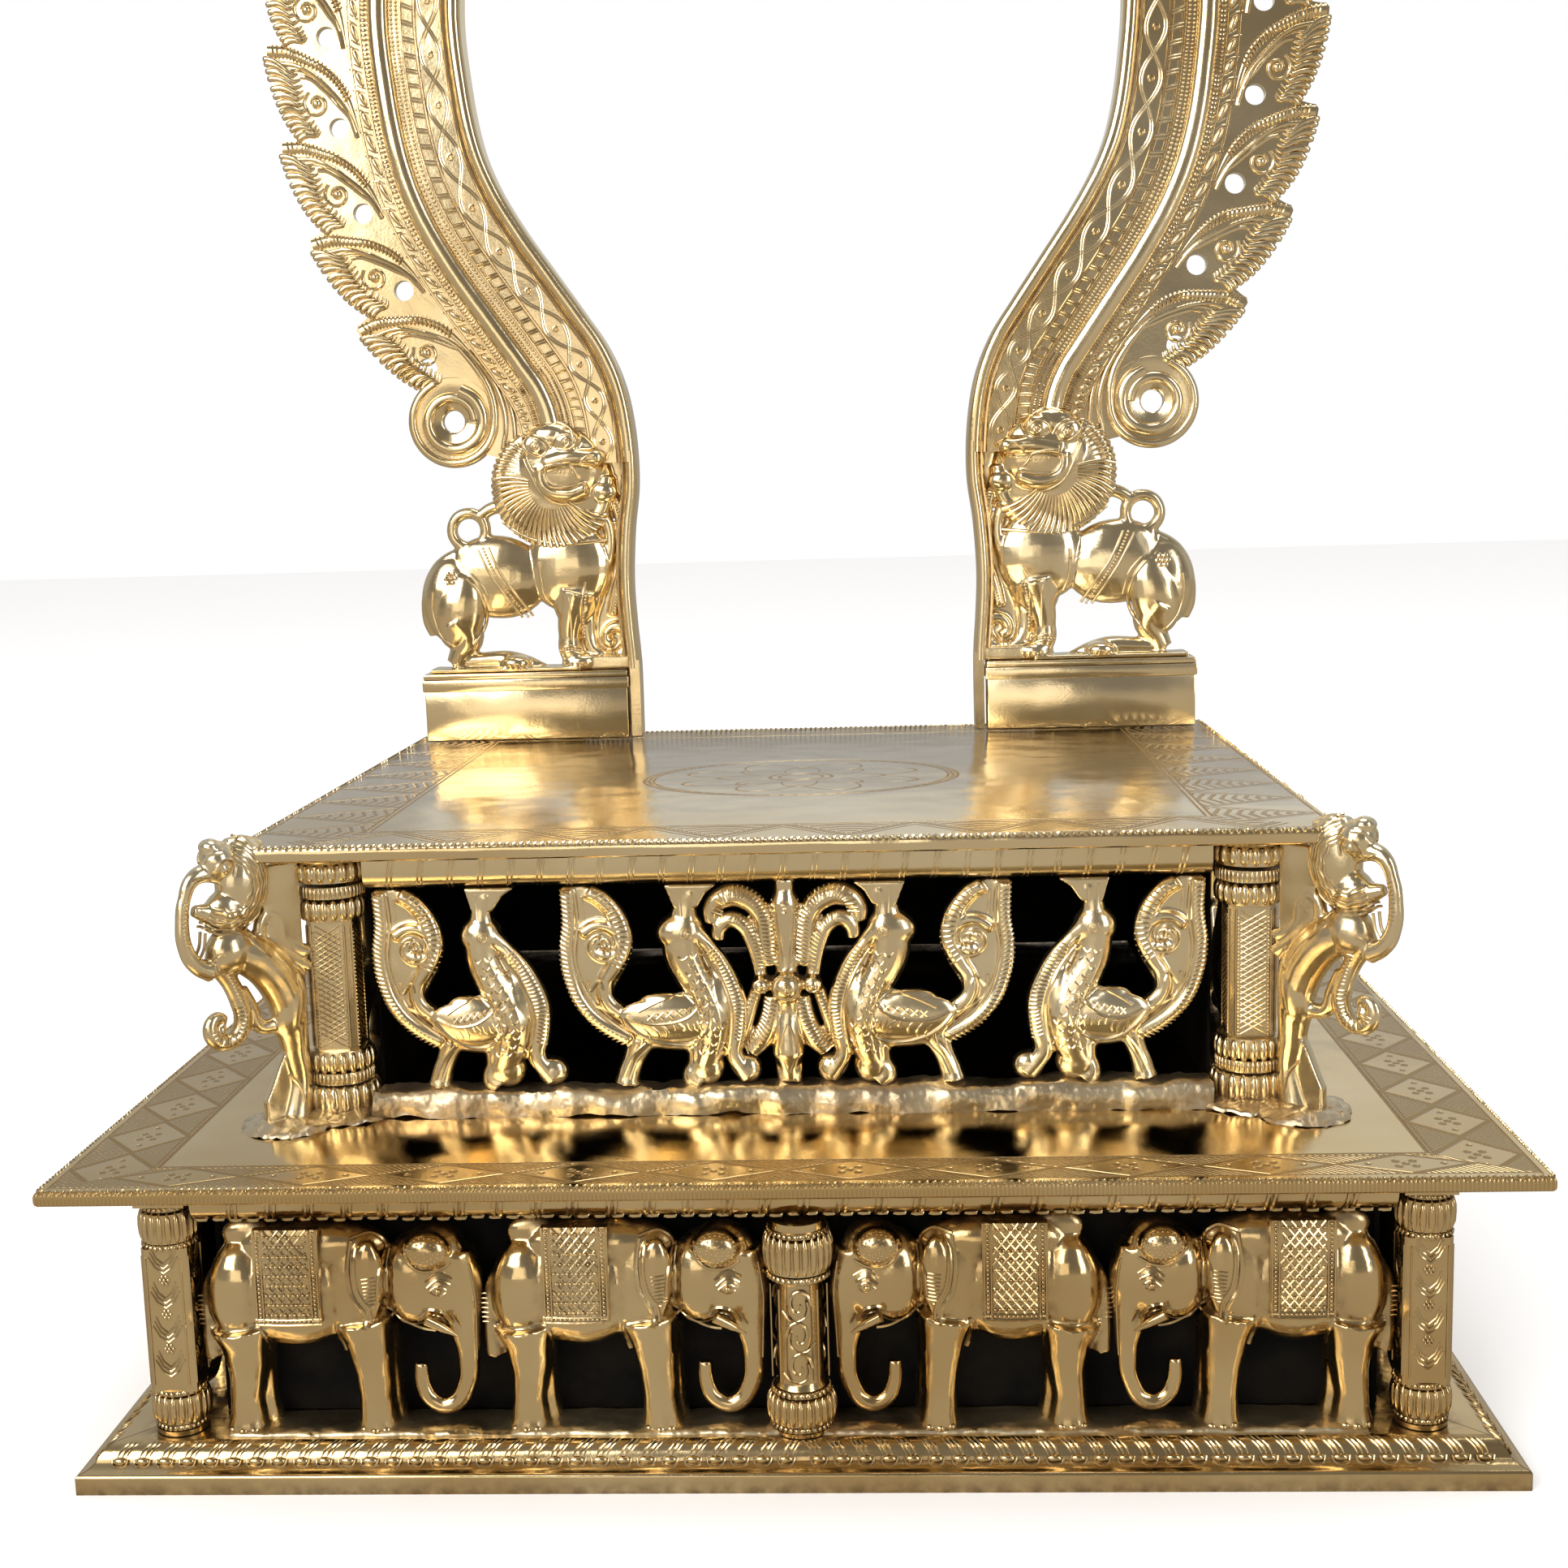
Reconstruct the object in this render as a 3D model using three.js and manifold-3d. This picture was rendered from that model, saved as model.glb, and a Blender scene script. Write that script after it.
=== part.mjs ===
// Brass throne for a household deity: two stepped tiers with pierced animal friezes under a polished
// seat, and an arch of two leafy arms on lion feet that lifts out of sockets in the seat.
// Millimetres. X to the right, Y to the back, Z up, from the middle of the underside.
import * as THREE from 'three';
import { mergeVertices } from 'three/addons/utils/BufferGeometryUtils.js';
import Module from 'manifold-3d';

const wasm = await Module();
wasm.setup();

// General fits
const fitGap = 0.3;
const cutOverrun = 2;
const mergeTolerance = 0.0001;

// Plinth
const plinthSideInset = 1;
const plinthFrontInset = 8;
const plinthHeight = 11;
const plinthFasciaHeight = 4.5;
const plinthSlopeRun = 8;
const plinthBarWidth = 28;
const plinthLipWidth = 7;
const floorThickness = 2.5;

// Lower tier
const lowerStoreyHeight = 71.2;
const lowerPillarInset = 25;
const lowerPillarRadius = 8;
const lowerRailHeight = 12.6;
const lowerRailDepth = 14;
const centrePillarRadius = 9.6;
const centrePillarOffset = 2.7;
const centrePillarFrontOffset = 1.5;
const elephantDepth = 17;
const linerThickness = 1.5;
const panelThickness = 2;
const ledgeWidth = 380;
const ledgeDepth = 324;
const ledgeThickness = 4.3;

// Upper tier
const upperStoreyHeight = 75.1;
const upperPillarInset = 21;
const upperPillarRadius = 11;
const upperRailHeight = 10.6;
const upperRailDepth = 10;
const upperRailFrontOffset = 4;
const sillHeight = 7.5;
const sillDepth = 12;
const swanDepth = 11;
const lotusWidth = 29;
const lotusDepth = 11;
const seatWidth = 296;
const seatDepth = 236;
const seatThickness = 4.4;
const plateEdgeRound = 1.5;
const plateRoundShare = 0.35;

// Corner beasts
const beastLength = 47;
const beastDepth = 15;
const beastWebThickness = 3;

// Arch
const footWidth = 77.5;
const footDepth = 18;
const footHeight = 25;
const footSlabHeight = 6.5;
const footSlabLip = 1;
const tenonWidth = 40;
const tenonDepth = 8;
const tenonClearance = 0.4;
const archFootHalfWidth = 62.5;
const archHalfWidth = 118;
const archSpringHeight = 264;
const armPlateThickness = 6;
const bandWidth = 41.5;
const flangeWidth = 7.7;
const flangeDepth = 12;
const flangeStemWidth = 6.3;
const flangeHeelWidth = 3.7;
const bandStartHeight = 102;
const ribOffset = 26.2;
const ribWidth = 7.9;
const ribDepth = 10.5;
const leafWidth = 31;
const leafPitch = 36;
const leafPlateThickness = 4;
const leafHoleRadius = 3.7;
const leafHoleOffset = 8.1;
const voluteRadius = 17.4;
const voluteHoleRadius = 4;
const voluteThickness = 8;
const voluteMiddleOffset = 128.4;
const voluteMiddleHeight = 118.5;
const lionLength = 73.3;
const lionHeight = 92;
const lionDepth = 16;
const maneRadius = 23.3;
const crestWidth = 58;
const crestHeight = 74;
const crestDepth = 10;
const crestFootWidth = 22;
const crestFootHeight = 12;

// Levels and placing that follow from the sizes above
const plinthWidth = ledgeWidth - 2 * plinthSideInset;
const plinthDepth = ledgeDepth - 2 * plinthFrontInset;
const ledgeUnderside = plinthHeight + lowerStoreyHeight;
const ledgeTop = ledgeUnderside + ledgeThickness;
const seatUnderside = ledgeTop + upperStoreyHeight;
const seatTop = seatUnderside + seatThickness;
const lowerAxisX = ledgeWidth / 2 - lowerPillarInset;
const lowerAxisY = ledgeDepth / 2 - lowerPillarInset;
const upperAxisX = seatWidth / 2 - upperPillarInset;
const upperAxisY = seatDepth / 2 - upperPillarInset;
const footOuterX = archFootHalfWidth + flangeHeelWidth + fitGap + footWidth;
const footMiddleX = footOuterX - footWidth / 2;
const footMiddleY = seatDepth / 2 - footDepth / 2;
const footTop = footHeight + fitGap;
const quarterTurn = Math.PI / 2;
const diagonal = Math.PI / 4;

const polishedBrass = { color: 0xd9b566, roughness: 0.2, metalness: 1 };
const castBrass = { color: 0xcfa458, roughness: 0.32, metalness: 1 };
const warmBrass = { color: 0xb98546, roughness: 0.35, metalness: 1 };
const darkLining = { color: 0x0d0b0a, roughness: 0.95, metalness: 0 };

const throne = new THREE.Group();
const arch = new THREE.Group();
arch.position.set(0, 0, seatTop);
throne.add(arch);

// Solids and meshes

function solidOf(geometry) {
  const bare = geometry.clone();
  Object.keys(bare.attributes)
    .filter((name) => name !== 'position')
    .forEach((name) => bare.deleteAttribute(name));
  const merged = mergeVertices(bare, mergeTolerance);
  const index = merged.index.array;
  const corners = [];
  for (let i = 0; i < index.length; i += 3) {
    const triangle = [index[i], index[i + 1], index[i + 2]];
    if (new Set(triangle).size === triangle.length) corners.push(...triangle);
  }
  return new wasm.Manifold(new wasm.Mesh({
    numProp: 3,
    vertProperties: new Float32Array(merged.attributes.position.array),
    triVerts: new Uint32Array(corners),
  }));
}

function joined(geometries) {
  return geometries.map(solidOf).reduce((whole, piece) => whole.add(piece));
}

function geometryOf(solid) {
  const mesh = solid.getMesh();
  const geometry = new THREE.BufferGeometry();
  geometry.setAttribute('position', new THREE.BufferAttribute(new Float32Array(mesh.vertProperties), 3));
  geometry.setIndex(new THREE.BufferAttribute(new Uint32Array(mesh.triVerts), 1));
  geometry.computeVertexNormals();
  return geometry;
}

function mirrored(geometry) {
  const flipped = geometry.clone().scale(-1, 1, 1);
  const index = flipped.index.array;
  for (let i = 0; i < index.length; i += 3) {
    [index[i], index[i + 1]] = [index[i + 1], index[i]];
  }
  flipped.computeVertexNormals();
  return flipped;
}

function addPiece(parent, name, geometry, finish, place = [0, 0, 0], turn = 0) {
  const mesh = new THREE.Mesh(geometry, new THREE.MeshStandardMaterial(finish));
  mesh.name = name;
  mesh.position.set(...place);
  mesh.rotation.z = turn;
  parent.add(mesh);
  return mesh;
}

function box(width, depth, height, place) {
  return new THREE.BoxGeometry(width, depth, height).translate(...place);
}

// An outline in the X-Z plane, extruded to lie between the depths front and back (front is less).
function slab(shape, front, back, curveSegments = 6) {
  const depth = back - front;
  const geometry = new THREE.ExtrudeGeometry(shape, { depth, bevelEnabled: false, curveSegments });
  return geometry.rotateX(quarterTurn).translate(0, back, 0);
}

// An outline in the Y-Z plane, extruded along X about the middle.
function bar(shape, length) {
  const alongX = new THREE.Matrix4().makeBasis(
    new THREE.Vector3(0, 1, 0), new THREE.Vector3(0, 0, 1), new THREE.Vector3(1, 0, 0));
  const geometry = new THREE.ExtrudeGeometry(shape, { depth: length, bevelEnabled: false, curveSegments: 5 });
  return geometry.translate(0, 0, -length / 2).applyMatrix4(alongX);
}

function polygon(points) {
  return new THREE.Shape(points.map(([x, y]) => new THREE.Vector2(x, y)));
}

// A flat plate with rounded edges, its underside at height zero.
function roundedPlate(width, depth, thickness) {
  const round = Math.min(plateEdgeRound, plateRoundShare * thickness);
  const shape = polygon([
    [-width / 2, -depth / 2], [width / 2, -depth / 2], [width / 2, depth / 2], [-width / 2, depth / 2]]);
  const geometry = new THREE.ExtrudeGeometry(shape, {
    depth: thickness - 2 * round,
    bevelThickness: round,
    bevelSize: round,
    bevelOffset: -round,
    bevelSegments: 2,
  });
  return geometry.translate(0, 0, round);
}

// Cast figures: rounded masses and tapering limbs, written as shares of a figure's own box.
// A mass is [along, out, up, half length, half depth, half height]; a limb station is
// [along, out, up, radius], the radius as a share of the height.

function mass(size, share, sides = 10, rings = 7) {
  const [x, y, z, rx, ry, rz] = share;
  return new THREE.SphereGeometry(1, sides, rings)
    .rotateX(quarterTurn)
    .scale(rx * size.length, ry * size.depth, rz * size.height)
    .translate(x * size.length, y * size.depth, z * size.height);
}

function limb(size, stationShares, sides = 6, stepsEach = 1, flatShare = 1) {
  const curve = new THREE.CatmullRomCurve3(stationShares.map(([x, y, z]) =>
    new THREE.Vector3(x * size.length, y * size.depth, z * size.height)));
  const spans = stationShares.length - 1;
  const geometry = new THREE.CylinderGeometry(1, 1, 1, sides, spans * stepsEach);
  const spots = geometry.attributes.position;
  const depthAxis = new THREE.Vector3(0, 1, 0);
  for (let i = 0; i < spots.count; i += 1) {
    const along = Math.min(Math.max(spots.getY(i) + 1 / 2, 0), 1);
    const centre = curve.getPoint(along);
    const heading = curve.getTangent(along);
    const across = new THREE.Vector3().crossVectors(heading, depthAxis).normalize();
    const outward = new THREE.Vector3().crossVectors(across, heading).normalize();
    const span = Math.min(Math.floor(along * spans), spans - 1);
    const within = along * spans - span;
    const share = THREE.MathUtils.lerp(stationShares[span][3], stationShares[span + 1][3], within);
    const radius = share * size.height;
    centre.addScaledVector(across, radius * spots.getX(i));
    centre.addScaledVector(outward, radius * flatShare * spots.getZ(i));
    spots.setXYZ(i, centre.x, centre.y, centre.z);
  }
  return geometry;
}

// Keeps the part of a figure that lies inside its own box, so that feet and backs end flat.
function trimmed(solid, size, low, high) {
  const length = high - low;
  const keep = solidOf(box(length, 2 * size.depth, size.height, [(low + high) / 2, 0, size.height / 2]));
  return solid.intersect(keep);
}

// Elephant, seen from its left side, walking towards +X

const elephantMassShares = {
  head: [0.815, -0.04, 0.71, 0.15, 0.46, 0.23],
  cap: [0.85, -0.24, 0.85, 0.085, 0.27, 0.11],
  ear: [0.62, -0.4, 0.73, 0.08, 0.14, 0.2],
};
const elephantLimbShares = {
  torso: [[0.055, 0, 0.66, 0.13], [0.12, 0, 0.66, 0.24], [0.25, 0, 0.7, 0.31], [0.42, 0, 0.735, 0.3],
    [0.6, 0, 0.7, 0.29], [0.72, 0, 0.68, 0.2]],
  hindLeg: [[0.2, 0, 0.5, 0.125], [0.195, 0, 0.26, 0.1], [0.195, 0, -0.01, 0.105]],
  frontLeg: [[0.64, 0, 0.46, 0.12], [0.648, 0, 0.26, 0.097], [0.65, 0, -0.01, 0.103]],
  trunk: [[0.89, 0, 0.62, 0.12], [0.94, 0, 0.45, 0.075], [0.953, 0, 0.3, 0.052], [0.94, 0, 0.14, 0.045],
    [0.885, 0, 0.06, 0.041], [0.836, 0, 0.14, 0.033], [0.82, 0, 0.3, 0.022]],
  tusk: [[0.86, -0.36, 0.58, 0.034], [0.965, -0.34, 0.43, 0.014]],
  tail: [[0.07, 0, 0.84, 0.03], [0.03, 0, 0.64, 0.027], [0.036, 0, 0.36, 0.034]],
};
const blanketShares = { from: 0.235, to: 0.475, up: 0.44, back: 0.2, front: 0.53 };
const torsoDepthShare = 0.49;
const legDepthShare = 1.25;

function elephant(length, height) {
  const size = { length, depth: elephantDepth, height };
  const masses = elephantMassShares;
  const limbs = elephantLimbShares;
  const { from, to, up, back, front } = blanketShares;
  const blanket = box((to - from) * length, (front - back) * elephantDepth, (1 - up) * height,
    [(from + to) / 2 * length, -(front + back) / 2 * elephantDepth, (1 + up) / 2 * height]);
  const torsoFlat = torsoDepthShare * elephantDepth / (limbs.torso[2][3] * height);
  const whole = joined([
    limb(size, limbs.torso, 7, 1, torsoFlat), mass(size, masses.head, 6, 4), mass(size, masses.cap, 5, 3),
    mass(size, masses.ear, 5, 3), limb(size, limbs.hindLeg, 4, 1, legDepthShare),
    limb(size, limbs.frontLeg, 4, 1, legDepthShare), limb(size, limbs.trunk, 4), limb(size, limbs.tusk, 3),
    limb(size, limbs.tail, 3), blanket,
  ]);
  return geometryOf(trimmed(whole, size, 0, length));
}

// Swan with a scrolled tail, facing +X, a garland hanging from its beak

const swanWingShare = [0.53, -0.34, 0.35, 0.2, 0.24, 0.11];
const swanLimbShares = {
  body: [[0.2, 0, 0.71, 0.05], [0.225, 0, 0.62, 0.05], [0.31, 0, 0.66, 0.048], [0.33, 0, 0.79, 0.052],
    [0.25, 0, 0.91, 0.054], [0.13, 0, 0.91, 0.052], [0.06, 0, 0.76, 0.05], [0.06, 0, 0.56, 0.052],
    [0.13, 0, 0.37, 0.062], [0.3, 0, 0.26, 0.075], [0.5, 0, 0.29, 0.13], [0.68, 0, 0.31, 0.17],
    [0.765, 0, 0.44, 0.14], [0.69, 0, 0.6, 0.09], [0.61, 0, 0.69, 0.08], [0.58, 0, 0.78, 0.08]],
  beak: [[0.62, -0.1, 0.73, 0.05], [0.7, -0.1, 0.64, 0.024]],
  hanger: [[0.585, 0, 0.78, 0.05], [0.58, 0, 0.89, 0.032], [0.63, 0, 1.01, 0.08]],
  hindLeg: [[0.42, 0, 0.24, 0.055], [0.36, 0, 0.11, 0.04], [0.32, 0, -0.01, 0.06]],
  frontLeg: [[0.66, 0, 0.18, 0.06], [0.64, 0, 0.07, 0.042], [0.64, 0, -0.01, 0.08]],
  garland: [[0.69, 0, 0.69, 0.034], [0.84, 0, 0.58, 0.036], [0.915, 0, 0.44, 0.038], [0.88, 0, 0.2, 0.038],
    [0.92, 0, -0.01, 0.06]],
};
const plumePanelShares = [[0.07, 0.82], [0.16, 0.9], [0.3, 0.84], [0.3, 0.68], [0.23, 0.56], [0.26, 0.4],
  [0.36, 0.3], [0.16, 0.38], [0.07, 0.56]];
const plumePanelThickness = 3.4;
const swanFlatShare = 0.6;

function swan(length, height) {
  const size = { length, depth: swanDepth, height };
  const limbs = swanLimbShares;
  const panel = polygon(plumePanelShares.map(([x, z]) => [x * length, z * height]));
  const whole = joined([
    limb(size, limbs.body, 5, 1, swanFlatShare), mass(size, swanWingShare, 5, 3),
    limb(size, limbs.beak, 3), limb(size, limbs.hanger, 4), limb(size, limbs.hindLeg, 4),
    limb(size, limbs.frontLeg, 4), limb(size, limbs.garland, 4),
    slab(panel, -plumePanelThickness / 2, plumePanelThickness / 2),
  ]);
  return geometryOf(trimmed(whole, size, 0, length));
}

// Lotus spray between the swans: a bossed knob with leaves rising and falling from it

const lotusKnobShare = [0, -0.1, 0.5, 0.14, 0.42, 0.075];
const lotusLimbShares = {
  stem: [[0, 0, 1.01, 0.03], [0, 0, 0.9, 0.065], [0, 0, 0.74, 0.036], [0, 0, 0.26, 0.038],
    [0, 0, 0.13, 0.07], [0, 0, -0.01, 0.034]],
  arm: [[-0.34, 0, 0.5, 0.016], [-0.26, 0, 0.5, 0.045], [-0.17, 0, 0.5, 0.026], [0.17, 0, 0.5, 0.026],
    [0.26, 0, 0.5, 0.045], [0.34, 0, 0.5, 0.016]],
  leaves: [[0.44, 0, 0.83, 0.034], [0.36, 0, 0.92, 0.048], [0.22, 0, 0.88, 0.052], [0.11, 0, 0.72, 0.045],
    [0.03, 0, 0.5, 0.036], [0.13, 0, 0.3, 0.05], [0.29, 0, 0.16, 0.05], [0.39, 0, 0.06, 0.048],
    [0.4, 0, -0.01, 0.058]],
};

function lotus(height) {
  const size = { length: lotusWidth, depth: lotusDepth, height };
  const swapSide = (share) => [-share[0], ...share.slice(1)];
  const { stem, arm: sideArm, leaves } = lotusLimbShares;
  const whole = joined([
    mass(size, lotusKnobShare, 7, 4), limb(size, stem, 4), limb(size, sideArm, 4),
    limb(size, leaves, 4), limb(size, leaves.map(swapSide), 4),
  ]);
  return geometryOf(trimmed(whole, size, -lotusWidth / 2, lotusWidth / 2));
}

// Eight-sided pillar with a ringed base and capital, one flat to the front.
// The profile is [radius to the flats, height] as shares of the pillar's radius and height.

const pillarProfileShares = [[0, 0], [0.84, 0], [0.92, 0.06], [0.72, 0.12], [0.84, 0.16], [0.8, 0.27],
  [0.66, 0.3], [0.66, 0.75], [0.8, 0.78], [0.84, 0.84], [0.72, 0.88], [0.92, 0.945], [0.86, 1], [0, 1]];
const pillarSides = 8;

function pillar(height, radius) {
  const halfSide = Math.PI / pillarSides;
  const cornerRadius = radius / Math.cos(halfSide);
  const points = pillarProfileShares.map(([out, up]) => new THREE.Vector2(out * cornerRadius, up * height));
  const turned = new THREE.LatheGeometry(points, pillarSides).rotateY(halfSide).rotateX(quarterTurn);
  return geometryOf(solidOf(turned));
}

// Rail under a plate: plain above, half round below

const railRoundShare = 0.55;

function rail(length, depth, height) {
  const roundTop = railRoundShare * height;
  const shape = new THREE.Shape();
  shape.moveTo(-depth / 2, height);
  shape.lineTo(-depth / 2, roundTop);
  shape.absellipse(0, roundTop, depth / 2, roundTop, Math.PI, 2 * Math.PI, false);
  shape.lineTo(depth / 2, height);
  return bar(shape, length);
}

// Uneven brazed sill that carries the swans

const sillShoulderShare = 0.6;
const sillTopShare = 0.7;

function sill(length) {
  const half = sillDepth / 2;
  const shoulder = sillShoulderShare * sillHeight;
  const top = half * sillTopShare;
  return bar(polygon([[-half, 0], [half, 0], [half, shoulder], [top, sillHeight], [-top, sillHeight],
    [-half, shoulder]]), length);
}

// Plinth: four moulded bars, mitred at the corners, with a lip that carries the floor

const petalCoveShare = 0.35;

function plinthBar(length) {
  const lipHeight = plinthHeight - floorThickness - fitGap;
  const lipStart = plinthBarWidth - plinthLipWidth;
  const cove = petalCoveShare * plinthSlopeRun;
  const coveHeight = (plinthFasciaHeight + plinthHeight) / 2;
  const outline = polygon([
    [0, 0], [plinthBarWidth, 0], [plinthBarWidth, lipHeight], [lipStart, lipHeight], [lipStart, plinthHeight],
    [plinthSlopeRun, plinthHeight], [cove, coveHeight], [0, plinthFasciaHeight]]);
  const geometry = bar(outline, length);
  const spots = geometry.attributes.position;
  for (let i = 0; i < spots.count; i += 1) {
    const side = Math.sign(spots.getX(i));
    spots.setX(i, side * (length / 2 - spots.getY(i) - fitGap / 2));
  }
  return geometryOf(solidOf(geometry));
}

function addPlinth() {
  const frontBar = plinthBar(plinthWidth);
  const sideBar = plinthBar(plinthDepth);
  addPiece(throne, 'plinth_front', frontBar, castBrass, [0, -plinthDepth / 2, 0]);
  addPiece(throne, 'plinth_back', frontBar, castBrass, [0, plinthDepth / 2, 0], Math.PI);
  addPiece(throne, 'plinth_left', sideBar, castBrass, [-plinthWidth / 2, 0, 0], -quarterTurn);
  addPiece(throne, 'plinth_right', sideBar, castBrass, [plinthWidth / 2, 0, 0], quarterTurn);
  const rebate = 2 * (plinthBarWidth - plinthLipWidth + fitGap);
  const floor = box(plinthWidth - rebate, plinthDepth - rebate, floorThickness,
    [0, 0, plinthHeight - floorThickness / 2]);
  addPiece(throne, 'floor_plate', geometryOf(solidOf(floor)), warmBrass);
}

// A row of figures between two pillars. Each stretch is [start, end, faces back] as shares of the bay.

function addRow(names, bay, stretchShares, makeFigure, finish, place) {
  names.forEach((name, i) => {
    const [from, to, facesBack] = stretchShares[i];
    const length = (to - from) * (bay.to - bay.from);
    const figure = makeFigure(length);
    const shape = facesBack ? mirrored(figure) : figure;
    const start = bay.from + (facesBack ? to : from) * (bay.to - bay.from);
    addPiece(throne, name, shape, finish, place(start), place.turn);
  });
}

function frontPlace(y, z) {
  const place = (along) => [along, y, z];
  place.turn = 0;
  return place;
}

// The left side is a front turned a quarter, so that going along +X becomes coming forward.
function leftPlace(x, z) {
  const place = (along) => [x, -along, z];
  place.turn = -quarterTurn;
  return place;
}

function rightPlace(x, z) {
  const place = (along) => [x, along, z];
  place.turn = quarterTurn;
  return place;
}

const elephantPairShares = [[0.004, 0.488], [0.515, 0.998]];
const elephantPairBackShares = [[0.002, 0.486, true], [0.512, 0.996, true]];
const elephantSideShares = [[0.01, 0.315], [0.347, 0.652], [0.684, 0.99]];
const elephantSideBackShares = elephantSideShares.map(([from, to]) => [from, to, true]);

function addLowerTier() {
  const standing = plinthHeight + fitGap;
  const pillarHeight = lowerStoreyHeight - 2 * fitGap;
  const railHeight = lowerRailHeight - 2 * fitGap;
  const figureHeight = lowerStoreyHeight - lowerRailHeight - 2 * fitGap;
  const reach = lowerPillarRadius + fitGap;
  const innerX = lowerAxisX - reach;
  const innerY = lowerAxisY - reach;
  const corner = pillar(pillarHeight, lowerPillarRadius);
  addPiece(throne, 'lower_pillar_front_left', corner, warmBrass, [-lowerAxisX, -lowerAxisY, standing]);
  addPiece(throne, 'lower_pillar_front_right', corner, warmBrass, [lowerAxisX, -lowerAxisY, standing]);
  addPiece(throne, 'lower_pillar_back_left', corner, warmBrass, [-lowerAxisX, lowerAxisY, standing]);
  addPiece(throne, 'lower_pillar_back_right', corner, warmBrass, [lowerAxisX, lowerAxisY, standing]);
  addPiece(throne, 'lower_pillar_front_centre', pillar(figureHeight, centrePillarRadius), warmBrass,
    [centrePillarOffset, -lowerAxisY - centrePillarFrontOffset, standing]);

  const railBottom = ledgeUnderside - fitGap - railHeight;
  const frontRail = geometryOf(solidOf(rail(2 * innerX, lowerRailDepth, railHeight)));
  const sideRail = geometryOf(solidOf(rail(2 * innerY, lowerRailDepth, railHeight)));
  addPiece(throne, 'lower_rail_front', frontRail, warmBrass, [0, -lowerAxisY, railBottom]);
  addPiece(throne, 'lower_rail_left', sideRail, warmBrass, [-lowerAxisX, 0, railBottom], -quarterTurn);
  addPiece(throne, 'lower_rail_right', sideRail, warmBrass, [lowerAxisX, 0, railBottom], quarterTurn);

  const makeElephant = (length) => elephant(length, figureHeight);
  const centreLeft = centrePillarOffset - centrePillarRadius - fitGap;
  const centreRight = centrePillarOffset + centrePillarRadius + fitGap;
  const front = frontPlace(-lowerAxisY, standing);
  addRow(['elephant_front_1', 'elephant_front_2'], { from: -innerX, to: centreLeft }, elephantPairShares,
    makeElephant, warmBrass, front);
  addRow(['elephant_front_3', 'elephant_front_4'], { from: centreRight, to: innerX }, elephantPairBackShares,
    makeElephant, warmBrass, front);
  const sideBay = { from: -innerY, to: innerY };
  addRow(['elephant_left_1', 'elephant_left_2', 'elephant_left_3'], sideBay, elephantSideShares, makeElephant,
    warmBrass, leftPlace(-lowerAxisX, standing));
  addRow(['elephant_right_1', 'elephant_right_2', 'elephant_right_3'], sideBay, elephantSideBackShares,
    makeElephant, warmBrass, rightPlace(lowerAxisX, standing));

  const linerOffset = Math.max(elephantDepth, lowerRailDepth) / 2 + 2 * fitGap + linerThickness / 2;
  const linerMiddle = standing + pillarHeight / 2;
  const linerX = lowerAxisX - linerOffset;
  const linerY = lowerAxisY - linerOffset;
  const backFace = lowerAxisY - panelThickness;
  const frontLiner = box(2 * (linerX - linerThickness / 2 - fitGap), linerThickness, pillarHeight, [0, 0, 0]);
  const sideLiner = box(linerThickness, linerY + linerThickness / 2 + backFace, pillarHeight, [0, 0, 0]);
  const sideMiddle = (backFace - linerY - linerThickness / 2) / 2;
  addPiece(throne, 'liner_front', geometryOf(solidOf(frontLiner)), darkLining, [0, -linerY, linerMiddle]);
  const sideLiningShape = geometryOf(solidOf(sideLiner));
  addPiece(throne, 'liner_left', sideLiningShape, darkLining, [-linerX, sideMiddle, linerMiddle]);
  addPiece(throne, 'liner_right', sideLiningShape, darkLining, [linerX, sideMiddle, linerMiddle]);
  const backPanel = box(2 * innerX, panelThickness, pillarHeight, [0, lowerAxisY, linerMiddle]);
  addPiece(throne, 'lower_back_panel', geometryOf(solidOf(backPanel)), warmBrass);

  addPiece(throne, 'ledge_plate', geometryOf(solidOf(roundedPlate(ledgeWidth, ledgeDepth, ledgeThickness))),
    polishedBrass, [0, 0, ledgeUnderside]);
}

const swanPairShares = [[0.01, 0.497], [0.507, 0.992]];
const swanPairBackShares = [[0.008, 0.493, true], [0.503, 0.99, true]];
const swanSideShares = [[0.045, 0.33]];
const swanSideBackShares = [[0.67, 0.955, true]];

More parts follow.
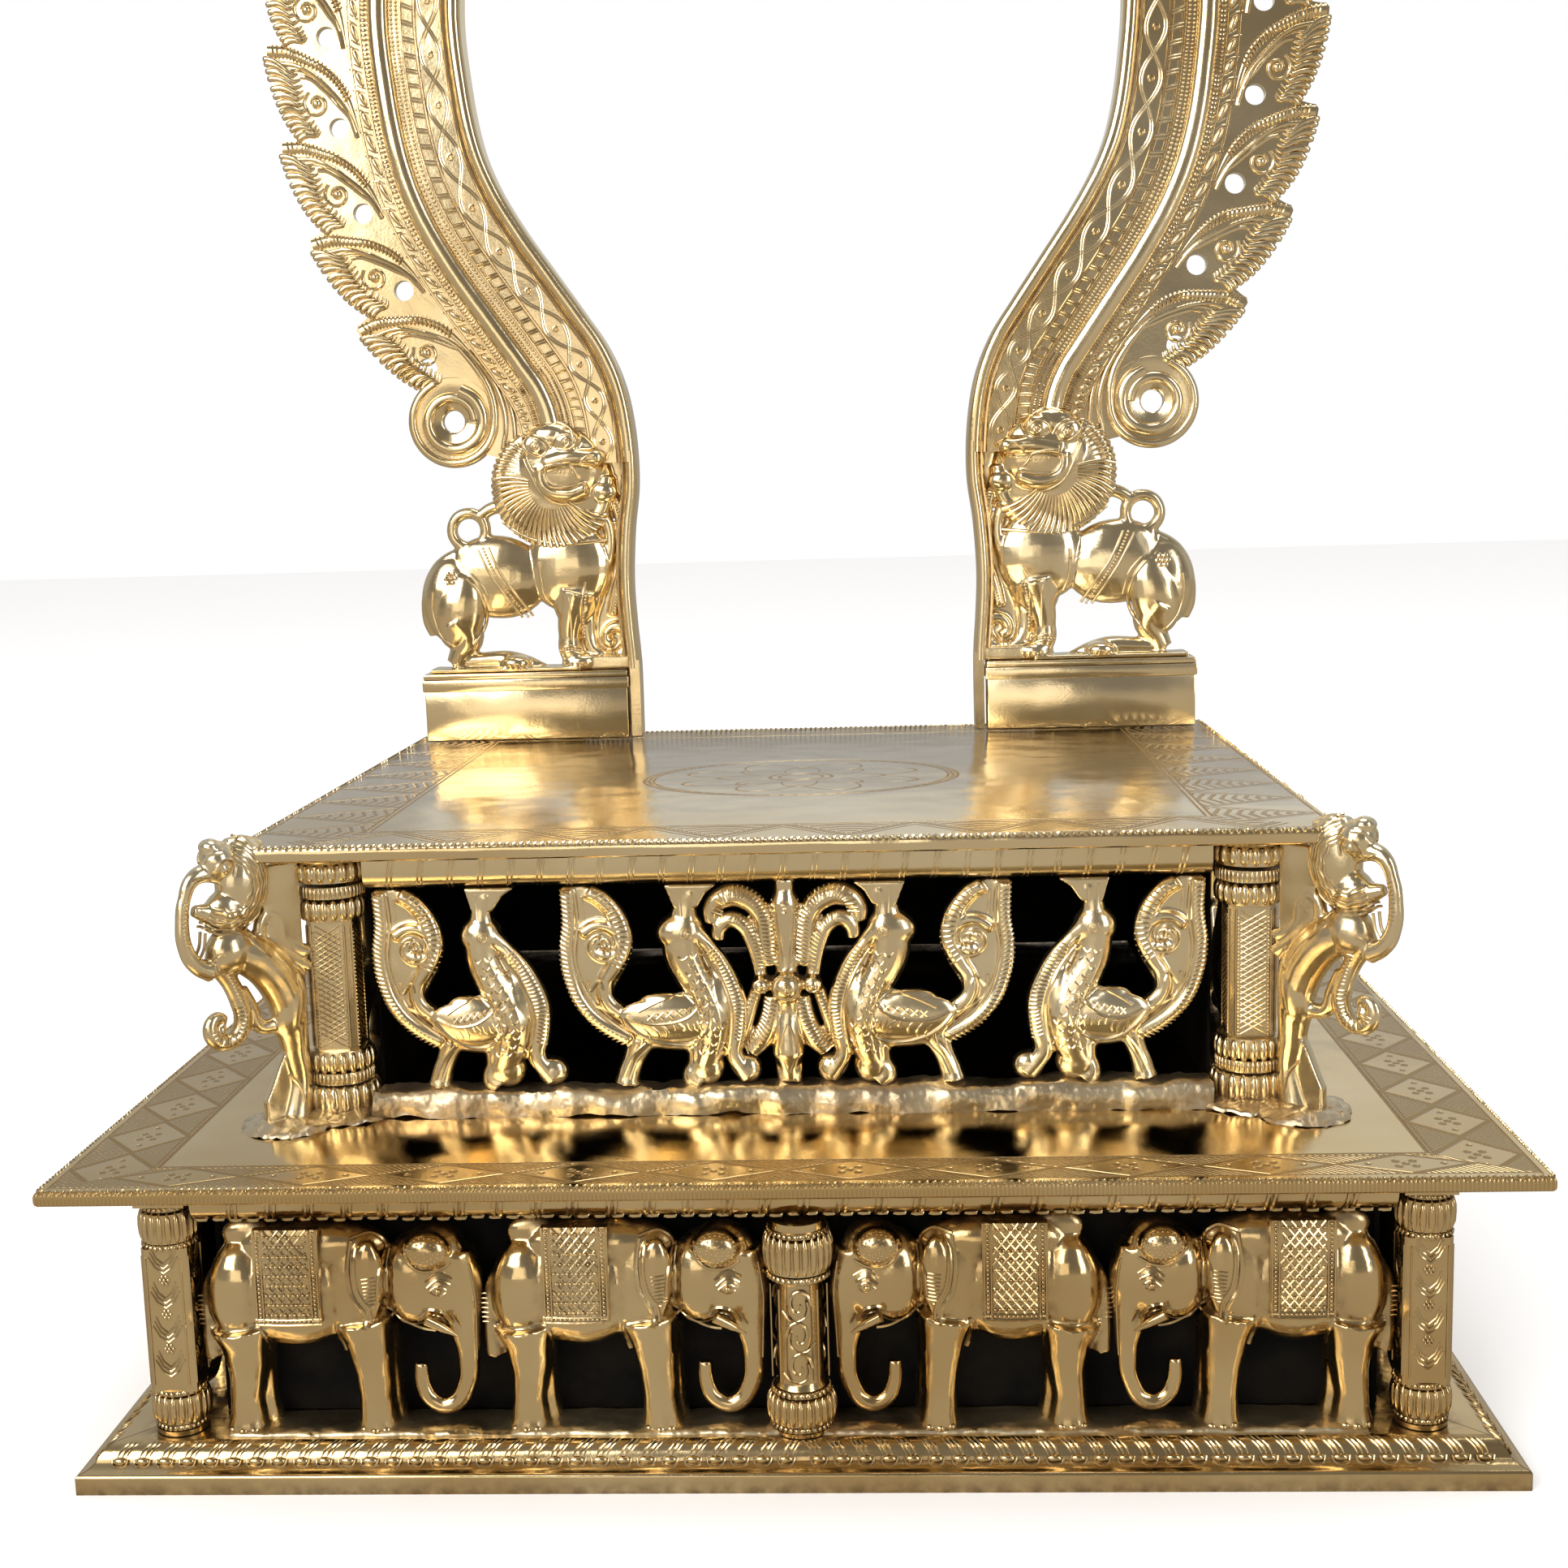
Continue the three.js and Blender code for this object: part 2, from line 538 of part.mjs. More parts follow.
function addUpperTier() {
  const standing = ledgeTop + fitGap;
  const pillarHeight = upperStoreyHeight - 2 * fitGap;
  const railHeight = upperRailHeight - 2 * fitGap;
  const figureBottom = standing + sillHeight + fitGap;
  const railBottom = seatUnderside - fitGap - railHeight;
  const figureHeight = railBottom - fitGap - figureBottom;
  const reach = upperPillarRadius + fitGap;
  const innerX = upperAxisX - reach;
  const innerY = upperAxisY - reach;
  const corner = pillar(pillarHeight, upperPillarRadius);
  addPiece(throne, 'upper_pillar_front_left', corner, castBrass, [-upperAxisX, -upperAxisY, standing]);
  addPiece(throne, 'upper_pillar_front_right', corner, castBrass, [upperAxisX, -upperAxisY, standing]);
  addPiece(throne, 'upper_pillar_back_left', corner, castBrass, [-upperAxisX, upperAxisY, standing]);
  addPiece(throne, 'upper_pillar_back_right', corner, castBrass, [upperAxisX, upperAxisY, standing]);

  const friezeX = upperAxisX + upperRailFrontOffset;
  const friezeY = upperAxisY + upperRailFrontOffset;
  const frontRail = geometryOf(solidOf(rail(2 * innerX, upperRailDepth, railHeight)));
  const sideRail = geometryOf(solidOf(rail(2 * innerY, upperRailDepth, railHeight)));
  addPiece(throne, 'upper_rail_front', frontRail, castBrass, [0, -friezeY, railBottom]);
  addPiece(throne, 'upper_rail_left', sideRail, castBrass, [-friezeX, 0, railBottom], -quarterTurn);
  addPiece(throne, 'upper_rail_right', sideRail, castBrass, [friezeX, 0, railBottom], quarterTurn);
  const frontSill = geometryOf(solidOf(sill(2 * innerX)));
  const sideSill = geometryOf(solidOf(sill(2 * innerY)));
  addPiece(throne, 'upper_sill_front', frontSill, castBrass, [0, -friezeY, standing]);
  addPiece(throne, 'upper_sill_left', sideSill, castBrass, [-friezeX, 0, standing], -quarterTurn);
  addPiece(throne, 'upper_sill_right', sideSill, castBrass, [friezeX, 0, standing], quarterTurn);

  const makeSwan = (length) => swan(length, figureHeight);
  const spray = lotus(figureHeight);
  const lotusEdge = lotusWidth / 2 + fitGap;
  const front = frontPlace(-friezeY, figureBottom);
  const left = leftPlace(-friezeX, figureBottom);
  const right = rightPlace(friezeX, figureBottom);
  addRow(['swan_front_1', 'swan_front_2'], { from: -innerX, to: -lotusEdge }, swanPairShares, makeSwan,
    castBrass, front);
  addRow(['swan_front_3', 'swan_front_4'], { from: lotusEdge, to: innerX }, swanPairBackShares, makeSwan,
    castBrass, front);
  const sideBay = { from: -innerY, to: innerY };
  addRow(['swan_left_1'], sideBay, swanSideShares, makeSwan, castBrass, left);
  addRow(['swan_left_2'], sideBay, swanSideBackShares, makeSwan, castBrass, left);
  addRow(['swan_right_1'], sideBay, swanSideShares, makeSwan, castBrass, right);
  addRow(['swan_right_2'], sideBay, swanSideBackShares, makeSwan, castBrass, right);
  addPiece(throne, 'lotus_front', spray, castBrass, front(0), front.turn);
  addPiece(throne, 'lotus_left', spray, castBrass, left(0), left.turn);
  addPiece(throne, 'lotus_right', spray, castBrass, right(0), right.turn);

  const panelMiddle = standing + pillarHeight / 2;
  const backPanel = box(2 * innerX, panelThickness, pillarHeight, [0, upperAxisY, panelMiddle]);
  addPiece(throne, 'upper_back_panel', geometryOf(solidOf(backPanel)), castBrass);

  const beast = cornerBeast(pillarHeight);
  const seatOnDiagonal = (side) => [side * upperAxisX, -upperAxisY, standing];
  addPiece(throne, 'beast_bracket_right', mirrored(beast), castBrass, seatOnDiagonal(1), -diagonal);
  addPiece(throne, 'beast_bracket_left', beast, castBrass, seatOnDiagonal(-1), diagonal);
  addSeatPlate();
}

function addSeatPlate() {
  const plate = solidOf(roundedPlate(seatWidth, seatDepth, seatThickness));
  const socket = (side) => solidOf(box(
    tenonWidth + 2 * tenonClearance, tenonDepth + 2 * tenonClearance, seatThickness + 2 * cutOverrun,
    [side * footMiddleX, footMiddleY, seatThickness / 2]));
  addPiece(throne, 'seat_plate', geometryOf(plate.subtract(socket(1)).subtract(socket(-1))), polishedBrass,
    [0, 0, seatUnderside]);
}

// Rearing lion beast on a web, its back to the pillar axis at X = 0 and its head towards -X.
// Along is a share of beastLength, counted outwards from the pillar axis.

const beastManeShare = [-0.585, 0, 0.915, 0.165, 0.42, 0.125];
const beastLimbShares = {
  body: [[-0.905, 0, 0.95, 0.04], [-0.83, 0, 0.985, 0.06], [-0.72, 0, 1, 0.085], [-0.63, 0, 0.93, 0.1],
    [-0.64, 0, 0.8, 0.1], [-0.61, 0, 0.67, 0.115], [-0.48, 0, 0.5, 0.12], [-0.4, 0, 0.3, 0.08],
    [-0.375, 0, 0.12, 0.055], [-0.39, 0, -0.01, 0.075]],
  trunk: [[-0.88, 0, 0.97, 0.04], [-0.955, 0, 0.86, 0.037], [-0.96, 0, 0.74, 0.04], [-0.86, 0, 0.63, 0.05],
    [-0.7, 0, 0.62, 0.06]],
  jaw: [[-0.66, 0, 0.86, 0.055], [-0.93, 0, 0.8, 0.034]],
  scroll: [[-0.7, 0, 0.64, 0.042], [-0.695, 0, 0.48, 0.04], [-0.66, 0, 0.4, 0.038], [-0.73, 0, 0.335, 0.036],
    [-0.85, 0, 0.345, 0.035], [-0.9, 0, 0.42, 0.033], [-0.84, 0, 0.485, 0.03], [-0.77, 0, 0.44, 0.028]],
  forepaw: [[-0.52, 0, 0.68, 0.04], [-0.46, 0, 0.755, 0.034], [-0.38, 0, 0.66, 0.036],
    [-0.24, 0, 0.555, 0.036]],
};
const beastWebShares = [[-0.22, 0], [-0.22, 0.985], [-0.5, 0.985], [-0.45, 0.72], [-0.33, 0.58], [-0.36, 0.3],
  [-0.53, 0.1], [-0.53, 0]];

function cornerBeast(height) {
  const size = { length: beastLength, depth: beastDepth, height };
  const limbs = beastLimbShares;
  const webOutline = polygon(beastWebShares.map(([x, z]) => [x * beastLength, z * height]));
  const whole = joined([
    limb(size, limbs.body, 6), mass(size, beastManeShare, 7, 4), limb(size, limbs.trunk, 4),
    limb(size, limbs.jaw, 4), limb(size, limbs.scroll, 4), limb(size, limbs.forepaw, 4),
    slab(webOutline, -beastWebThickness / 2, beastWebThickness / 2),
  ]);
  const pillarRoom = solidOf(new THREE.CylinderGeometry(
    upperPillarRadius + fitGap, upperPillarRadius + fitGap, 2 * height, 12).rotateX(quarterTurn));
  const cornerWidth = 2 * (upperPillarInset + fitGap);
  const plateRoom = solidOf(new THREE.BoxGeometry(cornerWidth, cornerWidth, 2 * seatThickness)
    .rotateZ(diagonal)
    .translate(0, 0, height + seatThickness));
  const floorRoom = solidOf(box(4 * beastLength, 4 * beastDepth, height, [0, 0, -height / 2]));
  return geometryOf(whole.subtract(pillarRoom).subtract(plateRoom).subtract(floorRoom));
}

// The arch, measured up from the seat's top face. Its inner edge is one curve: up the foot, out
// through a swan-neck bend, and round the top as half a circle.

const innerEdgeShares = [
  [0, 0], [0, 0.1], [0.018, 0.16], [0.028, 0.22], [0.008, 0.29], [-0.03, 0.355], [-0.022, 0.425],
  [0.03, 0.49], [0.135, 0.545], [0.28, 0.592], [0.468, 0.65], [0.655, 0.708], [0.81, 0.765],
  [0.91, 0.822], [0.972, 0.9],
];
const archTopTurns = [0, 15, 30, 45, 60, 75, 90];
const archStations = 20;
const armSearchStep = 0.5;

function innerEdge() {
  const spread = archHalfWidth - archFootHalfWidth;
  const lower = innerEdgeShares.map(([across, up]) => new THREE.Vector2(
    archFootHalfWidth + across * spread, fitGap + up * (archSpringHeight - fitGap)));
  const upper = archTopTurns.map((turn) => {
    const angle = THREE.MathUtils.degToRad(turn);
    const x = archHalfWidth * Math.cos(angle);
    return new THREE.Vector2(x, archSpringHeight + archHalfWidth * Math.sin(angle));
  });
  return new THREE.SplineCurve([...lower, ...upper]);
}

const armCurve = innerEdge();
const armLength = armCurve.getLength();

// A point at a distance along the arm and a distance out from its inner edge, kept off the middle.
function armPoint(along, out) {
  const place = Math.min(Math.max(along / armLength, 0), 1);
  const spot = armCurve.getPointAt(place);
  const heading = armCurve.getTangentAt(place);
  const x = spot.x + heading.y * out;
  return new THREE.Vector2(Math.max(x, fitGap / 2), spot.y - heading.x * out);
}

function armStrip(innerOffset, outerOffset, from, to, stations) {
  const inner = [];
  const outer = [];
  for (let i = 0; i <= stations; i += 1) {
    const along = from + (to - from) * i / stations;
    inner.push(armPoint(along, innerOffset));
    outer.push(armPoint(along, outerOffset));
  }
  return new THREE.Shape([...inner, ...outer.reverse()]);
}

function lengthAtHeight(height) {
  let along = 0;
  while (armPoint(along, 0).y < height && along < armLength) along += armSearchStep;
  return along;
}

// One leaf's outer edge from its notch up to its tip, as [share of pitch, share of leaf width].
const leafEdgeShares = [[0, 0.8], [0.45, 0.99], [0.96, 1.02]];

function leafBorder(from, to) {
  const count = Math.max(Math.round((to - from) / leafPitch), 1);
  const pitch = (to - from) / count;
  const outer = [];
  for (let i = 0; i < count; i += 1) {
    leafEdgeShares.forEach(([along, out]) => {
      outer.push(armPoint(from + (i + along) * pitch, bandWidth + out * leafWidth));
    });
  }
  outer.push(armPoint(to, bandWidth + leafEdgeShares[0][1] * leafWidth));
  const inner = [];
  for (let i = count * 2; i >= 0; i -= 1) inner.push(armPoint(from + i * pitch / 2, bandWidth - ribWidth));
  const shape = new THREE.Shape([...outer, ...inner]);
  for (let i = 1; i < count; i += 1) {
    const centre = armPoint(from + i * pitch, bandWidth + leafHoleOffset);
    shape.holes.push(new THREE.Path().absarc(centre.x, centre.y, leafHoleRadius, 0, 2 * Math.PI, true));
  }
  return slab(shape, -leafPlateThickness / 2, leafPlateThickness / 2, 3);
}

function disc(radius, thickness, x, z, sides) {
  return new THREE.CylinderGeometry(radius, radius, thickness, sides).translate(x, 0, z);
}

const leafStartShare = 0.36;
const voluteNeckShares = [[0.2, 0.9], [-0.55, 1.1], [-1.35, 0.65], [-1.2, -0.2], [-0.6, -0.75], [0.1, 0.1]];

function arm() {
  const bandStart = lengthAtHeight(bandStartHeight);
  const stemStart = lengthAtHeight(footTop + fitGap);
  const halfPlate = armPlateThickness / 2;
  const halfFlange = flangeDepth / 2;
  const band = slab(armStrip(0, bandWidth, bandStart, armLength, archStations), -halfPlate, halfPlate);
  const heel = slab(armStrip(0, flangeHeelWidth, 0, stemStart + flangeHeelWidth, 4), -halfFlange, halfFlange);
  const stem = slab(armStrip(0, flangeStemWidth, stemStart, bandStart + flangeStemWidth, 8),
    -halfFlange, halfFlange);
  const flange = slab(armStrip(0, flangeWidth, bandStart, armLength, archStations), -halfFlange, halfFlange);
  const rib = slab(armStrip(ribOffset, ribOffset + ribWidth, bandStart, armLength, archStations),
    -ribDepth / 2, halfPlate);
  const leafStart = bandStart + leafStartShare * (voluteMiddleHeight - bandStartHeight) + leafPitch / 2;
  const crestRoom = crestFootWidth / 2 + fitGap;
  const leafEnd = armLength - crestRoom * archHalfWidth / (archHalfWidth + bandWidth);
  const border = leafBorder(leafStart, leafEnd);
  const neck = polygon(voluteNeckShares.map(([x, z]) =>
    [voluteMiddleOffset + x * voluteRadius, voluteMiddleHeight + z * voluteRadius]));
  const neckPlate = slab(neck, -leafPlateThickness / 2, leafPlateThickness / 2);
  const volute = disc(voluteRadius, voluteThickness, voluteMiddleOffset, voluteMiddleHeight, 18);
  const voluteHole = solidOf(
    disc(voluteHoleRadius, 2 * voluteThickness, voluteMiddleOffset, voluteMiddleHeight, 6));
  const maneX = footOuterX - lionManeShares.along * lionLength;
  const maneZ = footTop + fitGap + lionManeShares.up * lionHeight;
  const maneRoom = solidOf(disc(maneRadius + fitGap, 2 * flangeDepth, maneX, maneZ, 24));
  const stemStrip = armStrip(0, flangeStemWidth, 0, bandStart + bandWidth, 24);
  const stemGuard = solidOf(slab(stemStrip, -halfFlange, halfFlange));
  const roomBesideStem = maneRoom.subtract(stemGuard);
  const whole = joined([band, heel, stem, flange, rib, border, neckPlate, volute]);
  return geometryOf(whole.subtract(voluteHole).subtract(roomBesideStem));
}

// Lion on the foot block, seen from the front, its rump outwards and its head towards the middle.
// Local X runs from the rump (0) towards the middle of the throne.

const lionManeShares = { along: 0.705, up: 0.745 };
const maneDepthShare = 0.9;
const lionMassShares = {
  face: [0.745, -0.18, 0.84, 0.185, 0.42, 0.13],
  snout: [0.9, -0.24, 0.835, 0.08, 0.26, 0.058],
  beardEye: [0.89, 0, 0.115, 0.08, 0.42, 0.065],
};
const lionLimbShares = {
  torso: [[0.03, 0, 0.28, 0.07], [0.1, 0, 0.29, 0.15], [0.22, 0, 0.31, 0.18], [0.4, 0, 0.38, 0.16],
    [0.6, 0, 0.42, 0.19], [0.78, 0, 0.43, 0.2], [0.92, 0, 0.46, 0.13]],
  frontLeg: [[0.74, 0, 0.3, 0.085], [0.745, 0, 0.14, 0.056], [0.765, 0, -0.01, 0.07]],
  hindShank: [[0.17, 0, 0.2, 0.1], [0.22, 0, 0.03, 0.055]],
  hindFoot: [[0.16, 0, 0.02, 0.055], [0.4, 0, 0.035, 0.055], [0.62, 0, 0.015, 0.042]],
  tail: [[0.05, 0, 0.2, 0.028], [0.03, 0, 0.36, 0.03], [0.12, 0, 0.5, 0.036], [0.23, 0, 0.555, 0.034],
    [0.31, 0, 0.57, 0.034], [0.35, 0, 0.66, 0.034], [0.27, 0, 0.735, 0.03], [0.17, 0, 0.7, 0.03],
    [0.145, 0, 0.62, 0.03], [0.23, 0, 0.54, 0.034]],
  beard: [[0.93, 0, 0.8, 0.04], [0.955, 0, 0.66, 0.036], [0.96, 0, 0.48, 0.036], [0.9, 0, 0.28, 0.04],
    [0.84, 0, 0.1, 0.04]],
};
const lionTorsoFlatShare = 0.46;

function lion() {
  const size = { length: lionLength, depth: lionDepth, height: lionHeight };
  const limbs = lionLimbShares;
  const masses = lionMassShares;
  const mane = disc(maneRadius, lionDepth * maneDepthShare, lionManeShares.along * lionLength,
    lionManeShares.up * lionHeight, 16);
  const whole = joined([
    mane, mass(size, masses.face, 8, 4), mass(size, masses.snout, 6, 3), mass(size, masses.beardEye, 7, 4),
    limb(size, limbs.torso, 8, 1, lionTorsoFlatShare), limb(size, limbs.frontLeg, 5, 1, legDepthShare),
    limb(size, limbs.hindShank, 5, 1, legDepthShare), limb(size, limbs.hindFoot, 5, 1, legDepthShare),
    limb(size, limbs.tail, 4), limb(size, limbs.beard, 4),
  ]);
  return geometryOf(trimmed(whole, size, 0, lionLength));
}

// Foot block with a stepped slab on top and a tenon that drops into the seat's socket
function archFoot() {
  const plainHeight = footHeight - footSlabHeight;
  const block = box(footWidth - footSlabLip, footDepth - 2 * footSlabLip, plainHeight + fitGap,
    [0, 0, fitGap + (plainHeight + fitGap) / 2]);
  const slabMiddle = fitGap + plainHeight + footSlabHeight / 2;
  const topSlab = box(footWidth, footDepth, footSlabHeight, [0, 0, slabMiddle]);
  const tenonHeight = seatThickness + fitGap;
  const tenon = box(tenonWidth, tenonDepth, tenonHeight, [0, 0, fitGap * 2 - tenonHeight / 2]);
  return geometryOf(joined([block, topSlab, tenon]));
}

// Crest that covers the joint of the two arms: a lotus bud between curling petals
const crestMassShares = { bud: [0, -0.1, 0.66, 0.14, 0.5, 0.2], boss: [0, -0.1, 0.26, 0.19, 0.5, 0.19] };
const crestLimbShares = {
  tip: [[0, 0, 0.7, 0.11], [0, 0, 0.88, 0.06], [0, 0, 1, 0.015]],
  petal: [[0.05, 0, 0.44, 0.08], [0.22, 0, 0.6, 0.075], [0.33, 0, 0.76, 0.045], [0.4, 0, 0.86, 0.018]],
  curl: [[0.05, 0, 0.44, 0.07], [0.27, 0, 0.525, 0.055], [0.42, 0, 0.58, 0.045], [0.465, 0, 0.69, 0.022]],
};

function crest() {
  const size = { length: crestWidth, depth: crestDepth, height: crestHeight };
  const swapSide = (share) => [-share[0], ...share.slice(1)];
  const { tip, petal, curl } = crestLimbShares;
  const whole = joined([
    box(crestFootWidth, crestDepth, crestFootHeight, [0, 0, crestFootHeight / 2]),
    mass(size, crestMassShares.bud, 8, 5), mass(size, crestMassShares.boss, 8, 5),
    limb(size, tip, 5), limb(size, petal, 4), limb(size, petal.map(swapSide), 4),
    limb(size, curl, 4), limb(size, curl.map(swapSide), 4),
  ]);
  return geometryOf(trimmed(whole, size, -crestWidth / 2, crestWidth / 2));
}

function addArch() {
  const armSolid = arm();
  const lionSolid = lion();
  const lionZ = footTop + fitGap;
  const foot = archFoot();
  addPiece(arch, 'arch_foot_left', foot, castBrass, [-footMiddleX, footMiddleY, 0]);
  addPiece(arch, 'arch_foot_right', foot, castBrass, [footMiddleX, footMiddleY, 0]);
  addPiece(arch, 'lion_left', lionSolid, castBrass, [-footOuterX, footMiddleY, lionZ]);
  addPiece(arch, 'lion_right', mirrored(lionSolid), castBrass, [footOuterX, footMiddleY, lionZ]);
  addPiece(arch, 'arch_arm_left', mirrored(armSolid), polishedBrass, [0, footMiddleY, 0]);
  addPiece(arch, 'arch_arm_right', armSolid, polishedBrass, [0, footMiddleY, 0]);
  const crestBase = archSpringHeight + archHalfWidth + bandWidth + fitGap;
  addPiece(arch, 'arch_crest', crest(), castBrass, [0, footMiddleY, crestBase]);
}

addPlinth();
addLowerTier();
addUpperTier();
addArch();

export default throne;
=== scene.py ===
import bisect
import math
import random

import bmesh
import bpy
from mathutils import Matrix, Vector, noise
from mathutils.bvhtree import BVHTree


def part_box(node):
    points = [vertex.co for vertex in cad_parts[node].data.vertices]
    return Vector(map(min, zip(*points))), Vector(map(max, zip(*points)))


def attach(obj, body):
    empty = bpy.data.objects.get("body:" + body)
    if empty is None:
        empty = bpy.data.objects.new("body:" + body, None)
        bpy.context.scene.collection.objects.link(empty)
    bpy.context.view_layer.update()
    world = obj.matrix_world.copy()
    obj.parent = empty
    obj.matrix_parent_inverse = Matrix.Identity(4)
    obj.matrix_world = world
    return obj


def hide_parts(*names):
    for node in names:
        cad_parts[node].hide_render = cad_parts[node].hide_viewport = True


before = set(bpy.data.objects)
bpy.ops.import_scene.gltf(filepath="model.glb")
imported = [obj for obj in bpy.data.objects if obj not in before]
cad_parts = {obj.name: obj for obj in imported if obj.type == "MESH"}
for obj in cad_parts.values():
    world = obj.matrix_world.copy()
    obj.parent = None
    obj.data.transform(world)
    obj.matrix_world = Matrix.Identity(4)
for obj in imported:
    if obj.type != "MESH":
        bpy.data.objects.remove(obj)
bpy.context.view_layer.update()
random.seed(7)
scene = bpy.context.scene

# All modelling is in millimetres, in the frame of the CAD, and is scaled down to metres at the end.
toMetres = Matrix.Scale(0.001, 4)
quarter = math.pi / 2


def report(text):
    print("throne:", text)


def nodeBox(node):  # a CAD node's box in millimetres
    low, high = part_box(node)
    return low * 1000, high * 1000


def bake(bm, name="part"):
    bmesh.ops.recalc_face_normals(bm, faces=bm.faces)
    mesh = bpy.data.meshes.new(name)
    bm.to_mesh(mesh)
    bm.free()
    return mesh


def finishPiece(name, mesh, material, body, nodes, sharpAngle=40):
    mesh.transform(toMetres)
    mesh.materials.clear()
    mesh.materials.append(material)
    mesh.shade_smooth()
    mesh.set_sharp_from_angle(angle=math.radians(sharpAngle))
    piece = bpy.data.objects.new(name, mesh)
    scene.collection.objects.link(piece)
    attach(piece, body)
    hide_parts(*nodes)
    return piece


def evaluated(mesh, *modifiers):  # a copy of the mesh after (type, settings) modifiers
    holder = bpy.data.objects.new("holder", mesh)
    scene.collection.objects.link(holder)
    for kind, settings in modifiers:
        modifier = holder.modifiers.new(kind, kind)
        for key, value in settings.items():
            setattr(modifier, key, value)
    graph = bpy.context.evaluated_depsgraph_get()
    result = bpy.data.meshes.new_from_object(holder.evaluated_get(graph))
    bpy.data.objects.remove(holder)
    return result


def move(x, y, z):
    return Matrix.Translation((x, y, z))


def grow(x, y, z):
    return Matrix.Diagonal((x, y, z, 1))


def stamp(bm, shape, matrix=Matrix.Identity(4)):  # adds one placed copy of a small mesh
    copy = shape.copy()
    copy.transform(matrix)
    bm.from_mesh(copy)
    bpy.data.meshes.remove(copy)


def verticesOf(made):
    return [item for item in made["geom"] if isinstance(item, bmesh.types.BMVert)]


def pulled(bm, faces, vec):  # gives faces a thickness along a vector
    made = bmesh.ops.extrude_face_region(bm, geom=faces)
    bmesh.ops.translate(bm, vec=vec, verts=verticesOf(made))


def loopOf(bm, spots):  # the closed line through some new vertices
    return [bm.edges.new((spots[i], spots[(i + 1) % len(spots)])) for i in range(len(spots))]


def smoothPath(points, steps):  # a Catmull-Rom line through (x, y) points
    knots = [Vector(point) for point in [points[0], *points, points[-1]]]
    line = []
    for i in range(1, len(knots) - 2):
        before, start, end, after = knots[i - 1:i + 3]
        leave, arrive = (end - before) / 2, (after - start) / 2
        for k in range(steps):
            t = k / steps
            line.append((2 * start - 2 * end + leave + arrive) * t ** 3
                        + (-3 * start + 3 * end - 2 * leave - arrive) * t ** 2 + leave * t + start)
    line.append(knots[-2])
    return line


def spiral(x, z, outer, inner, turns, start, radius, steps=8, sense=1):
    count = int(turns * steps)
    path = []
    for k in range(count + 1):
        share = k / count
        reach = outer + (inner - outer) * share
        angle = start + sense * share * turns * 2 * math.pi
        path.append((x + reach * math.cos(angle), z + reach * math.sin(angle), radius))
    return path


def placed(mesh, matrix):
    copy = mesh.copy()
    copy.transform(matrix)
    if matrix.determinant() < 0:
        copy.flip_normals()
    return copy


def bead(radius=1.0, stretch=(1, 1, 1)):
    bm = bmesh.new()
    bmesh.ops.create_icosphere(bm, subdivisions=1, radius=radius)
    bmesh.ops.scale(bm, vec=stretch, verts=bm.verts)
    return bake(bm)


def tubes(bm, paths, sides=4, steps=5):  # smooth round bars along lists of (x, y, z, radius)
    curve = bpy.data.curves.new("tubes", "CURVE")
    curve.dimensions = "3D"
    curve.bevel_depth = 1
    curve.bevel_resolution = sides // 2
    curve.use_fill_caps = True
    curve.resolution_u = steps
    for path in paths:
        spline = curve.splines.new("BEZIER")
        spline.bezier_points.add(len(path) - 1)
        for point, (x, y, z, radius) in zip(spline.bezier_points, path):
            point.co = (x, y, z)
            point.radius = radius
            point.handle_left_type = point.handle_right_type = "AUTO"
    holder = bpy.data.objects.new("tubes", curve)
    mesh = bpy.data.meshes.new_from_object(holder)
    bpy.data.objects.remove(holder)
    bpy.data.curves.remove(curve)
    part = bmesh.new()
    part.from_mesh(mesh)
    bmesh.ops.remove_doubles(part, verts=part.verts, dist=0.001)
    part.to_mesh(mesh)
    part.free()
    bm.from_mesh(mesh)
    bpy.data.meshes.remove(mesh)


def blob(bm, centre, radii, turn=0.0, segments=20):
    place = Matrix.Translation(centre) @ Matrix.Rotation(turn, 4, "Y") @ grow(*radii)
    bmesh.ops.create_uvsphere(bm, u_segments=segments, v_segments=segments * 2 // 3, radius=1, matrix=place)


def cast(bm, voxel=0.5, smoothing=2, factor=0.5):  # melts overlapping shapes into one skin
    return evaluated(
        bake(bm),
        ("REMESH", {"mode": "VOXEL", "voxel_size": voxel, "use_smooth_shade": True}),
        ("SMOOTH", {"factor": factor, "iterations": smoothing}),
    )


def uneven(mesh, size=6.0, depth=0.25):  # the slight unevenness of a hand-cast skin
    shifts = [vertex.normal * depth * noise.noise(vertex.co / size) for vertex in mesh.vertices]
    for vertex, shift in zip(mesh.vertices, shifts):
        vertex.co += shift


# Brass finishes

def addNode(tree, kind, inputs=None, **settings):
    node = tree.nodes.new(kind)
    for key, value in settings.items():
        setattr(node, key, value)
    for key, value in (inputs or {}).items():
        if isinstance(value, bpy.types.NodeSocket):
            tree.links.new(value, node.inputs[key])
        else:
            node.inputs[key].default_value = value
    return node


def newFinish(name):  # a material, its nodes, its shader and the places on the piece
    material = bpy.data.materials.new(name)
    material.use_nodes = True
    tree = material.node_tree
    tree.nodes.clear()
    output = tree.nodes.new("ShaderNodeOutputMaterial")
    shader = tree.nodes.new("ShaderNodeBsdfPrincipled")
    tree.links.new(shader.outputs["BSDF"], output.inputs["Surface"])
    return material, tree, shader, addNode(tree, "ShaderNodeTexCoord").outputs["Object"]


def maths(tree, operation, first, second=0.0, third=0.0):
    return addNode(tree, "ShaderNodeMath", {0: first, 1: second, 2: third}, operation=operation).outputs[0]


def times(tree, first, second):
    return maths(tree, "MULTIPLY", first, second)


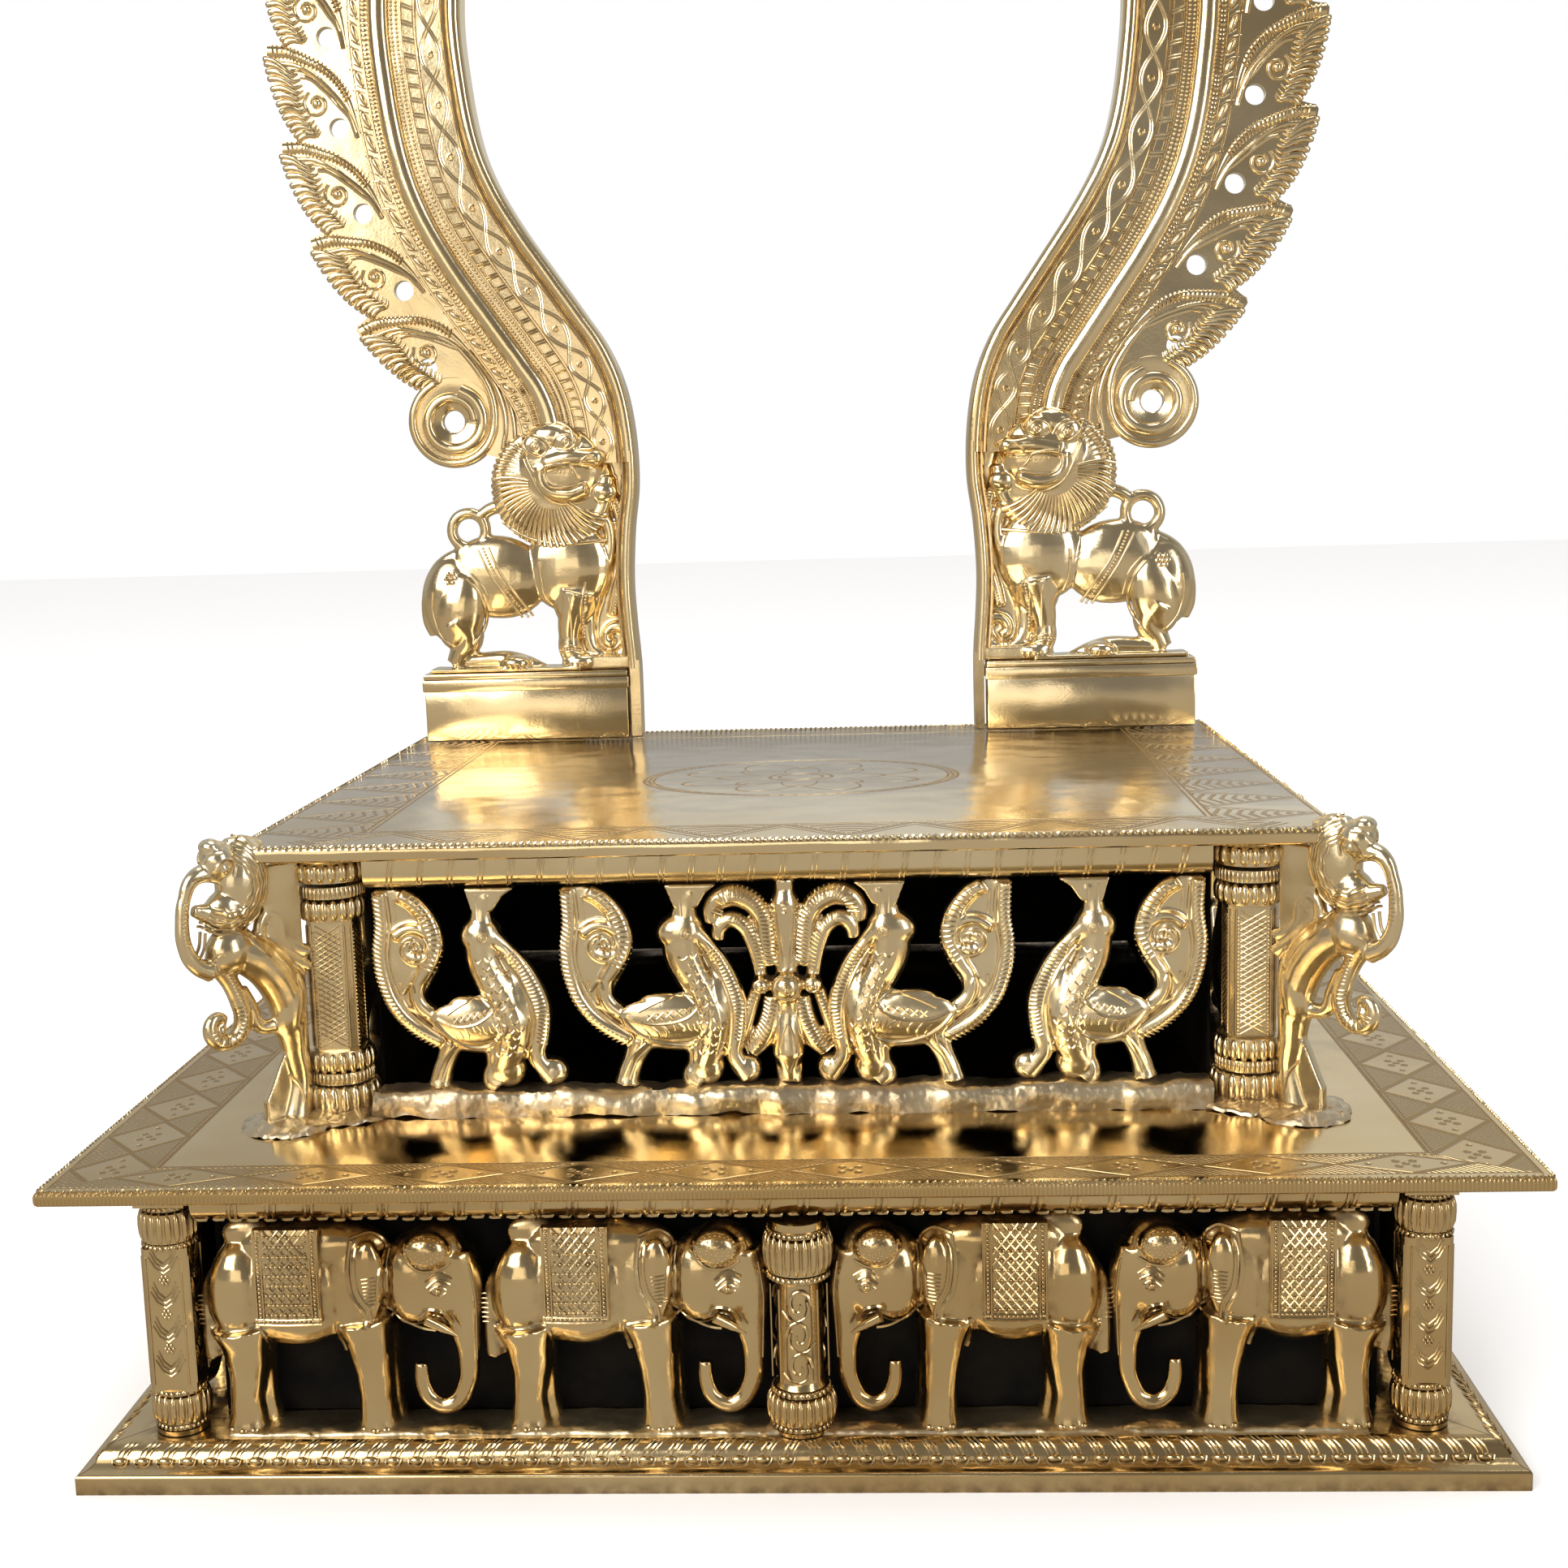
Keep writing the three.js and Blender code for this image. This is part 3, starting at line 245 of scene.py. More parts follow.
def minus(tree, first, second):
    return maths(tree, "SUBTRACT", first, second)


def over(tree, first, second):
    return maths(tree, "DIVIDE", first, second)


def mixColour(tree, share, first, second):
    return addNode(tree, "ShaderNodeMix", {0: share, 6: first, 7: second}, data_type="RGBA").outputs[2]


def ramp(tree, value, low, high):
    node = addNode(tree, "ShaderNodeMapRange", {"Value": value, "From Min": low, "From Max": high})
    return node.outputs["Result"]


def noiseAt(tree, spots, scale, detail=4.0, stretch=None):
    if stretch:
        spots = addNode(tree, "ShaderNodeMapping", {"Vector": spots, "Scale": stretch}).outputs[0]
    return addNode(tree, "ShaderNodeTexNoise", {"Vector": spots, "Scale": scale, "Detail": detail}).outputs["Fac"]


def brass(name, look, engraving=None):
    # Bright metal with slow colour drift, dull patina in the recesses, pits and fine polishing marks.
    material, tree, shader, spots = newFinish(name)
    drift = ramp(tree, noiseAt(tree, spots, look["driftScale"], 3), 0.36, 0.64)
    colour = mixColour(tree, drift, look["light"], look["deep"])
    hollow = addNode(tree, "ShaderNodeAmbientOcclusion", {"Distance": look["hollowReach"]}, samples=8)
    shade = ramp(tree, hollow.outputs["AO"], look["hollowFrom"], look["hollowTo"])
    blotches = ramp(tree, noiseAt(tree, spots, look["blotchScale"], 5), 0.3, 0.62)
    dull = times(tree, times(tree, minus(tree, 1.0, shade), blotches), look["patinaAmount"])
    colour = mixColour(tree, dull, colour, look["patina"])
    pits = addNode(tree, "ShaderNodeTexVoronoi", {"Vector": spots, "Scale": look["pitScale"]})
    pitSize = times(tree, ramp(tree, noiseAt(tree, spots, look["pitPatchScale"], 2), 0.6, 0.8), look["pitSize"])
    pit = maths(tree, "LESS_THAN", pits.outputs["Distance"], pitSize)
    colour = mixColour(tree, times(tree, pit, look["pitTone"]), colour, look["patina"])
    roughness = ramp(tree, noiseAt(tree, spots, look["roughScale"], 4), 0.2, 0.8)
    roughness = maths(tree, "MULTIPLY_ADD", roughness, look["roughSpread"], look["rough"])
    roughness = maths(tree, "ADD", roughness, times(tree, dull, look["dullRough"]))
    soft = noiseAt(tree, spots, look["dentScale"], 2)
    marks = noiseAt(tree, spots, look["markScale"], 3, look["brushed"])
    height = maths(tree, "MULTIPLY_ADD", soft, look["dents"], times(tree, marks, look["marks"]))
    if engraving:
        cut, tone = engraving(tree, spots)
        height = maths(tree, "MULTIPLY_ADD", cut, -look["engravedDepth"], height)
        colour = mixColour(tree, times(tree, tone, look["engravedShare"]), colour, look["engraved"])
        roughness = maths(tree, "MULTIPLY_ADD", tone, look["engravedRough"], roughness)
    height = maths(tree, "MULTIPLY_ADD", pit, -look["pitDepth"], height)
    bump = addNode(tree, "ShaderNodeBump", {"Height": height, "Distance": 0.001, "Strength": look["relief"]})
    tree.links.new(colour, shader.inputs["Base Color"])
    tree.links.new(roughness, shader.inputs["Roughness"])
    tree.links.new(bump.outputs["Normal"], shader.inputs["Normal"])
    shader.inputs["Metallic"].default_value = 1.0
    return material


polishedLook = {
    "light": (0.92, 0.77, 0.50, 1), "deep": (0.82, 0.64, 0.36, 1), "driftScale": 14.0,
    "patina": (0.30, 0.22, 0.13, 1), "patinaAmount": 0.35, "blotchScale": 260.0, "dullRough": 0.35,
    "hollowReach": 0.008, "hollowFrom": 0.3, "hollowTo": 0.8,
    "engraved": (0.38, 0.23, 0.07, 1), "engravedShare": 0.85, "engravedDepth": 0.22, "engravedRough": 0.3,
    "pitScale": 330.0, "pitPatchScale": 90.0, "pitSize": 0.16, "pitTone": 0.6, "pitDepth": 0.05,
    "rough": 0.05, "roughSpread": 0.07, "roughScale": 45.0, "relief": 0.9,
    "dentScale": 26.0, "dents": 1.6, "markScale": 900.0, "marks": 0.012, "brushed": (1, 14, 1),
}
ledgeLook = {**polishedLook, "light": (0.88, 0.69, 0.38, 1), "deep": (0.78, 0.57, 0.27, 1)}
armLook = {
    **polishedLook, "patina": (0.42, 0.27, 0.11, 1), "patinaAmount": 0.85, "hollowReach": 0.0035,
    "rough": 0.13, "roughSpread": 0.12, "dentScale": 40.0, "dents": 0.6, "marks": 0.03, "brushed": (1, 1, 1),
}
castLook = {
    **armLook, "light": (0.95, 0.82, 0.56, 1), "deep": (0.86, 0.70, 0.42, 1), "patina": (0.34, 0.21, 0.08, 1),
    "hollowReach": 0.005, "rough": 0.14, "roughSpread": 0.15, "dents": 0.8,
}
warmLook = {
    **castLook, "light": (0.84, 0.66, 0.37, 1), "deep": (0.66, 0.47, 0.22, 1), "patina": (0.12, 0.065, 0.035, 1),
    "patinaAmount": 1.0, "hollowReach": 0.008, "hollowFrom": 0.35, "hollowTo": 0.9,
    "rough": 0.1, "roughSpread": 0.12,
}
solderLook = {
    **castLook, "light": (0.92, 0.79, 0.52, 1), "deep": (0.64, 0.50, 0.32, 1), "patina": (0.20, 0.15, 0.11, 1),
    "rough": 0.2, "roughSpread": 0.25, "dentScale": 130.0, "dents": 1.6, "marks": 0.1,
}
# Near-black colours of the sheets inside the tiers: painted shade, with random lighter patches.
shadeSheetLook = {
    "black": (0.003, 0.003, 0.003, 1), "lessBlack": (0.012, 0.009, 0.006, 1), "scale": 60.0, "rough": 0.9, "shine": 0.1,
}


def bands(tree, value, pitch, width):  # 1 on lines of a width, repeated at a pitch
    phase = maths(tree, "ABSOLUTE", minus(tree, maths(tree, "FRACT", over(tree, value, pitch)), 0.5))
    return ramp(tree, phase, 0.5 - width / pitch, 0.5 - width / pitch / 2)


def line(tree, value, at, width):
    distance = maths(tree, "ABSOLUTE", minus(tree, value, at))
    return ramp(tree, distance, width, width / 2)


def between(tree, value, low, high):
    return times(tree, maths(tree, "GREATER_THAN", value, low), maths(tree, "LESS_THAN", value, high))


def anyOf(tree, *values):
    total = values[0]
    for value in values[1:]:
        total = maths(tree, "MAXIMUM", total, value)
    return total


def distanceOf(tree, u, v):
    return maths(tree, "SQRT", maths(tree, "ADD", maths(tree, "POWER", u, 2), maths(tree, "POWER", v, 2)))


def dotAt(tree, u, v, radius):  # a punched dot at the origin of (u, v)
    return ramp(tree, distanceOf(tree, u, v), radius * 1.25, radius * 0.75)


def plateBorders(tree, spots, cfg):
    # Places on a plate in mm, and for its side and front borders: the places along and across from the edge,
    # the width, the pitch and where the border lies.
    parts = addNode(tree, "ShaderNodeSeparateXYZ", {0: spots}).outputs
    x, y = times(tree, parts[0], 1000.0), times(tree, parts[1], 1000.0)
    fromSide = minus(tree, cfg["width"] / 2, maths(tree, "ABSOLUTE", x))
    fromFront = minus(tree, cfg["depth"] / 2, maths(tree, "ABSOLUTE", y))
    atSide = maths(tree, "LESS_THAN", over(tree, fromSide, cfg["sideBorder"]),
                   over(tree, fromFront, cfg["frontBorder"]))
    return x, y, (
        (y, fromSide, cfg["sideBorder"], cfg["sidePitch"], atSide),
        (x, fromFront, cfg["frontBorder"], cfg["frontPitch"], minus(tree, 1.0, atSide)),
    )


ledgeEngraving = {
    "width": 380.0, "depth": 324.0, "sideBorder": 26.0, "frontBorder": 17.5, "rim": 3.0, "sidePitch": 26.5,
    "frontPitch": 34.7, "petalX": 3.0, "petalY": 2.6, "groundTone": 0.3,
}


def engraveLedge(tree, spots):
    cfg = ledgeEngraving
    cuts, tones = [], []
    for along, across, border, pitch, mask in plateBorders(tree, spots, cfg)[2]:
        inBorder = times(tree, mask, between(tree, across, cfg["rim"], border))
        half = (border - cfg["rim"]) / 2
        middle = cfg["rim"] + half
        phase = minus(tree, maths(tree, "FRACT", over(tree, along, pitch)), 0.5)
        u = times(tree, phase, pitch)
        v = minus(tree, across, middle)
        diamond = maths(tree, "ADD", over(tree, maths(tree, "ABSOLUTE", u), pitch / 2),
                        over(tree, maths(tree, "ABSOLUTE", v), half))
        outline = line(tree, diamond, 0.98, 0.13)
        hatchMask = maths(tree, "GREATER_THAN", diamond, 1.05)
        hatch = times(tree, hatchMask, bands(tree, maths(tree, "ADD", u, v), 1.7, 0.8))
        petals = dotAt(tree, u, v, 1.0)
        for petal in range(4):
            angle = quarter / 2 + petal * quarter
            du = minus(tree, u, cfg["petalX"] * math.cos(angle))
            dv = minus(tree, v, cfg["petalY"] * math.sin(angle))
            petals = maths(tree, "MAXIMUM", petals, dotAt(tree, du, dv, 1.0))
        for side in (-1, 1):
            du = minus(tree, u, side * pitch * 0.27)
            petals = maths(tree, "MAXIMUM", petals, dotAt(tree, du, v, 0.8))
        everything = anyOf(tree, outline, times(tree, hatch, 0.75), petals)
        cuts.append(times(tree, everything, inBorder))
        fillets = anyOf(tree, line(tree, across, border + 0.5, 0.5), line(tree, across, border - 1.0, 0.35),
                        line(tree, across, cfg["rim"], 0.4))
        cuts.append(times(tree, fillets, mask))
        knurl = times(tree, bands(tree, along, 1.05, 0.6), maths(tree, "LESS_THAN", across, 0.6))
        cuts.append(times(tree, times(tree, knurl, 0.5), mask))
        tones.append(times(tree, inBorder, cfg["groundTone"]))
    cut = anyOf(tree, *cuts)
    return cut, anyOf(tree, cut, *tones)


seatEngraving = {
    "width": 296.0, "depth": 236.0, "sideBorder": 31.0, "frontBorder": 21.0, "rim": 3.0, "sidePitch": 27.0,
    "frontPitch": 36.0, "medallion": (1.5, -8.0, 50.0, 38.0),
}


def engraveSeat(tree, spots):
    cfg = seatEngraving
    cuts = []
    x, y, borders = plateBorders(tree, spots, cfg)
    for along, across, border, pitch, mask in borders:
        inBorder = times(tree, mask, between(tree, across, cfg["rim"], border))
        phase = maths(tree, "FRACT", over(tree, along, pitch))
        wave = maths(tree, "ABSOLUTE", minus(tree, phase, 0.5))  # 0 at the peak, 0.5 at the foot
        rise = times(tree, wave, 2.0 * (border - cfg["rim"]))
        gap = minus(tree, minus(tree, across, cfg["rim"]), rise)
        zigzag = anyOf(tree, line(tree, gap, 0.0, 0.8), times(tree, line(tree, gap, 2.2, 0.8),
                       bands(tree, along, 1.3, 0.7)), line(tree, gap, -3.0, 0.6))
        leaf = times(tree, maths(tree, "GREATER_THAN", gap, 4.0),
                     bands(tree, maths(tree, "ADD", across, times(tree, wave, 9.0)), 3.4, 0.9))
        cuts.append(times(tree, anyOf(tree, zigzag, times(tree, leaf, 0.8)), inBorder))
        dots = times(tree, line(tree, across, cfg["rim"] - 0.6, 0.5), bands(tree, along, 1.5, 0.9))
        fillets = anyOf(tree, line(tree, across, border, 0.45), line(tree, across, border + 1.6, 0.45), dots)
        cuts.append(times(tree, fillets, mask))
    middleX, middleY, radiusX, radiusY = cfg["medallion"]
    u = over(tree, minus(tree, x, middleX), radiusX)
    v = over(tree, minus(tree, y, middleY), radiusY)
    radius = distanceOf(tree, u, v)
    angle = maths(tree, "ARCTAN2", v, u)
    petals = maths(tree, "ABSOLUTE", maths(tree, "SINE", times(tree, angle, 4.0)))
    inner = maths(tree, "ABSOLUTE", maths(tree, "COSINE", times(tree, angle, 4.0)))
    flower = anyOf(
        tree,
        line(tree, radius, 1.0, 0.012), line(tree, radius, 0.94, 0.01),
        times(tree, line(tree, radius, 0.97, 0.015), bands(tree, angle, 0.09, 0.05)),
        line(tree, minus(tree, radius, maths(tree, "MULTIPLY_ADD", petals, 0.34, 0.45)), 0.0, 0.016),
        line(tree, minus(tree, radius, maths(tree, "MULTIPLY_ADD", inner, 0.25, 0.28)), 0.0, 0.014),
        line(tree, radius, 0.2, 0.014), line(tree, radius, 0.14, 0.012),
    )
    cuts.append(flower)
    cut = anyOf(tree, *cuts)
    return cut, cut


def paintedShadeSheets(name, look):
    # A near-black matt finish with random lighter patches: painted shade for the dark inside of the tiers.
    material, tree, shader, spots = newFinish(name)
    mottle = ramp(tree, noiseAt(tree, spots, look["scale"], 6), 0.35, 0.75)
    bump = addNode(tree, "ShaderNodeBump", {"Height": mottle, "Distance": 0.0005})
    tree.links.new(mixColour(tree, mottle, look["black"], look["lessBlack"]), shader.inputs["Base Color"])
    tree.links.new(bump.outputs["Normal"], shader.inputs["Normal"])
    shader.inputs["Roughness"].default_value = look["rough"]
    shader.inputs["Specular IOR Level"].default_value = look["shine"]
    return material


seatBrass = brass("seatBrass", polishedLook, engraveSeat)
ledgeBrass = brass("ledgeBrass", ledgeLook, engraveLedge)
armBrass = brass("armBrass", armLook)
castBrass = brass("castBrass", castLook)
warmBrass = brass("warmBrass", warmLook)
solderBrass = brass("solderBrass", solderLook)
shadeSheetFinish = paintedShadeSheets("shadeSheetFinish", shadeSheetLook)
report("finishes made")

# Carried CAD nodes get their finish here; most of the others are replaced by finer pieces below.
# The three liner nodes get the near-black finish: painted shade behind the elephants, where the inside is only
# dark.
for nodeName, finish in {
    "floor_plate": warmBrass, "liner_front": shadeSheetFinish, "liner_left": shadeSheetFinish, "liner_right": shadeSheetFinish,
    "lower_back_panel": warmBrass, "upper_back_panel": warmBrass,
}.items():
    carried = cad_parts[nodeName]
    carried.data.materials.clear()
    carried.data.materials.append(finish)

# Seat and ledge plates with a rope-cut rim

seatPlate = {"rimPitch": 1.9, "rimRadius": 0.95, "round": 1.2}
ledgePlate = {"rimPitch": 1.9, "rimRadius": 0.85, "round": 1.4}


def addPlate(name, node, values, material):
    low, high = nodeBox(node)
    size = high - low
    middle = (low + high) / 2
    bm = bmesh.new()
    bmesh.ops.create_cube(bm, size=1, matrix=Matrix.Translation(middle) @ grow(*size))
    rim = [edge for edge in bm.edges if abs(edge.verts[0].co.z - edge.verts[1].co.z) < 0.01]
    bmesh.ops.bevel(bm, geom=rim, offset=values["round"], segments=3, affect="EDGES", profile=0.5, material=-1)
    radius = values["rimRadius"]
    twist = bead(1, (radius * 1.35, radius * 0.62, radius * 0.8))
    for side in range(4):
        turn = Matrix.Rotation(side * quarter, 4, "Z")
        length, reach = (size.x, size.y) if side % 2 == 0 else (size.y, size.x)
        count = int((length - 2 * radius) / values["rimPitch"])
        for i in range(count):
            along = (i + 0.5 - count / 2) * values["rimPitch"]
            lean = 0.65 + random.uniform(-0.2, 0.2)
            spot = move(along, -reach / 2 + radius * 0.62, size.z / 2 - radius * 0.5)
            place = Matrix.Translation(middle) @ turn @ spot @ Matrix.Rotation(lean, 4, "Z")
            stamp(bm, twist, place @ Matrix.Rotation(-0.5, 4, "Y"))
    finishPiece(name, bake(bm, name), material, "base", [node], 30)


addPlate("seat", "seat_plate", seatPlate, seatBrass)
addPlate("ledge", "ledge_plate", ledgePlate, ledgeBrass)
report("plates made")

# Sweeping and turning

def barMesh(outline, length, cuts=0):  # an outline of (y, z) corners, swept along X about the middle
    bm = bmesh.new()
    face = bm.faces.new([bm.verts.new((-length / 2, y, z)) for y, z in outline])
    pulled(bm, [face], (length, 0, 0))
    if cuts:
        long = [edge for edge in bm.edges if abs(edge.verts[0].co.x - edge.verts[1].co.x) > length / 2]
        bmesh.ops.subdivide_edges(bm, edges=long, cuts=cuts, use_grid_fill=True)
    return bm


def turned(bm, outline, steps=32):  # an outline of (radius, height) corners, spun about the upright axis
    part = bmesh.new()
    spots = [part.verts.new((radius, 0, height)) for radius, height in outline]
    edges = [part.edges.new(pair) for pair in zip(spots, spots[1:])]
    bmesh.ops.spin(part, geom=spots + edges, cent=(0, 0, 0), axis=(0, 0, 1), angle=2 * math.pi, steps=steps,
                   use_merge=True)
    bmesh.ops.remove_doubles(part, verts=part.verts, dist=0.001)
    stamp(bm, bake(part))


def ringOf(bm, shape, count, radius, height, tilt=0.0):
    for i in range(count):
        place = Matrix.Rotation(2 * math.pi * i / count, 4, "Z") @ move(radius, 0, height)
        stamp(bm, shape, place @ Matrix.Rotation(tilt, 4, "X"))


def roughen(bm, depth, size):
    for vertex in bm.verts:
        spot = vertex.co / size
        vertex.co += Vector((noise.noise(spot), noise.noise(spot + Vector((9, 0, 0))),
                             noise.noise(spot + Vector((0, 9, 0))))) * depth


tiers = {
    "lowerX": 165.0, "lowerY": 137.0, "lowerStand": 11.3,
    "upperX": 127.0, "upperY": 97.0, "upperStand": 86.8, "friezeOut": 4.0,
    "seatTop": 166.0,
}
sides = {  # how a piece made for the front is turned to each side
    "front": Matrix.Identity(4), "left": Matrix.Rotation(-quarter, 4, "Z"),
    "right": Matrix.Rotation(quarter, 4, "Z"), "back": Matrix.Rotation(math.pi, 4, "Z"),
}


def around(tier, front, side):  # (side, distance out, value) for the three dressed sides of a tier
    across = tiers[tier + "X"]
    return ("front", tiers[tier + "Y"], front), ("left", across, side), ("right", across, side)


# Plinth: petal strokes, scallops, a hollow and a plain fascia

plinth = {
    "width": 378.0, "depth": 308.0, "petalPitch": 6.1,
    "outline": [(0, 0), (28, 0), (28, 8.2), (21, 8.2), (21, 11), (9.4, 11), (8.2, 10.9), (6.9, 10.3), (5.7, 9.4),
                (4.8, 8.4), (4.4, 7.6), (4.2, 6.9), (3.9, 6.8), (3.4, 6.4), (2.6, 5.9), (1.8, 5.5), (1.1, 5.35),
                (0.5, 5.2), (0.15, 4.9), (0, 4.5)],
}


def petalShape():
    bm = bmesh.new()
    for shift, thickness in ((-0.9, 0.36), (0.5, 0.5), (1.7, 0.3)):
        tubes(bm, [[(shift + 2.3, 8.9, 10.9, 0.1), (shift + 0.9, 7.3, 10.6, thickness),
                    (shift - 0.6, 5.7, 9.5, thickness), (shift - 1.3, 4.7, 8.1, 0.12)]], 2, 3)
    bmesh.ops.create_icosphere(bm, subdivisions=2, radius=1, matrix=move(-1.3, 4.1, 7.3)
                               @ grow(2.2, 1.0, 1.15))
    tubes(bm, [[(-3.6, 4.0, 7.9, 0.25), (-3.1, 3.3, 6.5, 0.3), (-1.3, 2.9, 5.95, 0.32), (0.5, 3.3, 6.5, 0.3),
                (1.0, 4.0, 7.9, 0.25)]], 2, 2)
    return bake(bm)


def addPlinth():
    petal = petalShape()
    for side, length, reach in (("front", plinth["width"], plinth["depth"]),
                                ("back", plinth["width"], plinth["depth"]),
                                ("left", plinth["depth"], plinth["width"]),
                                ("right", plinth["depth"], plinth["width"])):
        bm = barMesh(plinth["outline"], length)
        for vertex in bm.verts:
            vertex.co.x = math.copysign(length / 2 - vertex.co.y - 0.15, vertex.co.x)
        count = int((length - 14) / plinth["petalPitch"])
        for i in range(count):
            along = (i + 0.5 - count / 2) * plinth["petalPitch"]
            wobble = random.uniform(0.92, 1.06)
            mirror = grow(-wobble if along > 2 else wobble, 1, 1)
            stamp(bm, petal, move(along, 0, 0) @ mirror)
        place = sides[side] @ move(0, -reach / 2, 0)
        bar = bake(bm)
        bar.transform(place)
        finishPiece("plinth" + side.capitalize(), bar, warmBrass, "base", ["plinth_" + side], 35)


addPlinth()


# Brazed strips and sills under the figures
brazing = {
    "lowerFront": 300.0, "lowerSide": 246.0, "lowerLow": 10.6, "lowerWidth": 14.5, "lowerHeight": 2.0,
    "upperFront": 231.4, "upperSide": 171.4, "upperLow": 86.5, "upperWidth": 11.6, "upperHeight": 7.2,
}


def addBrazing(tier, name, nodes, out):
    low, height, half = (brazing[tier + key] for key in ("Low", "Height", "Width"))
    half /= 2
    for side, reach, length in around(tier, brazing[tier + "Front"], brazing[tier + "Side"]):
        bm = barMesh([(-half, low), (half, low), (half, low + height * 0.55), (half * 0.72, low + height),
                      (0, low + height * 1.08), (-half * 0.72, low + height), (-half, low + height * 0.6)],
                     length, int(length / 1.3))
        edges = [edge for edge in bm.edges if abs(edge.verts[0].co.x - edge.verts[1].co.x) < 0.01]
        bmesh.ops.subdivide_edges(bm, edges=edges, cuts=1, use_grid_fill=True)
        roughen(bm, height * 0.2, 9.0)
        roughen(bm, height * 0.07, 2.6)
        mesh = bake(bm)
        mesh.transform(sides[side] @ move(0, -reach - out, 0))
        finishPiece(name + side.capitalize(), mesh, solderBrass, "base", [node + side for node in nodes], 70)


addBrazing("lower", "strip", [], 0.0)
addBrazing("upper", "sill", ["upper_sill_"], tiers["friezeOut"])

# Rough solder round the feet of the upper front pillars and of the beasts
solder = {"height": 2.4, "reach": 16.5, "lumps": 1.1, "feet": ((127.0, -97.0, 1.0), (139.0, -110.0, 0.8))}


def addSolder(side, sign):
    both = bmesh.new()
    height, lumps = solder["height"], solder["lumps"]
    for x, y, share in solder["feet"]:
        reach = solder["reach"] * share
        bm = bmesh.new()
        turned(bm, [(0, -0.2), (reach, -0.2), (reach - 0.6, 0.8), (reach * 0.84, height * 0.6),
                    (reach * 0.66, height), (0, height)], 40)
        bmesh.ops.subdivide_edges(bm, edges=bm.edges[:], cuts=1, use_grid_fill=True)
        bmesh.ops.translate(bm, vec=(sign * x, y, tiers["upperStand"]), verts=bm.verts)
        roughen(bm, lumps, 4.5)
        roughen(bm, lumps * 0.5, 1.7)
        for vertex in bm.verts:
            vertex.co.z = max(vertex.co.z, tiers["upperStand"] - 0.4)
        bmesh.ops.triangulate(bm, faces=[face for face in bm.faces if len(face.verts) > 4])
        both.from_mesh(bake(bm))
    finishPiece("solder" + side, bake(both), solderBrass, "base", [], 70)


addSolder("Left", -1)
addSolder("Right", 1)

# Near-black sheets of painted shade stand behind the swans of the sides and in front of the back panel, keeping the
# inside of the upper tier dark.
upperShadeSheet = {"x": 118.0, "front": -88.0, "back": 93.5, "low": 86.7, "high": 161.4, "thick": 0.8}


def addShadeSheet():
    values = upperShadeSheet
    bm = bmesh.new()
    spots = [bm.verts.new((x * values["x"], values[y], values["low"]))
             for x, y in ((-1, "front"), (-1, "back"), (1, "back"), (1, "front"))]
    edges = [bm.edges.new(pair) for pair in zip(spots, spots[1:])]
    risen = verticesOf(bmesh.ops.extrude_edge_only(bm, edges=edges))
    bmesh.ops.translate(bm, vec=(0, 0, values["high"] - values["low"]), verts=risen)
    bmesh.ops.recalc_face_normals(bm, faces=bm.faces)
    bmesh.ops.solidify(bm, geom=bm.faces[:], thickness=values["thick"])
    finishPiece("upperShadeSheet", bake(bm), shadeSheetFinish, "base", [])


addShadeSheet()
report("plinth, sills and lining made")

# Rails with slanted double rings

lowerRail = {
    "front": 313.4, "side": 257.4, "low": 69.9, "depth": 14.0, "height": 12.0, "pitch": 10.0, "ring": 0.62,
    "spread": 1.7, "beadPitch": 4.6,
}
upperRail = {
    "front": 231.4, "side": 171.4, "low": 151.3, "depth": 10.0, "height": 10.0, "pitch": 8.3, "ring": 0.3,
    "spread": 1.2, "beadPitch": None,
}


def addRail(name, node, values, length, place, material):
    half, height = values["depth"] / 2, values["height"]
    roundTop = 0.55 * height
    arc = [(-half * math.cos(a * quarter / 6), roundTop - roundTop * math.sin(a * quarter / 6)) for a in range(7)]
    outline = [(-half, height), *arc, *[(-y, z) for y, z in reversed(arc[:-1])], (half, height)]
    bm = barMesh(outline, length)
    ring = bmesh.new()
    for shift in (-0.5, 0.5):
        path = [((z / height - 0.5) * 1.9 + shift * values["spread"], y * 1.01, z - 0.02, values["ring"])
                for y, z in [(-half, height - 0.2), (-half, height * 0.75), *arc[::2], (half * 0.5, 0.8)]]
        tubes(ring, [path], 3, 2)
    groove = bake(ring)
    count = int((length - 4) / values["pitch"])
    for i in range(count):
        along = (i + 0.5 - count / 2) * values["pitch"] + random.uniform(-0.25, 0.25)
        stamp(bm, groove, move(along, 0, 0))
    if values["beadPitch"]:
        drop = bead(1, (2.0, 0.9, 0.8))
        for i in range(int(length / values["beadPitch"])):
            along = (i + 0.5) * values["beadPitch"] - length / 2
            if abs(along) < length / 2 - 2:
                stamp(bm, drop, move(along, -half * 0.62, 1.1 + random.uniform(-0.25, 0.25)))
    mesh = bake(bm)
    mesh.transform(place)
    finishPiece(name, mesh, material, "base", [node])


for tier, rail, out, metal, slotName in (("lower", lowerRail, 0.0, warmBrass, "warm_brass"),
                                         ("upper", upperRail, tiers["friezeOut"], castBrass, "cast_brass")):
    for side, reach, length in around(tier, rail["front"], rail["side"]):
        addRail(f"{tier}Rail{side.capitalize()}", f"{tier}_rail_{side}", rail, length,
                sides[side] @ move(0, -reach - out, rail["low"]), metal)
report("rails made")

# Pillars

lowerPillar = {"shaft": 12.4, "chamfer": 1.3, "from": 13.2, "to": 51.2, "lobes": 20}
upperPillar = {"shaft": 12.9, "chamfer": 2.1, "from": 19.0, "to": 55.2, "lobes": 20}


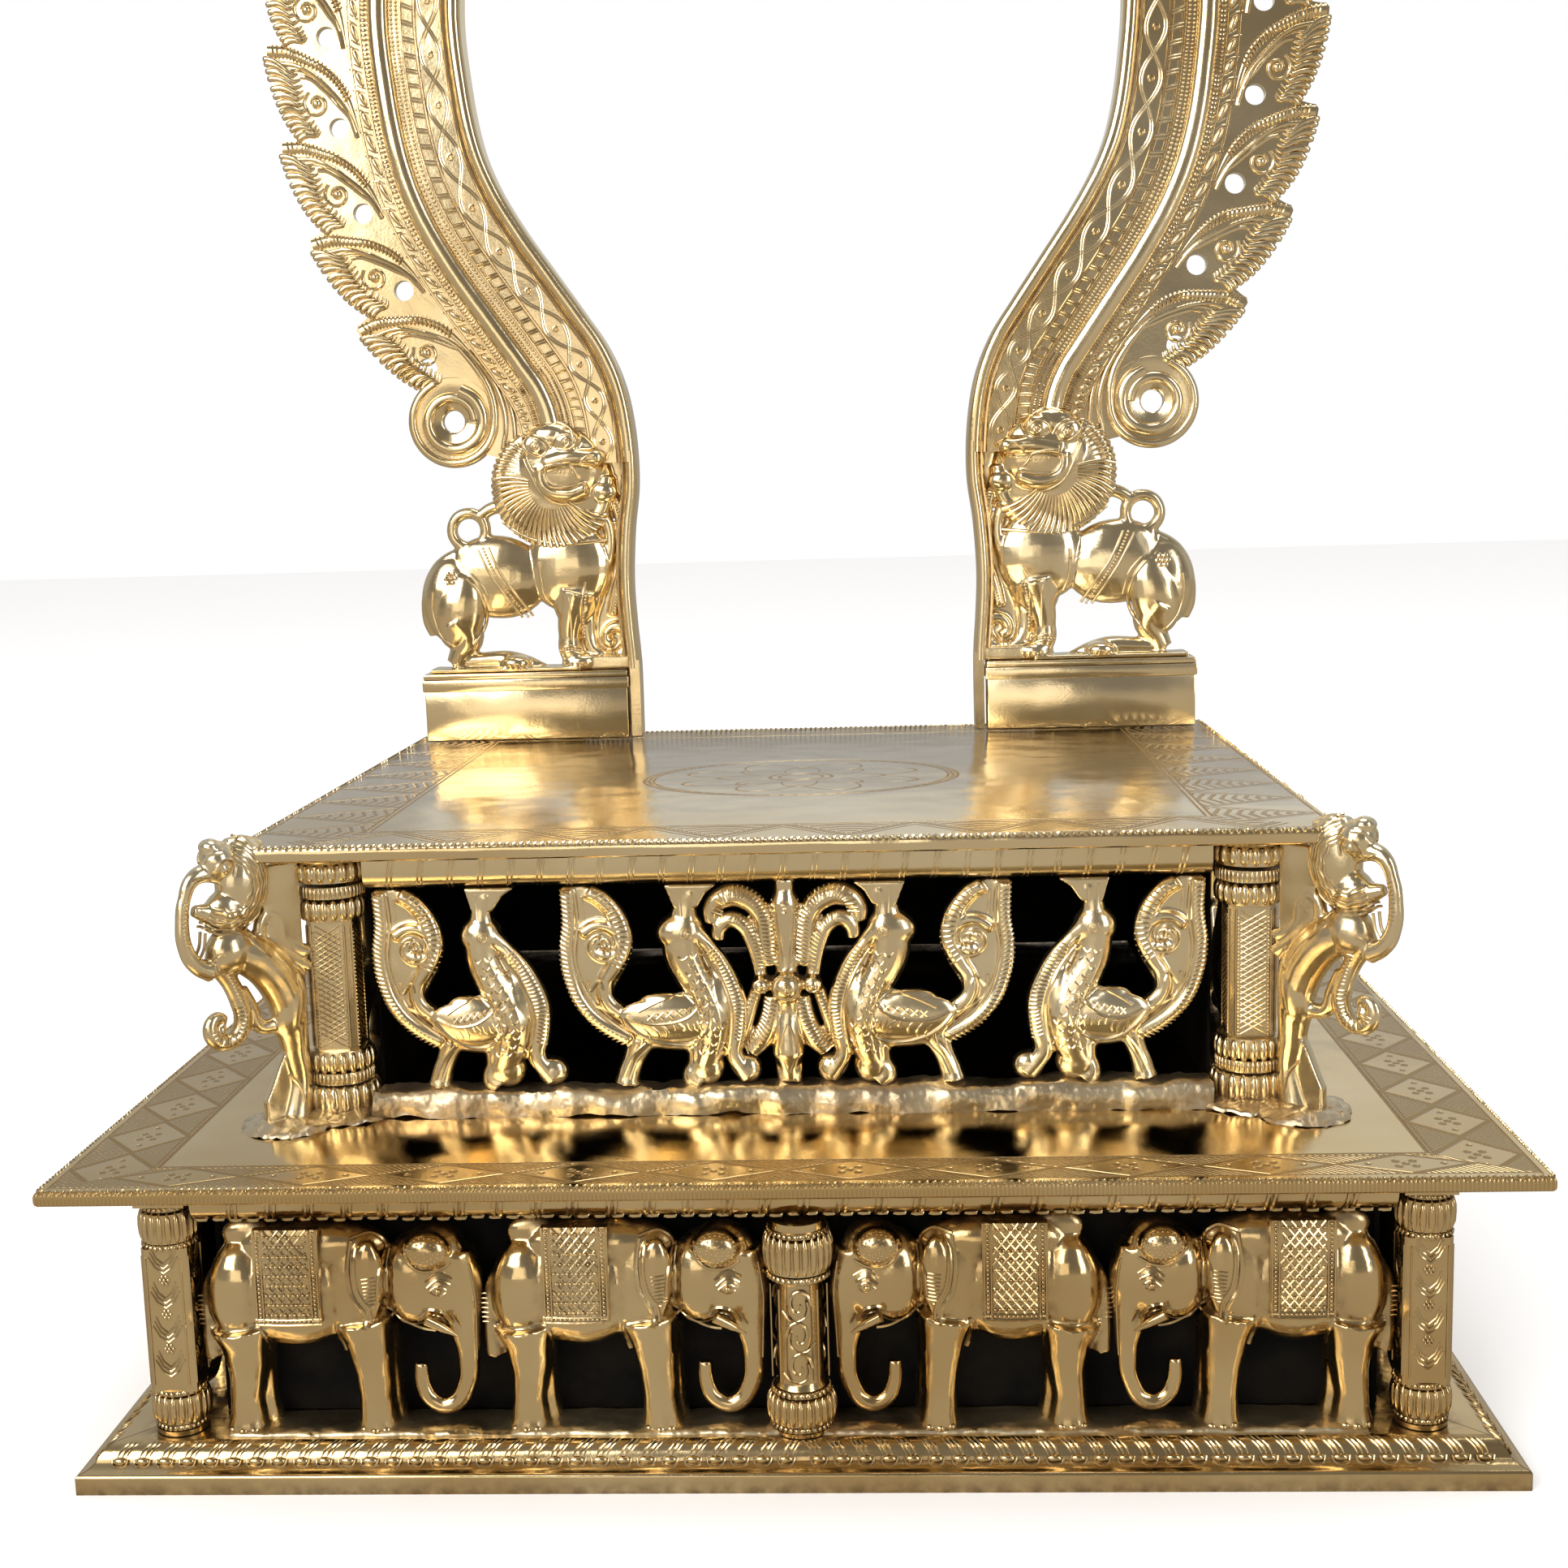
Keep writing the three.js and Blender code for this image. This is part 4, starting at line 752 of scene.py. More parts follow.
def shaftBlock(bm, values):
    low, high, width = values["from"] - 1, values["to"] + 1, values["shaft"]
    place = move(0, 0, (low + high) / 2) @ grow(width, width, high - low)
    made = bmesh.ops.create_cube(bm, size=1, matrix=place)["verts"]
    upright = {edge for vertex in made for edge in vertex.link_edges
               if abs(edge.verts[0].co.z - edge.verts[1].co.z) > 1}
    bmesh.ops.bevel(bm, geom=list(upright), offset=values["chamfer"], segments=1, affect="EDGES", profile=0.5,
                    material=-1)


def ribs(bm, width, low, high, y):  # framing lines at both sides of a panel
    for x in (-width, width):
        tubes(bm, [[(x, y, low, 0.28), (x, y, (low + high) / 2, 0.28), (x, y, high, 0.28)]], 3, 1)


def chevronPanel(values):
    bm = bmesh.new()
    face = -values["shaft"] / 2
    low, high = values["from"] + 1.2, values["to"] - 1.2
    ribs(bm, 4.7, low, high, face)
    petal = bead(0.62, (1, 0.8, 1))
    for i in range(4):
        z = low + 2.4 + i * 9.6
        for rise in (0, 1.3, 2.6):
            reach = 3.9 - rise * 0.35
            tubes(bm, [[(-reach, face, z + 4.6 + rise, 0.2), (0, face, z + rise, 0.34),
                        (reach, face, z + 4.6 + rise, 0.2)]], 2, 2)
        if i < 3:
            for k in range(6):
                turn = k * math.pi / 3
                stamp(bm, petal, move(1.05 * math.cos(turn), face, z + 7.6 + 1.05 * math.sin(turn)))
            stamp(bm, petal, move(0, face - 0.2, z + 7.6))
    return bake(bm)


def latticePanel(values):
    bm = bmesh.new()
    face = -values["shaft"] / 2
    low, high = values["from"] + 0.8, values["to"] - 0.8
    half = values["shaft"] / 2 - values["chamfer"] - 0.9
    for i in range(20):
        z = low + i * (high - low - 4) / 19
        for lean in (-1, 1):
            tubes(bm, [[(-half * lean, face, z, 0.2), (0, face - 0.05, z + 2, 0.24),
                        (half * lean, face, z + 4, 0.2)]], 2, 1)
    dot = bead(0.42)
    for i in range(int((high - low) / 1.05)):
        for x in (-half - 0.6, half + 0.6):
            stamp(bm, dot, move(x, face, low + i * 1.05))
    ribs(bm, half + 1.25, low, high, face + 0.1)
    return bake(bm)


def scrollPanel(low, high, y):
    bm = bmesh.new()
    for i in range(3):
        z = low + (i + 0.5) * (high - low) / 3
        flip = -1 if i % 2 else 1
        curl = [(flip * (3.5 - 0.42 * k) * math.cos(0.9 * k), y - 0.1, z + (4.6 - 0.5 * k) * math.sin(0.9 * k),
                 0.42 - 0.02 * k) for k in range(8)]
        leaf = [(flip * (4.4 - 0.5 * k) * math.cos(0.8 * k + 3.4), y, z + (5.6 - 0.7 * k)
                 * math.sin(0.8 * k + 3.4), 0.3) for k in range(5)]
        tubes(bm, [curl, leaf], 3, 3)
    ribs(bm, 5.0, low, high, y + 0.2)
    return bake(bm)


def bulge(bm, low, high, inner, outer, lobes, skew=0.5):  # a turned swelling with upright lobes round it
    middle = low + (high - low) * skew
    turned(bm, [(inner * 0.5, low), (inner, low), ((inner + outer) / 2, low + 0.4), (outer - 0.7, middle),
                ((inner + outer) / 2, high - 0.4), (inner, high), (inner * 0.5, high)])
    lobe = bmesh.new()
    bmesh.ops.create_icosphere(lobe, subdivisions=2, radius=1, matrix=grow(
        1.5, math.pi * (outer - 0.6) / lobes * 0.94, (high - low) * 0.54))
    shape = bake(lobe)
    ringOf(bm, shape, lobes, outer - 1.5, middle)


def beadRing(bm, height, radius, size, tall=1.0):
    turned(bm, [(radius * 0.5, height - size * tall), (radius - 0.1, height - size * tall),
                (radius - 0.1, height + size * tall), (radius * 0.5, height + size * tall)])
    count = int(2 * math.pi * radius / (2.05 * size))
    ringOf(bm, bead(size, (0.85, 0.9, tall * 1.1)), count, radius, height)


def addPillar(name, node, build, place, material):
    bm = bmesh.new()
    build(bm)
    mesh = bake(bm)
    mesh.transform(place)
    finishPiece(name, mesh, material, "base", [node])


def buildLowerPillar(bm):
    values = lowerPillar
    turned(bm, [(0, 0), (6.9, 0), (7.1, 1.3), (4, 1.6)])
    beadRing(bm, 2.2, 6.7, 0.7)
    bulge(bm, 2.9, 11.0, 6.3, 8.0, values["lobes"])
    beadRing(bm, 11.9, 6.9, 0.75)
    shaftBlock(bm, values)
    beadRing(bm, 52.6, 6.9, 0.75)
    bulge(bm, 53.4, 62.2, 6.3, 8.0, values["lobes"])
    beadRing(bm, 63.2, 6.8, 0.7)
    bmesh.ops.create_cube(bm, size=1, matrix=move(0, 0, 67.2) @ grow(13.6, 13.6, 6.7))
    panel = chevronPanel(values)
    for side in sides.values():
        stamp(bm, panel, side)


def buildCentrePillar(bm):
    turned(bm, [(0, 0), (8.2, 0), (8.4, 1.0), (5, 1.4)])
    beadRing(bm, 1.9, 8.1, 0.75)
    bulge(bm, 2.6, 10.2, 7.4, 9.6, 24)
    beadRing(bm, 11.2, 7.6, 0.8)
    turned(bm, [(5.6, 11), (6.9, 12.2), (6.3, 13.2), (6.0, 14), (6.0, 40.6), (6.4, 41.4), (6.9, 42.2), (5.6, 43)])
    beadRing(bm, 43.0, 8.2, 0.8)
    bulge(bm, 44.0, 54.0, 7.4, 9.6, 24, 0.55)
    beadRing(bm, 55.0, 7.9, 0.75)
    turned(bm, [(3, 55.4), (7.4, 55.4), (7.4, 58), (0, 58)])
    for turn in (0, 2.1, 4.2):
        stamp(bm, scrollPanel(14.5, 40.2, -5.9), Matrix.Rotation(turn, 4, "Z"))


def buildUpperPillar(bm):
    values = upperPillar
    turned(bm, [(0, 0), (10.2, 0), (10.4, 1.0), (6, 1.4)])
    bulge(bm, 1.2, 8.8, 8.8, 11.0, values["lobes"])
    beadRing(bm, 10.9, 8.9, 0.62, 2.6)
    bulge(bm, 13.0, 19.0, 7.4, 9.9, values["lobes"], 0.4)
    shaftBlock(bm, values)
    bulge(bm, 55.4, 61.2, 7.0, 9.8, values["lobes"], 0.6)
    beadRing(bm, 63.9, 9.2, 0.62, 2.6)
    bulge(bm, 66.4, 72.0, 8.6, 11.0, values["lobes"], 0.6)
    turned(bm, [(4, 72.0), (9.6, 72.0), (10.6, 73.2), (10.6, 74.5), (0, 74.5)])
    panel = latticePanel(values)
    for side in sides.values():
        stamp(bm, panel, side)


for across, x in (("left", -1), ("right", 1)):
    for along, y in (("front", -1), ("back", 1)):
        spot = move(x * tiers["lowerX"], y * tiers["lowerY"], tiers["lowerStand"])
        addPillar("lowerPillar" + along.capitalize() + across.capitalize(), f"lower_pillar_{along}_{across}",
                  buildLowerPillar, spot, warmBrass)
        spot = move(x * tiers["upperX"], y * tiers["upperY"], tiers["upperStand"])
        addPillar("upperPillar" + along.capitalize() + across.capitalize(), f"upper_pillar_{along}_{across}",
                  buildUpperPillar, spot, castBrass)
addPillar("lowerPillarCentre", "lower_pillar_front_centre", buildCentrePillar,
          move(2.7, -tiers["lowerY"] - 1.5, tiers["lowerStand"]), warmBrass)
report("pillars made")

# The arch. An arm is made straight, with X out from its inner edge, Y in depth and Z along it, then bent.

armValues = {
    "halfFoot": 62.5, "halfArch": 118.0, "spring": 264.0, "middleY": 109.0, "band": 41.5, "bandHeight": 102.0,
    "lattice": (7.7, 16.5), "latticePitch": 17.0, "ladder": (16.9, 22.0), "rib": (26.2, 34.1), "rope": (36.8, 41.3),
}
innerEdge = [
    (0, 0), (0, 0.1), (0.018, 0.16), (0.028, 0.22), (0.008, 0.29), (-0.03, 0.355), (-0.022, 0.425), (0.03, 0.49),
    (0.135, 0.545), (0.28, 0.592), (0.468, 0.65), (0.655, 0.708), (0.81, 0.765), (0.91, 0.822), (0.972, 0.9),
]


def armTable():  # points and headings along the inner edge, half a millimetre apart
    values = armValues
    spread = values["halfArch"] - values["halfFoot"]
    knots = [Vector((values["halfFoot"] + across * spread, 0.3 + up * (values["spring"] - 0.3)))
             for across, up in innerEdge]
    knots += [Vector((values["halfArch"] * math.cos(math.radians(turn)), values["spring"]
                      + values["halfArch"] * math.sin(math.radians(turn)))) for turn in range(0, 91, 15)]
    fine = smoothPath(knots, 60)
    table, travelled, wanted = [], 0.0, 0.0
    for first, second in zip(fine, fine[1:]):
        step = (second - first).length
        while travelled + step >= wanted:
            table.append((first.lerp(second, (wanted - travelled) / step), (second - first).normalized()))
            wanted += 0.5
        travelled += step
    return table, travelled


armStations, armLength = armTable()


def bentSpot(out, along):
    place = min(max(along * 2, 0), len(armStations) - 1.001)
    i = int(place)
    (spot, heading), (nextSpot, nextHeading) = armStations[i], armStations[min(i + 1, len(armStations) - 1)]
    spot = spot.lerp(nextSpot, place - i)
    heading = heading.lerp(nextHeading, place - i)
    return max(spot.x + heading.y * out, 0.15), spot.y - heading.x * out


def bend(mesh):
    for vertex in mesh.vertices:
        out, depth, along = vertex.co
        x, z = bentSpot(out, along)
        vertex.co = (x, depth, z)


def alongAt(height):
    return next(i / 2 for i, (spot, heading) in enumerate(armStations) if spot.y >= height)


bandStart = alongAt(armValues["bandHeight"])


def strip(bm, outline, low, high, step=2.5):  # an outline of (out, depth) corners carried along the arm
    bar = barMesh(outline, high - low, int((high - low) / step))
    turn = Matrix(((0, 1, 0, 0), (0, 0, 1, 0), (1, 0, 0, (low + high) / 2), (0, 0, 0, 1)))
    mesh = bake(bar)
    mesh.transform(turn)
    bm.from_mesh(mesh)
    bpy.data.meshes.remove(mesh)


def rowOf(bm, shape, out, depth, low, high, pitch, lean=0.0):
    for i in range(int((high - low) / pitch)):
        place = move(out, depth, low + (i + 0.5) * pitch) @ Matrix.Rotation(lean, 4, "Y")
        stamp(bm, shape, place)


def wire(bm, out, depth, radius, low, high, step=4.0, wave=None):
    count = int((high - low) / step)
    path = []
    for i in range(count + 1):
        along = low + (high - low) * i / count
        path.append((out + (wave(along) if wave else 0.0), depth, along, radius))
    tubes(bm, [path], 3, 1)


def roll(width):  # the smooth inner flange with its groove, in section
    share = width / 7.7
    arc = [(2.75 * share - 2.75 * share * math.cos(a * math.pi / 8), -3.4 - 2.6 * math.sin(a * math.pi / 8))
           for a in range(9)]
    front = [*arc, (5.75 * share, -3.3), (6.2 * share, -4.0), (6.9 * share, -4.1), (7.5 * share, -3.5),
             (width, -2.5)]
    return [*front, (width, 5.0), (width - 1, 6.0), (1.2, 6.0), (0, 5.0)]


def armBody():
    values = armValues
    bm = bmesh.new()
    stem = alongAt(25.6)
    top = armLength
    strip(bm, roll(7.7), bandStart, top)
    strip(bm, roll(6.3), stem, bandStart + 4)
    strip(bm, [(0, -5.6), (3.6, -5.6), (3.6, 5.6), (0, 5.6)], 0, stem + 3)
    strip(bm, [(6.5, -3), (values["band"], -3), (values["band"], 3), (6.5, 3)], bandStart, top)
    low, high = values["rib"]
    half = (high - low) / 2
    strip(bm, [(low + half - half * math.cos(a * math.pi / 10), -2.8 - 3.2 * math.sin(a * math.pi / 10))
               for a in range(11)], bandStart + 1, top)
    middle = sum(values["lattice"]) / 2
    pitch = values["latticePitch"]
    for shift in (-0.45, 0.45):
        for sign in (-1, 1):
            wire(bm, middle + shift, -3.1, 0.42, bandStart + 2, top, 2.1,
                 lambda along, sign=sign: sign * 3.5 * math.sin(math.pi * (along - bandStart) / pitch))
    punch = bmesh.new()
    turned(punch, [(0.55, 0.1), (0.75, 0.75), (1.05, 0.7), (1.35, 0)], 10)
    eye = bake(punch)
    eye.transform(Matrix.Rotation(quarter, 4, "X"))
    rowOf(bm, eye, middle, -3, bandStart, top, pitch)
    for out in values["ladder"]:
        wire(bm, out, -3.1, 0.55, bandStart + 1, top)
        wire(bm, out - 0.9 if out > 20 else out + 0.9, -3.0, 0.3, bandStart + 1, top)
    rung = bmesh.new()
    tubes(rung, [[(16.9, -3.1, -0.7, 0.34), (19.4, -3.3, 0, 0.4), (22, -3.1, 0.7, 0.34)],
                 [(16.9, -3.1, 0.3, 0.34), (19.4, -3.3, 1.0, 0.4), (22, -3.1, 1.7, 0.34)]], 2, 2)
    rowOf(bm, bake(rung), 0, 0, bandStart + 2, top, 4.9)
    small = bead(0.66, (1, 1, 0.92))
    rowOf(bm, small, 23.5, -3.05, bandStart + 1, top, 1.26)
    rowOf(bm, small, 25.3, -3.05, bandStart + 1, top, 1.26)
    rowOf(bm, bead(1, (1.25, 0.8, 0.5)), 35.3, -3.0, bandStart + 2, top, 1.3)
    lens = bmesh.new()
    bmesh.ops.create_icosphere(lens, subdivisions=2, radius=1, matrix=grow(1.05, 0.9, 2.9))
    tubes(lens, [[(-1.9, 0.1, 1.0, 0.2), (-0.6, -0.2, 2.8, 0.3), (1.6, 0.1, 4.4, 0.2)],
                 [(-1.6, 0.1, -4.4, 0.2), (0.6, -0.2, -2.8, 0.3), (1.9, 0.1, -1.0, 0.2)]], 2, 2)
    rowOf(bm, bake(lens), 39, -3.0, bandStart + 4, top, 6.5, 0.42)
    for out in values["rope"]:
        wire(bm, out, -3.1, 0.4, bandStart + 2, top)
    return bake(bm)


# One leaf's outer edge from its notch up to its tip, as (share of its length, reach from the band).
leafEdge = [(0.01, 24.2), (0.1, 25.9), (0.23, 27.4), (0.48, 29.2), (0.69, 30.3), (0.88, 30.9), (0.95, 31.0),
            (0.985, 29.8), (0.995, 26.8)]
leafStart = bandStart + 0.36 * 16.5 + 18  # the border runs from above the volute to beside the crest
leafEnd = armLength - 11.3 * 118 / 159.5


def leafTable():  # lengths along the middle of the leaf border, against places along the arm
    lengths, places = [0.0], [leafStart]
    spot = Vector(bentSpot(armValues["band"] + 18, leafStart))
    while places[-1] < leafEnd:
        places.append(places[-1] + 0.5)
        ahead = Vector(bentSpot(armValues["band"] + 18, places[-1]))
        lengths.append(lengths[-1] + (ahead - spot).length)
        spot = ahead
    return lengths, places


leafLengths, leafPlaces = leafTable()


def leafSpot(out, length):  # a place of the leaf border on the bent arm
    if length <= 0 or length >= leafLengths[-1]:
        return bentSpot(out, leafStart + length if length <= 0 else leafEnd + length - leafLengths[-1])
    i = bisect.bisect(leafLengths, length) - 1
    share = (length - leafLengths[i]) / (leafLengths[i + 1] - leafLengths[i])
    return bentSpot(out, leafPlaces[i] + 0.5 * share)


def leafRelief():  # ridges of one leaf, X out from the band's edge and Z along, on a face at depth zero
    bm = bmesh.new()
    lip = smoothPath([(30.0, 30.4), (23.0, 29.4), (16.6, 26.4), (9.8, 22.0), (4.9, 15.6), (2.3, 7.4), (1.0, -3)], 5)
    last = len(lip) - 1
    tubes(bm, [[(spot.x, 1.7, spot.y, 2.75 - 1.0 * i / last) for i, spot in enumerate(lip)]], 8, 1)
    reach = 0.0
    for i in range(1, last - 6):  # short cross ribs of the rolled lip
        ahead = (lip[i + 1] - lip[i - 1]).normalized()
        reach += (lip[i] - lip[i - 1]).length
        if reach < 1.25:
            continue
        reach = 0.0
        width = 2.3 - 1.0 * i / last
        across = Vector((-ahead.y, ahead.x)) * width + ahead * 0.5
        first, middle, second = lip[i] - across, lip[i], lip[i] + across
        tubes(bm, [[(first.x, 0.1, first.y, 0.34), (middle.x, -0.95, middle.y, 0.44),
                    (second.x, 0.1, second.y, 0.34)]], 3, 2)
    for stem, radius in (
        ([(26.5, 26.2), (20.5, 25.0), (14.8, 21.6), (9.4, 15.2), (5.0, 8.4), (2.9, 2.0), (2.2, -4)], 0.95),
        ([(19.0, 20.8), (15.0, 19.2), (9.8, 13.2), (6.4, 8.2), (3.6, 4.0), (2.6, -1)], 0.9),
        ([(24.5, 23.6), (18.4, 22.6), (12.8, 18.2), (8.4, 12.0), (5.6, 8.2)], 0.55),
    ):
        tubes(bm, [[(spot.x, 0.15, spot.y, radius) for spot in smoothPath(stem, 3)]], 4, 1)
    curl = spiral(14.6, 10.6, 5.0, 1.9, 1.15, 1.1, 0.75, 8, -1)
    tubes(bm, [[(x, 0.1, z, radius) for x, z, radius in curl]], 4, 2)
    bmesh.ops.create_icosphere(bm, subdivisions=2, radius=2.0, matrix=move(14.6, 0.5, 10.6))
    inner = smoothPath([(15.0, 0.4), (16.6, 4.4), (18.8, 11.5), (18.8, 17.0), (20.4, 22.4)], 12)
    outer = smoothPath([(23.4, -0.6), (25.8, 4.2), (27.8, 9.4), (29.4, 16.0), (30.4, 22.8), (31.0, 28.2)], 10)
    for k in range(13):  # wavy feather ribs out to the edge
        start, end = inner[round(k * (len(inner) - 1) / 12)], outer[round(k * (len(outer) - 1) / 12)]
        span = end - start
        path = []
        for share, sway, radius in ((0, 0.9, 0.55), (0.2, -0.6, 0.95), (0.46, 0.3, 1.15), (0.74, 0.7, 1.25),
                                    (1.0, -0.1, 1.15), (1.08, -0.4, 0.7)):
            spot = start + span * share
            path.append((spot.x, 0.15, spot.y + sway, radius))
        tubes(bm, [path], 5, 2)
    return bake(bm)


leaves = {
    "first": 25.3, "last": 9.0, "count": 12, "pattern": 33.1, "holeRadius": 3.7, "holeOut": 8.1, "thick": 4.0,
}
volute = {"x": 128.4, "z": 118.5, "hole": 4.1}
leafPitch = (leafLengths[-1] - leaves["first"] - leaves["last"]) / leaves["count"]


def leafPlate():  # the pierced plate of leaves and neck in its bent place, front at depth -2
    band, total = armValues["band"], leafLengths[-1]
    rim = []
    for i in range(leaves["count"]):
        for share, out in leafEdge:
            rim.append(leafSpot(band + out, leaves["first"] + (i + share) * leafPitch))
    rim.append(leafSpot(band + 25, total - 8.6))
    rim.append(leafSpot(band + 25, total))
    steps = 150
    rim += [leafSpot(band - 4, total - (total - leaves["first"]) * i / steps) for i in range(steps + 1)]
    low, high = bandStart + 1, leafPlaces[bisect.bisect(leafLengths, leaves["first"])]
    rim += [bentSpot(band - 2, high - (high - low) * i / 16) for i in range(1, 17)]
    rim += [(volute["x"] + x, volute["z"] + z) for x, z in ((-10, -12), (-7.6, -2), (-2, 8.4), (8, 11.4))]
    bm = bmesh.new()
    edges = loopOf(bm, [bm.verts.new((x, -2, z)) for x, z in rim])
    for i in range(leaves["count"]):
        x, z = leafSpot(band + leaves["holeOut"], leaves["first"] + i * leafPitch + 0.8)
        if i == 0:
            x, z = volute["x"] + 8.8, volute["z"] + 19.6
        hole = [bm.verts.new((x + leaves["holeRadius"] * math.cos(a * math.pi / 12), -2,
                              z + leaves["holeRadius"] * math.sin(a * math.pi / 12))) for a in range(24)]
        edges += loopOf(bm, hole)
    bmesh.ops.triangle_fill(bm, edges=edges, use_beauty=True, use_dissolve=False)
    pulled(bm, bm.faces[:], (0, leaves["thick"], 0))
    return bm


def voluteShape():  # the rolled end of the leaf border, X outwards and Z up from its own middle
    bm = bmesh.new()
    hole = volute["hole"]
    turned(bm, [(hole, -1.4), (hole + 0.7, -2.1), (hole + 1.9, -1.3), (13.6, -1.2), (16.0, -1.4), (16.9, -0.6),
                (16.9, 1.2), (16.0, 2.2), (hole + 0.7, 2.2), (hole, 1.6), (hole, -1.4)], 48)
    bmesh.ops.rotate(bm, verts=bm.verts, matrix=Matrix.Rotation(quarter, 3, "X"))
    rim = [(-3.5, -1.8, 26.5, 1.0), (-10.5, -1.8, 17.6, 1.4), (-14.6, -1.7, 8.6, 1.7)]
    rim += [(15.2 * math.cos(math.radians(turn)), -1.5, 15.2 * math.sin(math.radians(turn)), 1.75)
            for turn in range(185, 431, 20)]
    core = []
    for k in range(19):
        turn, share = math.radians(105 + k * 24), k / 18
        reach = 11.6 - 3.6 * share
        core.append((reach * math.cos(turn), -1.4, reach * math.sin(turn), 2.9 - 0.9 * share))
    tubes(bm, [rim, core], 8, 3)
    tubes(bm, [[(-7.0, -2.0, 25.5, 0.8), (-14.0, -2.0, 16.4, 1.1), (-18.4, -2.0, 6.5, 1.2), (-19.4, -2.0, -2, 1.1),
                (-17.8, -2.0, -10.5, 0.8)],
               [(-11.5, -2.0, 23.5, 0.6), (-18.0, -2.0, 14.5, 0.9), (-21.6, -2.0, 4.5, 1.0), (-22.6, -2.0, -6, 0.8),
                (-21.6, -2.0, -13, 0.6)]], 4, 4)
    return bake(bm)


def addArms():
    body, relief, scroll = armBody(), leafRelief(), voluteShape()
    bend(body)
    plate = leafPlate()
    for i in range(leaves["count"]):  # each leaf goes from the flat pattern to its place on the bent arm
        ridges = relief.copy()
        for vertex in ridges.vertices:
            out, depth, along = vertex.co
            x, z = leafSpot(armValues["band"] + out, leaves["first"] + (i + along / leaves["pattern"]) * leafPitch)
            vertex.co = (x, depth - 2, z)
        stamp(plate, ridges)
    stamp(plate, scroll, move(volute["x"], 0, volute["z"]))
    border = bake(plate)
    for side, sign in (("left", -1), ("right", 1)):
        place = move(0, armValues["middleY"], tiers["seatTop"]) @ grow(sign, 1, 1)
        for name, shape in (("Body", body), ("Leaves", border)):
            finishPiece("arm" + name + side.capitalize(), placed(shape, place), armBrass, "arch",
                        ["arch_arm_" + side], 45)


addArms()
report("arms made")

# Foot blocks of the arch

foot = {"width": 77.5, "depth": 18.0, "slab": 6.5, "height": 25.0}


def addFoot(side):
    low, high = nodeBox("arch_foot_" + side)
    middle = (low + high) / 2
    bm = bmesh.new()
    top = tiers["seatTop"] + 0.3 + foot["height"]
    for width, depth, bottom, upper in (
        (foot["width"] - 1.2, foot["depth"] - 2, tiers["seatTop"] + 0.2, top - foot["slab"] + 0.2),
        (foot["width"], foot["depth"], top - foot["slab"], top - 2.2),
        (foot["width"] - 0.8, foot["depth"] - 0.8, top - 2.1, top),
        (40, 8, tiers["seatTop"] - 4.4, tiers["seatTop"] + 0.6),
    ):
        place = move(middle.x, middle.y, (bottom + upper) / 2) @ grow(width, depth, upper - bottom)
        made = bmesh.ops.create_cube(bm, size=1, matrix=place)["verts"]
        edges = {edge for vertex in made for edge in vertex.link_edges}
        bmesh.ops.bevel(bm, geom=list(edges), offset=0.45, segments=2, affect="EDGES", profile=0.5, material=-1)
    finishPiece("foot" + side.capitalize(), bake(bm), armBrass, "arch", ["arch_foot_" + side], 30)


addFoot("left")
addFoot("right")
report("feet made")

# Cast figures. Each is sculpted once in its own box, X along, Y in depth (front is less) and Z up.


def surfaceOf(mesh):
    part = bmesh.new()
    part.from_mesh(mesh)
    tree = BVHTree.FromBMesh(part)
    part.free()
    return tree


def frontAt(tree, x, z, miss=-1.5):  # the depth of a figure's front skin at a place
    hit = tree.ray_cast(Vector((x, -60, z)), Vector((0, 1, 0)))[0]
    return hit.y if hit else miss


def studOn(bm, tree, shape, x, z, lift=0.0):  # a small shape set on the skin
    stamp(bm, shape, move(x, frontAt(tree, x, z) + lift, z))


def draped(bm, tree, paths, width=3, steps=2, sink=0.0):  # raised lines laid over the skin, as (x, z, radius)
    laid = [[(x, frontAt(tree, x, z) + sink, z, radius) for x, z, radius in path] for path in paths]
    tubes(bm, laid, width, steps)


def lineOf(points, radius, steps=2):  # a smooth line through (x, z) points, all of one radius
    return [(spot.x, spot.y, radius) for spot in smoothPath(points, steps)]


def beadsOn(bm, tree, points, pitch, shape, steps=6):
    line = smoothPath(points, steps)
    wanted = 0.0
    for first, second in zip(line, line[1:]):
        span = (second - first).length
        while wanted < span:
            spot = first.lerp(second, wanted / span)
            studOn(bm, tree, shape, spot.x, spot.y)
            wanted += pitch
        wanted -= span


def crossRibs(bm, tree, points, width, pitch, radius, lean=0.0, steps=8, side=0.0):
    line = smoothPath(points, steps)
    paths, wanted = [], pitch / 2
    for first, second in zip(line, line[1:]):
        span = (second - first).length
        while wanted < span:
            spot = first.lerp(second, wanted / span)
            ahead = (second - first) / span
            across = Vector((-ahead.y, ahead.x))
            middle = spot + across * side
            low, high = middle - across * width / 2 - ahead * lean, middle + across * width / 2 + ahead * lean
            paths.append([(low.x, low.y, radius * 0.7), (middle.x, middle.y, radius),
                          (high.x, high.y, radius * 0.7)])
            wanted += pitch
        wanted -= span
    draped(bm, tree, paths, 2, 1)


def limbs(bm, rows, depth=0.0):  # bars as lists of (x, z, radius), all at one depth
    for row in rows:
        tubes(bm, [[(x, depth, z, radius) for x, z, radius in row]], 10, 5)


def slabOf(bm, outline, front, back):
    rim = [bm.verts.new((x, front, z)) for x, z in outline]
    made = bmesh.ops.triangle_fill(bm, edges=loopOf(bm, rim), use_beauty=True, use_dissolve=False)
    pulled(bm, [item for item in made["geom"] if isinstance(item, bmesh.types.BMFace)], (0, back - front, 0))


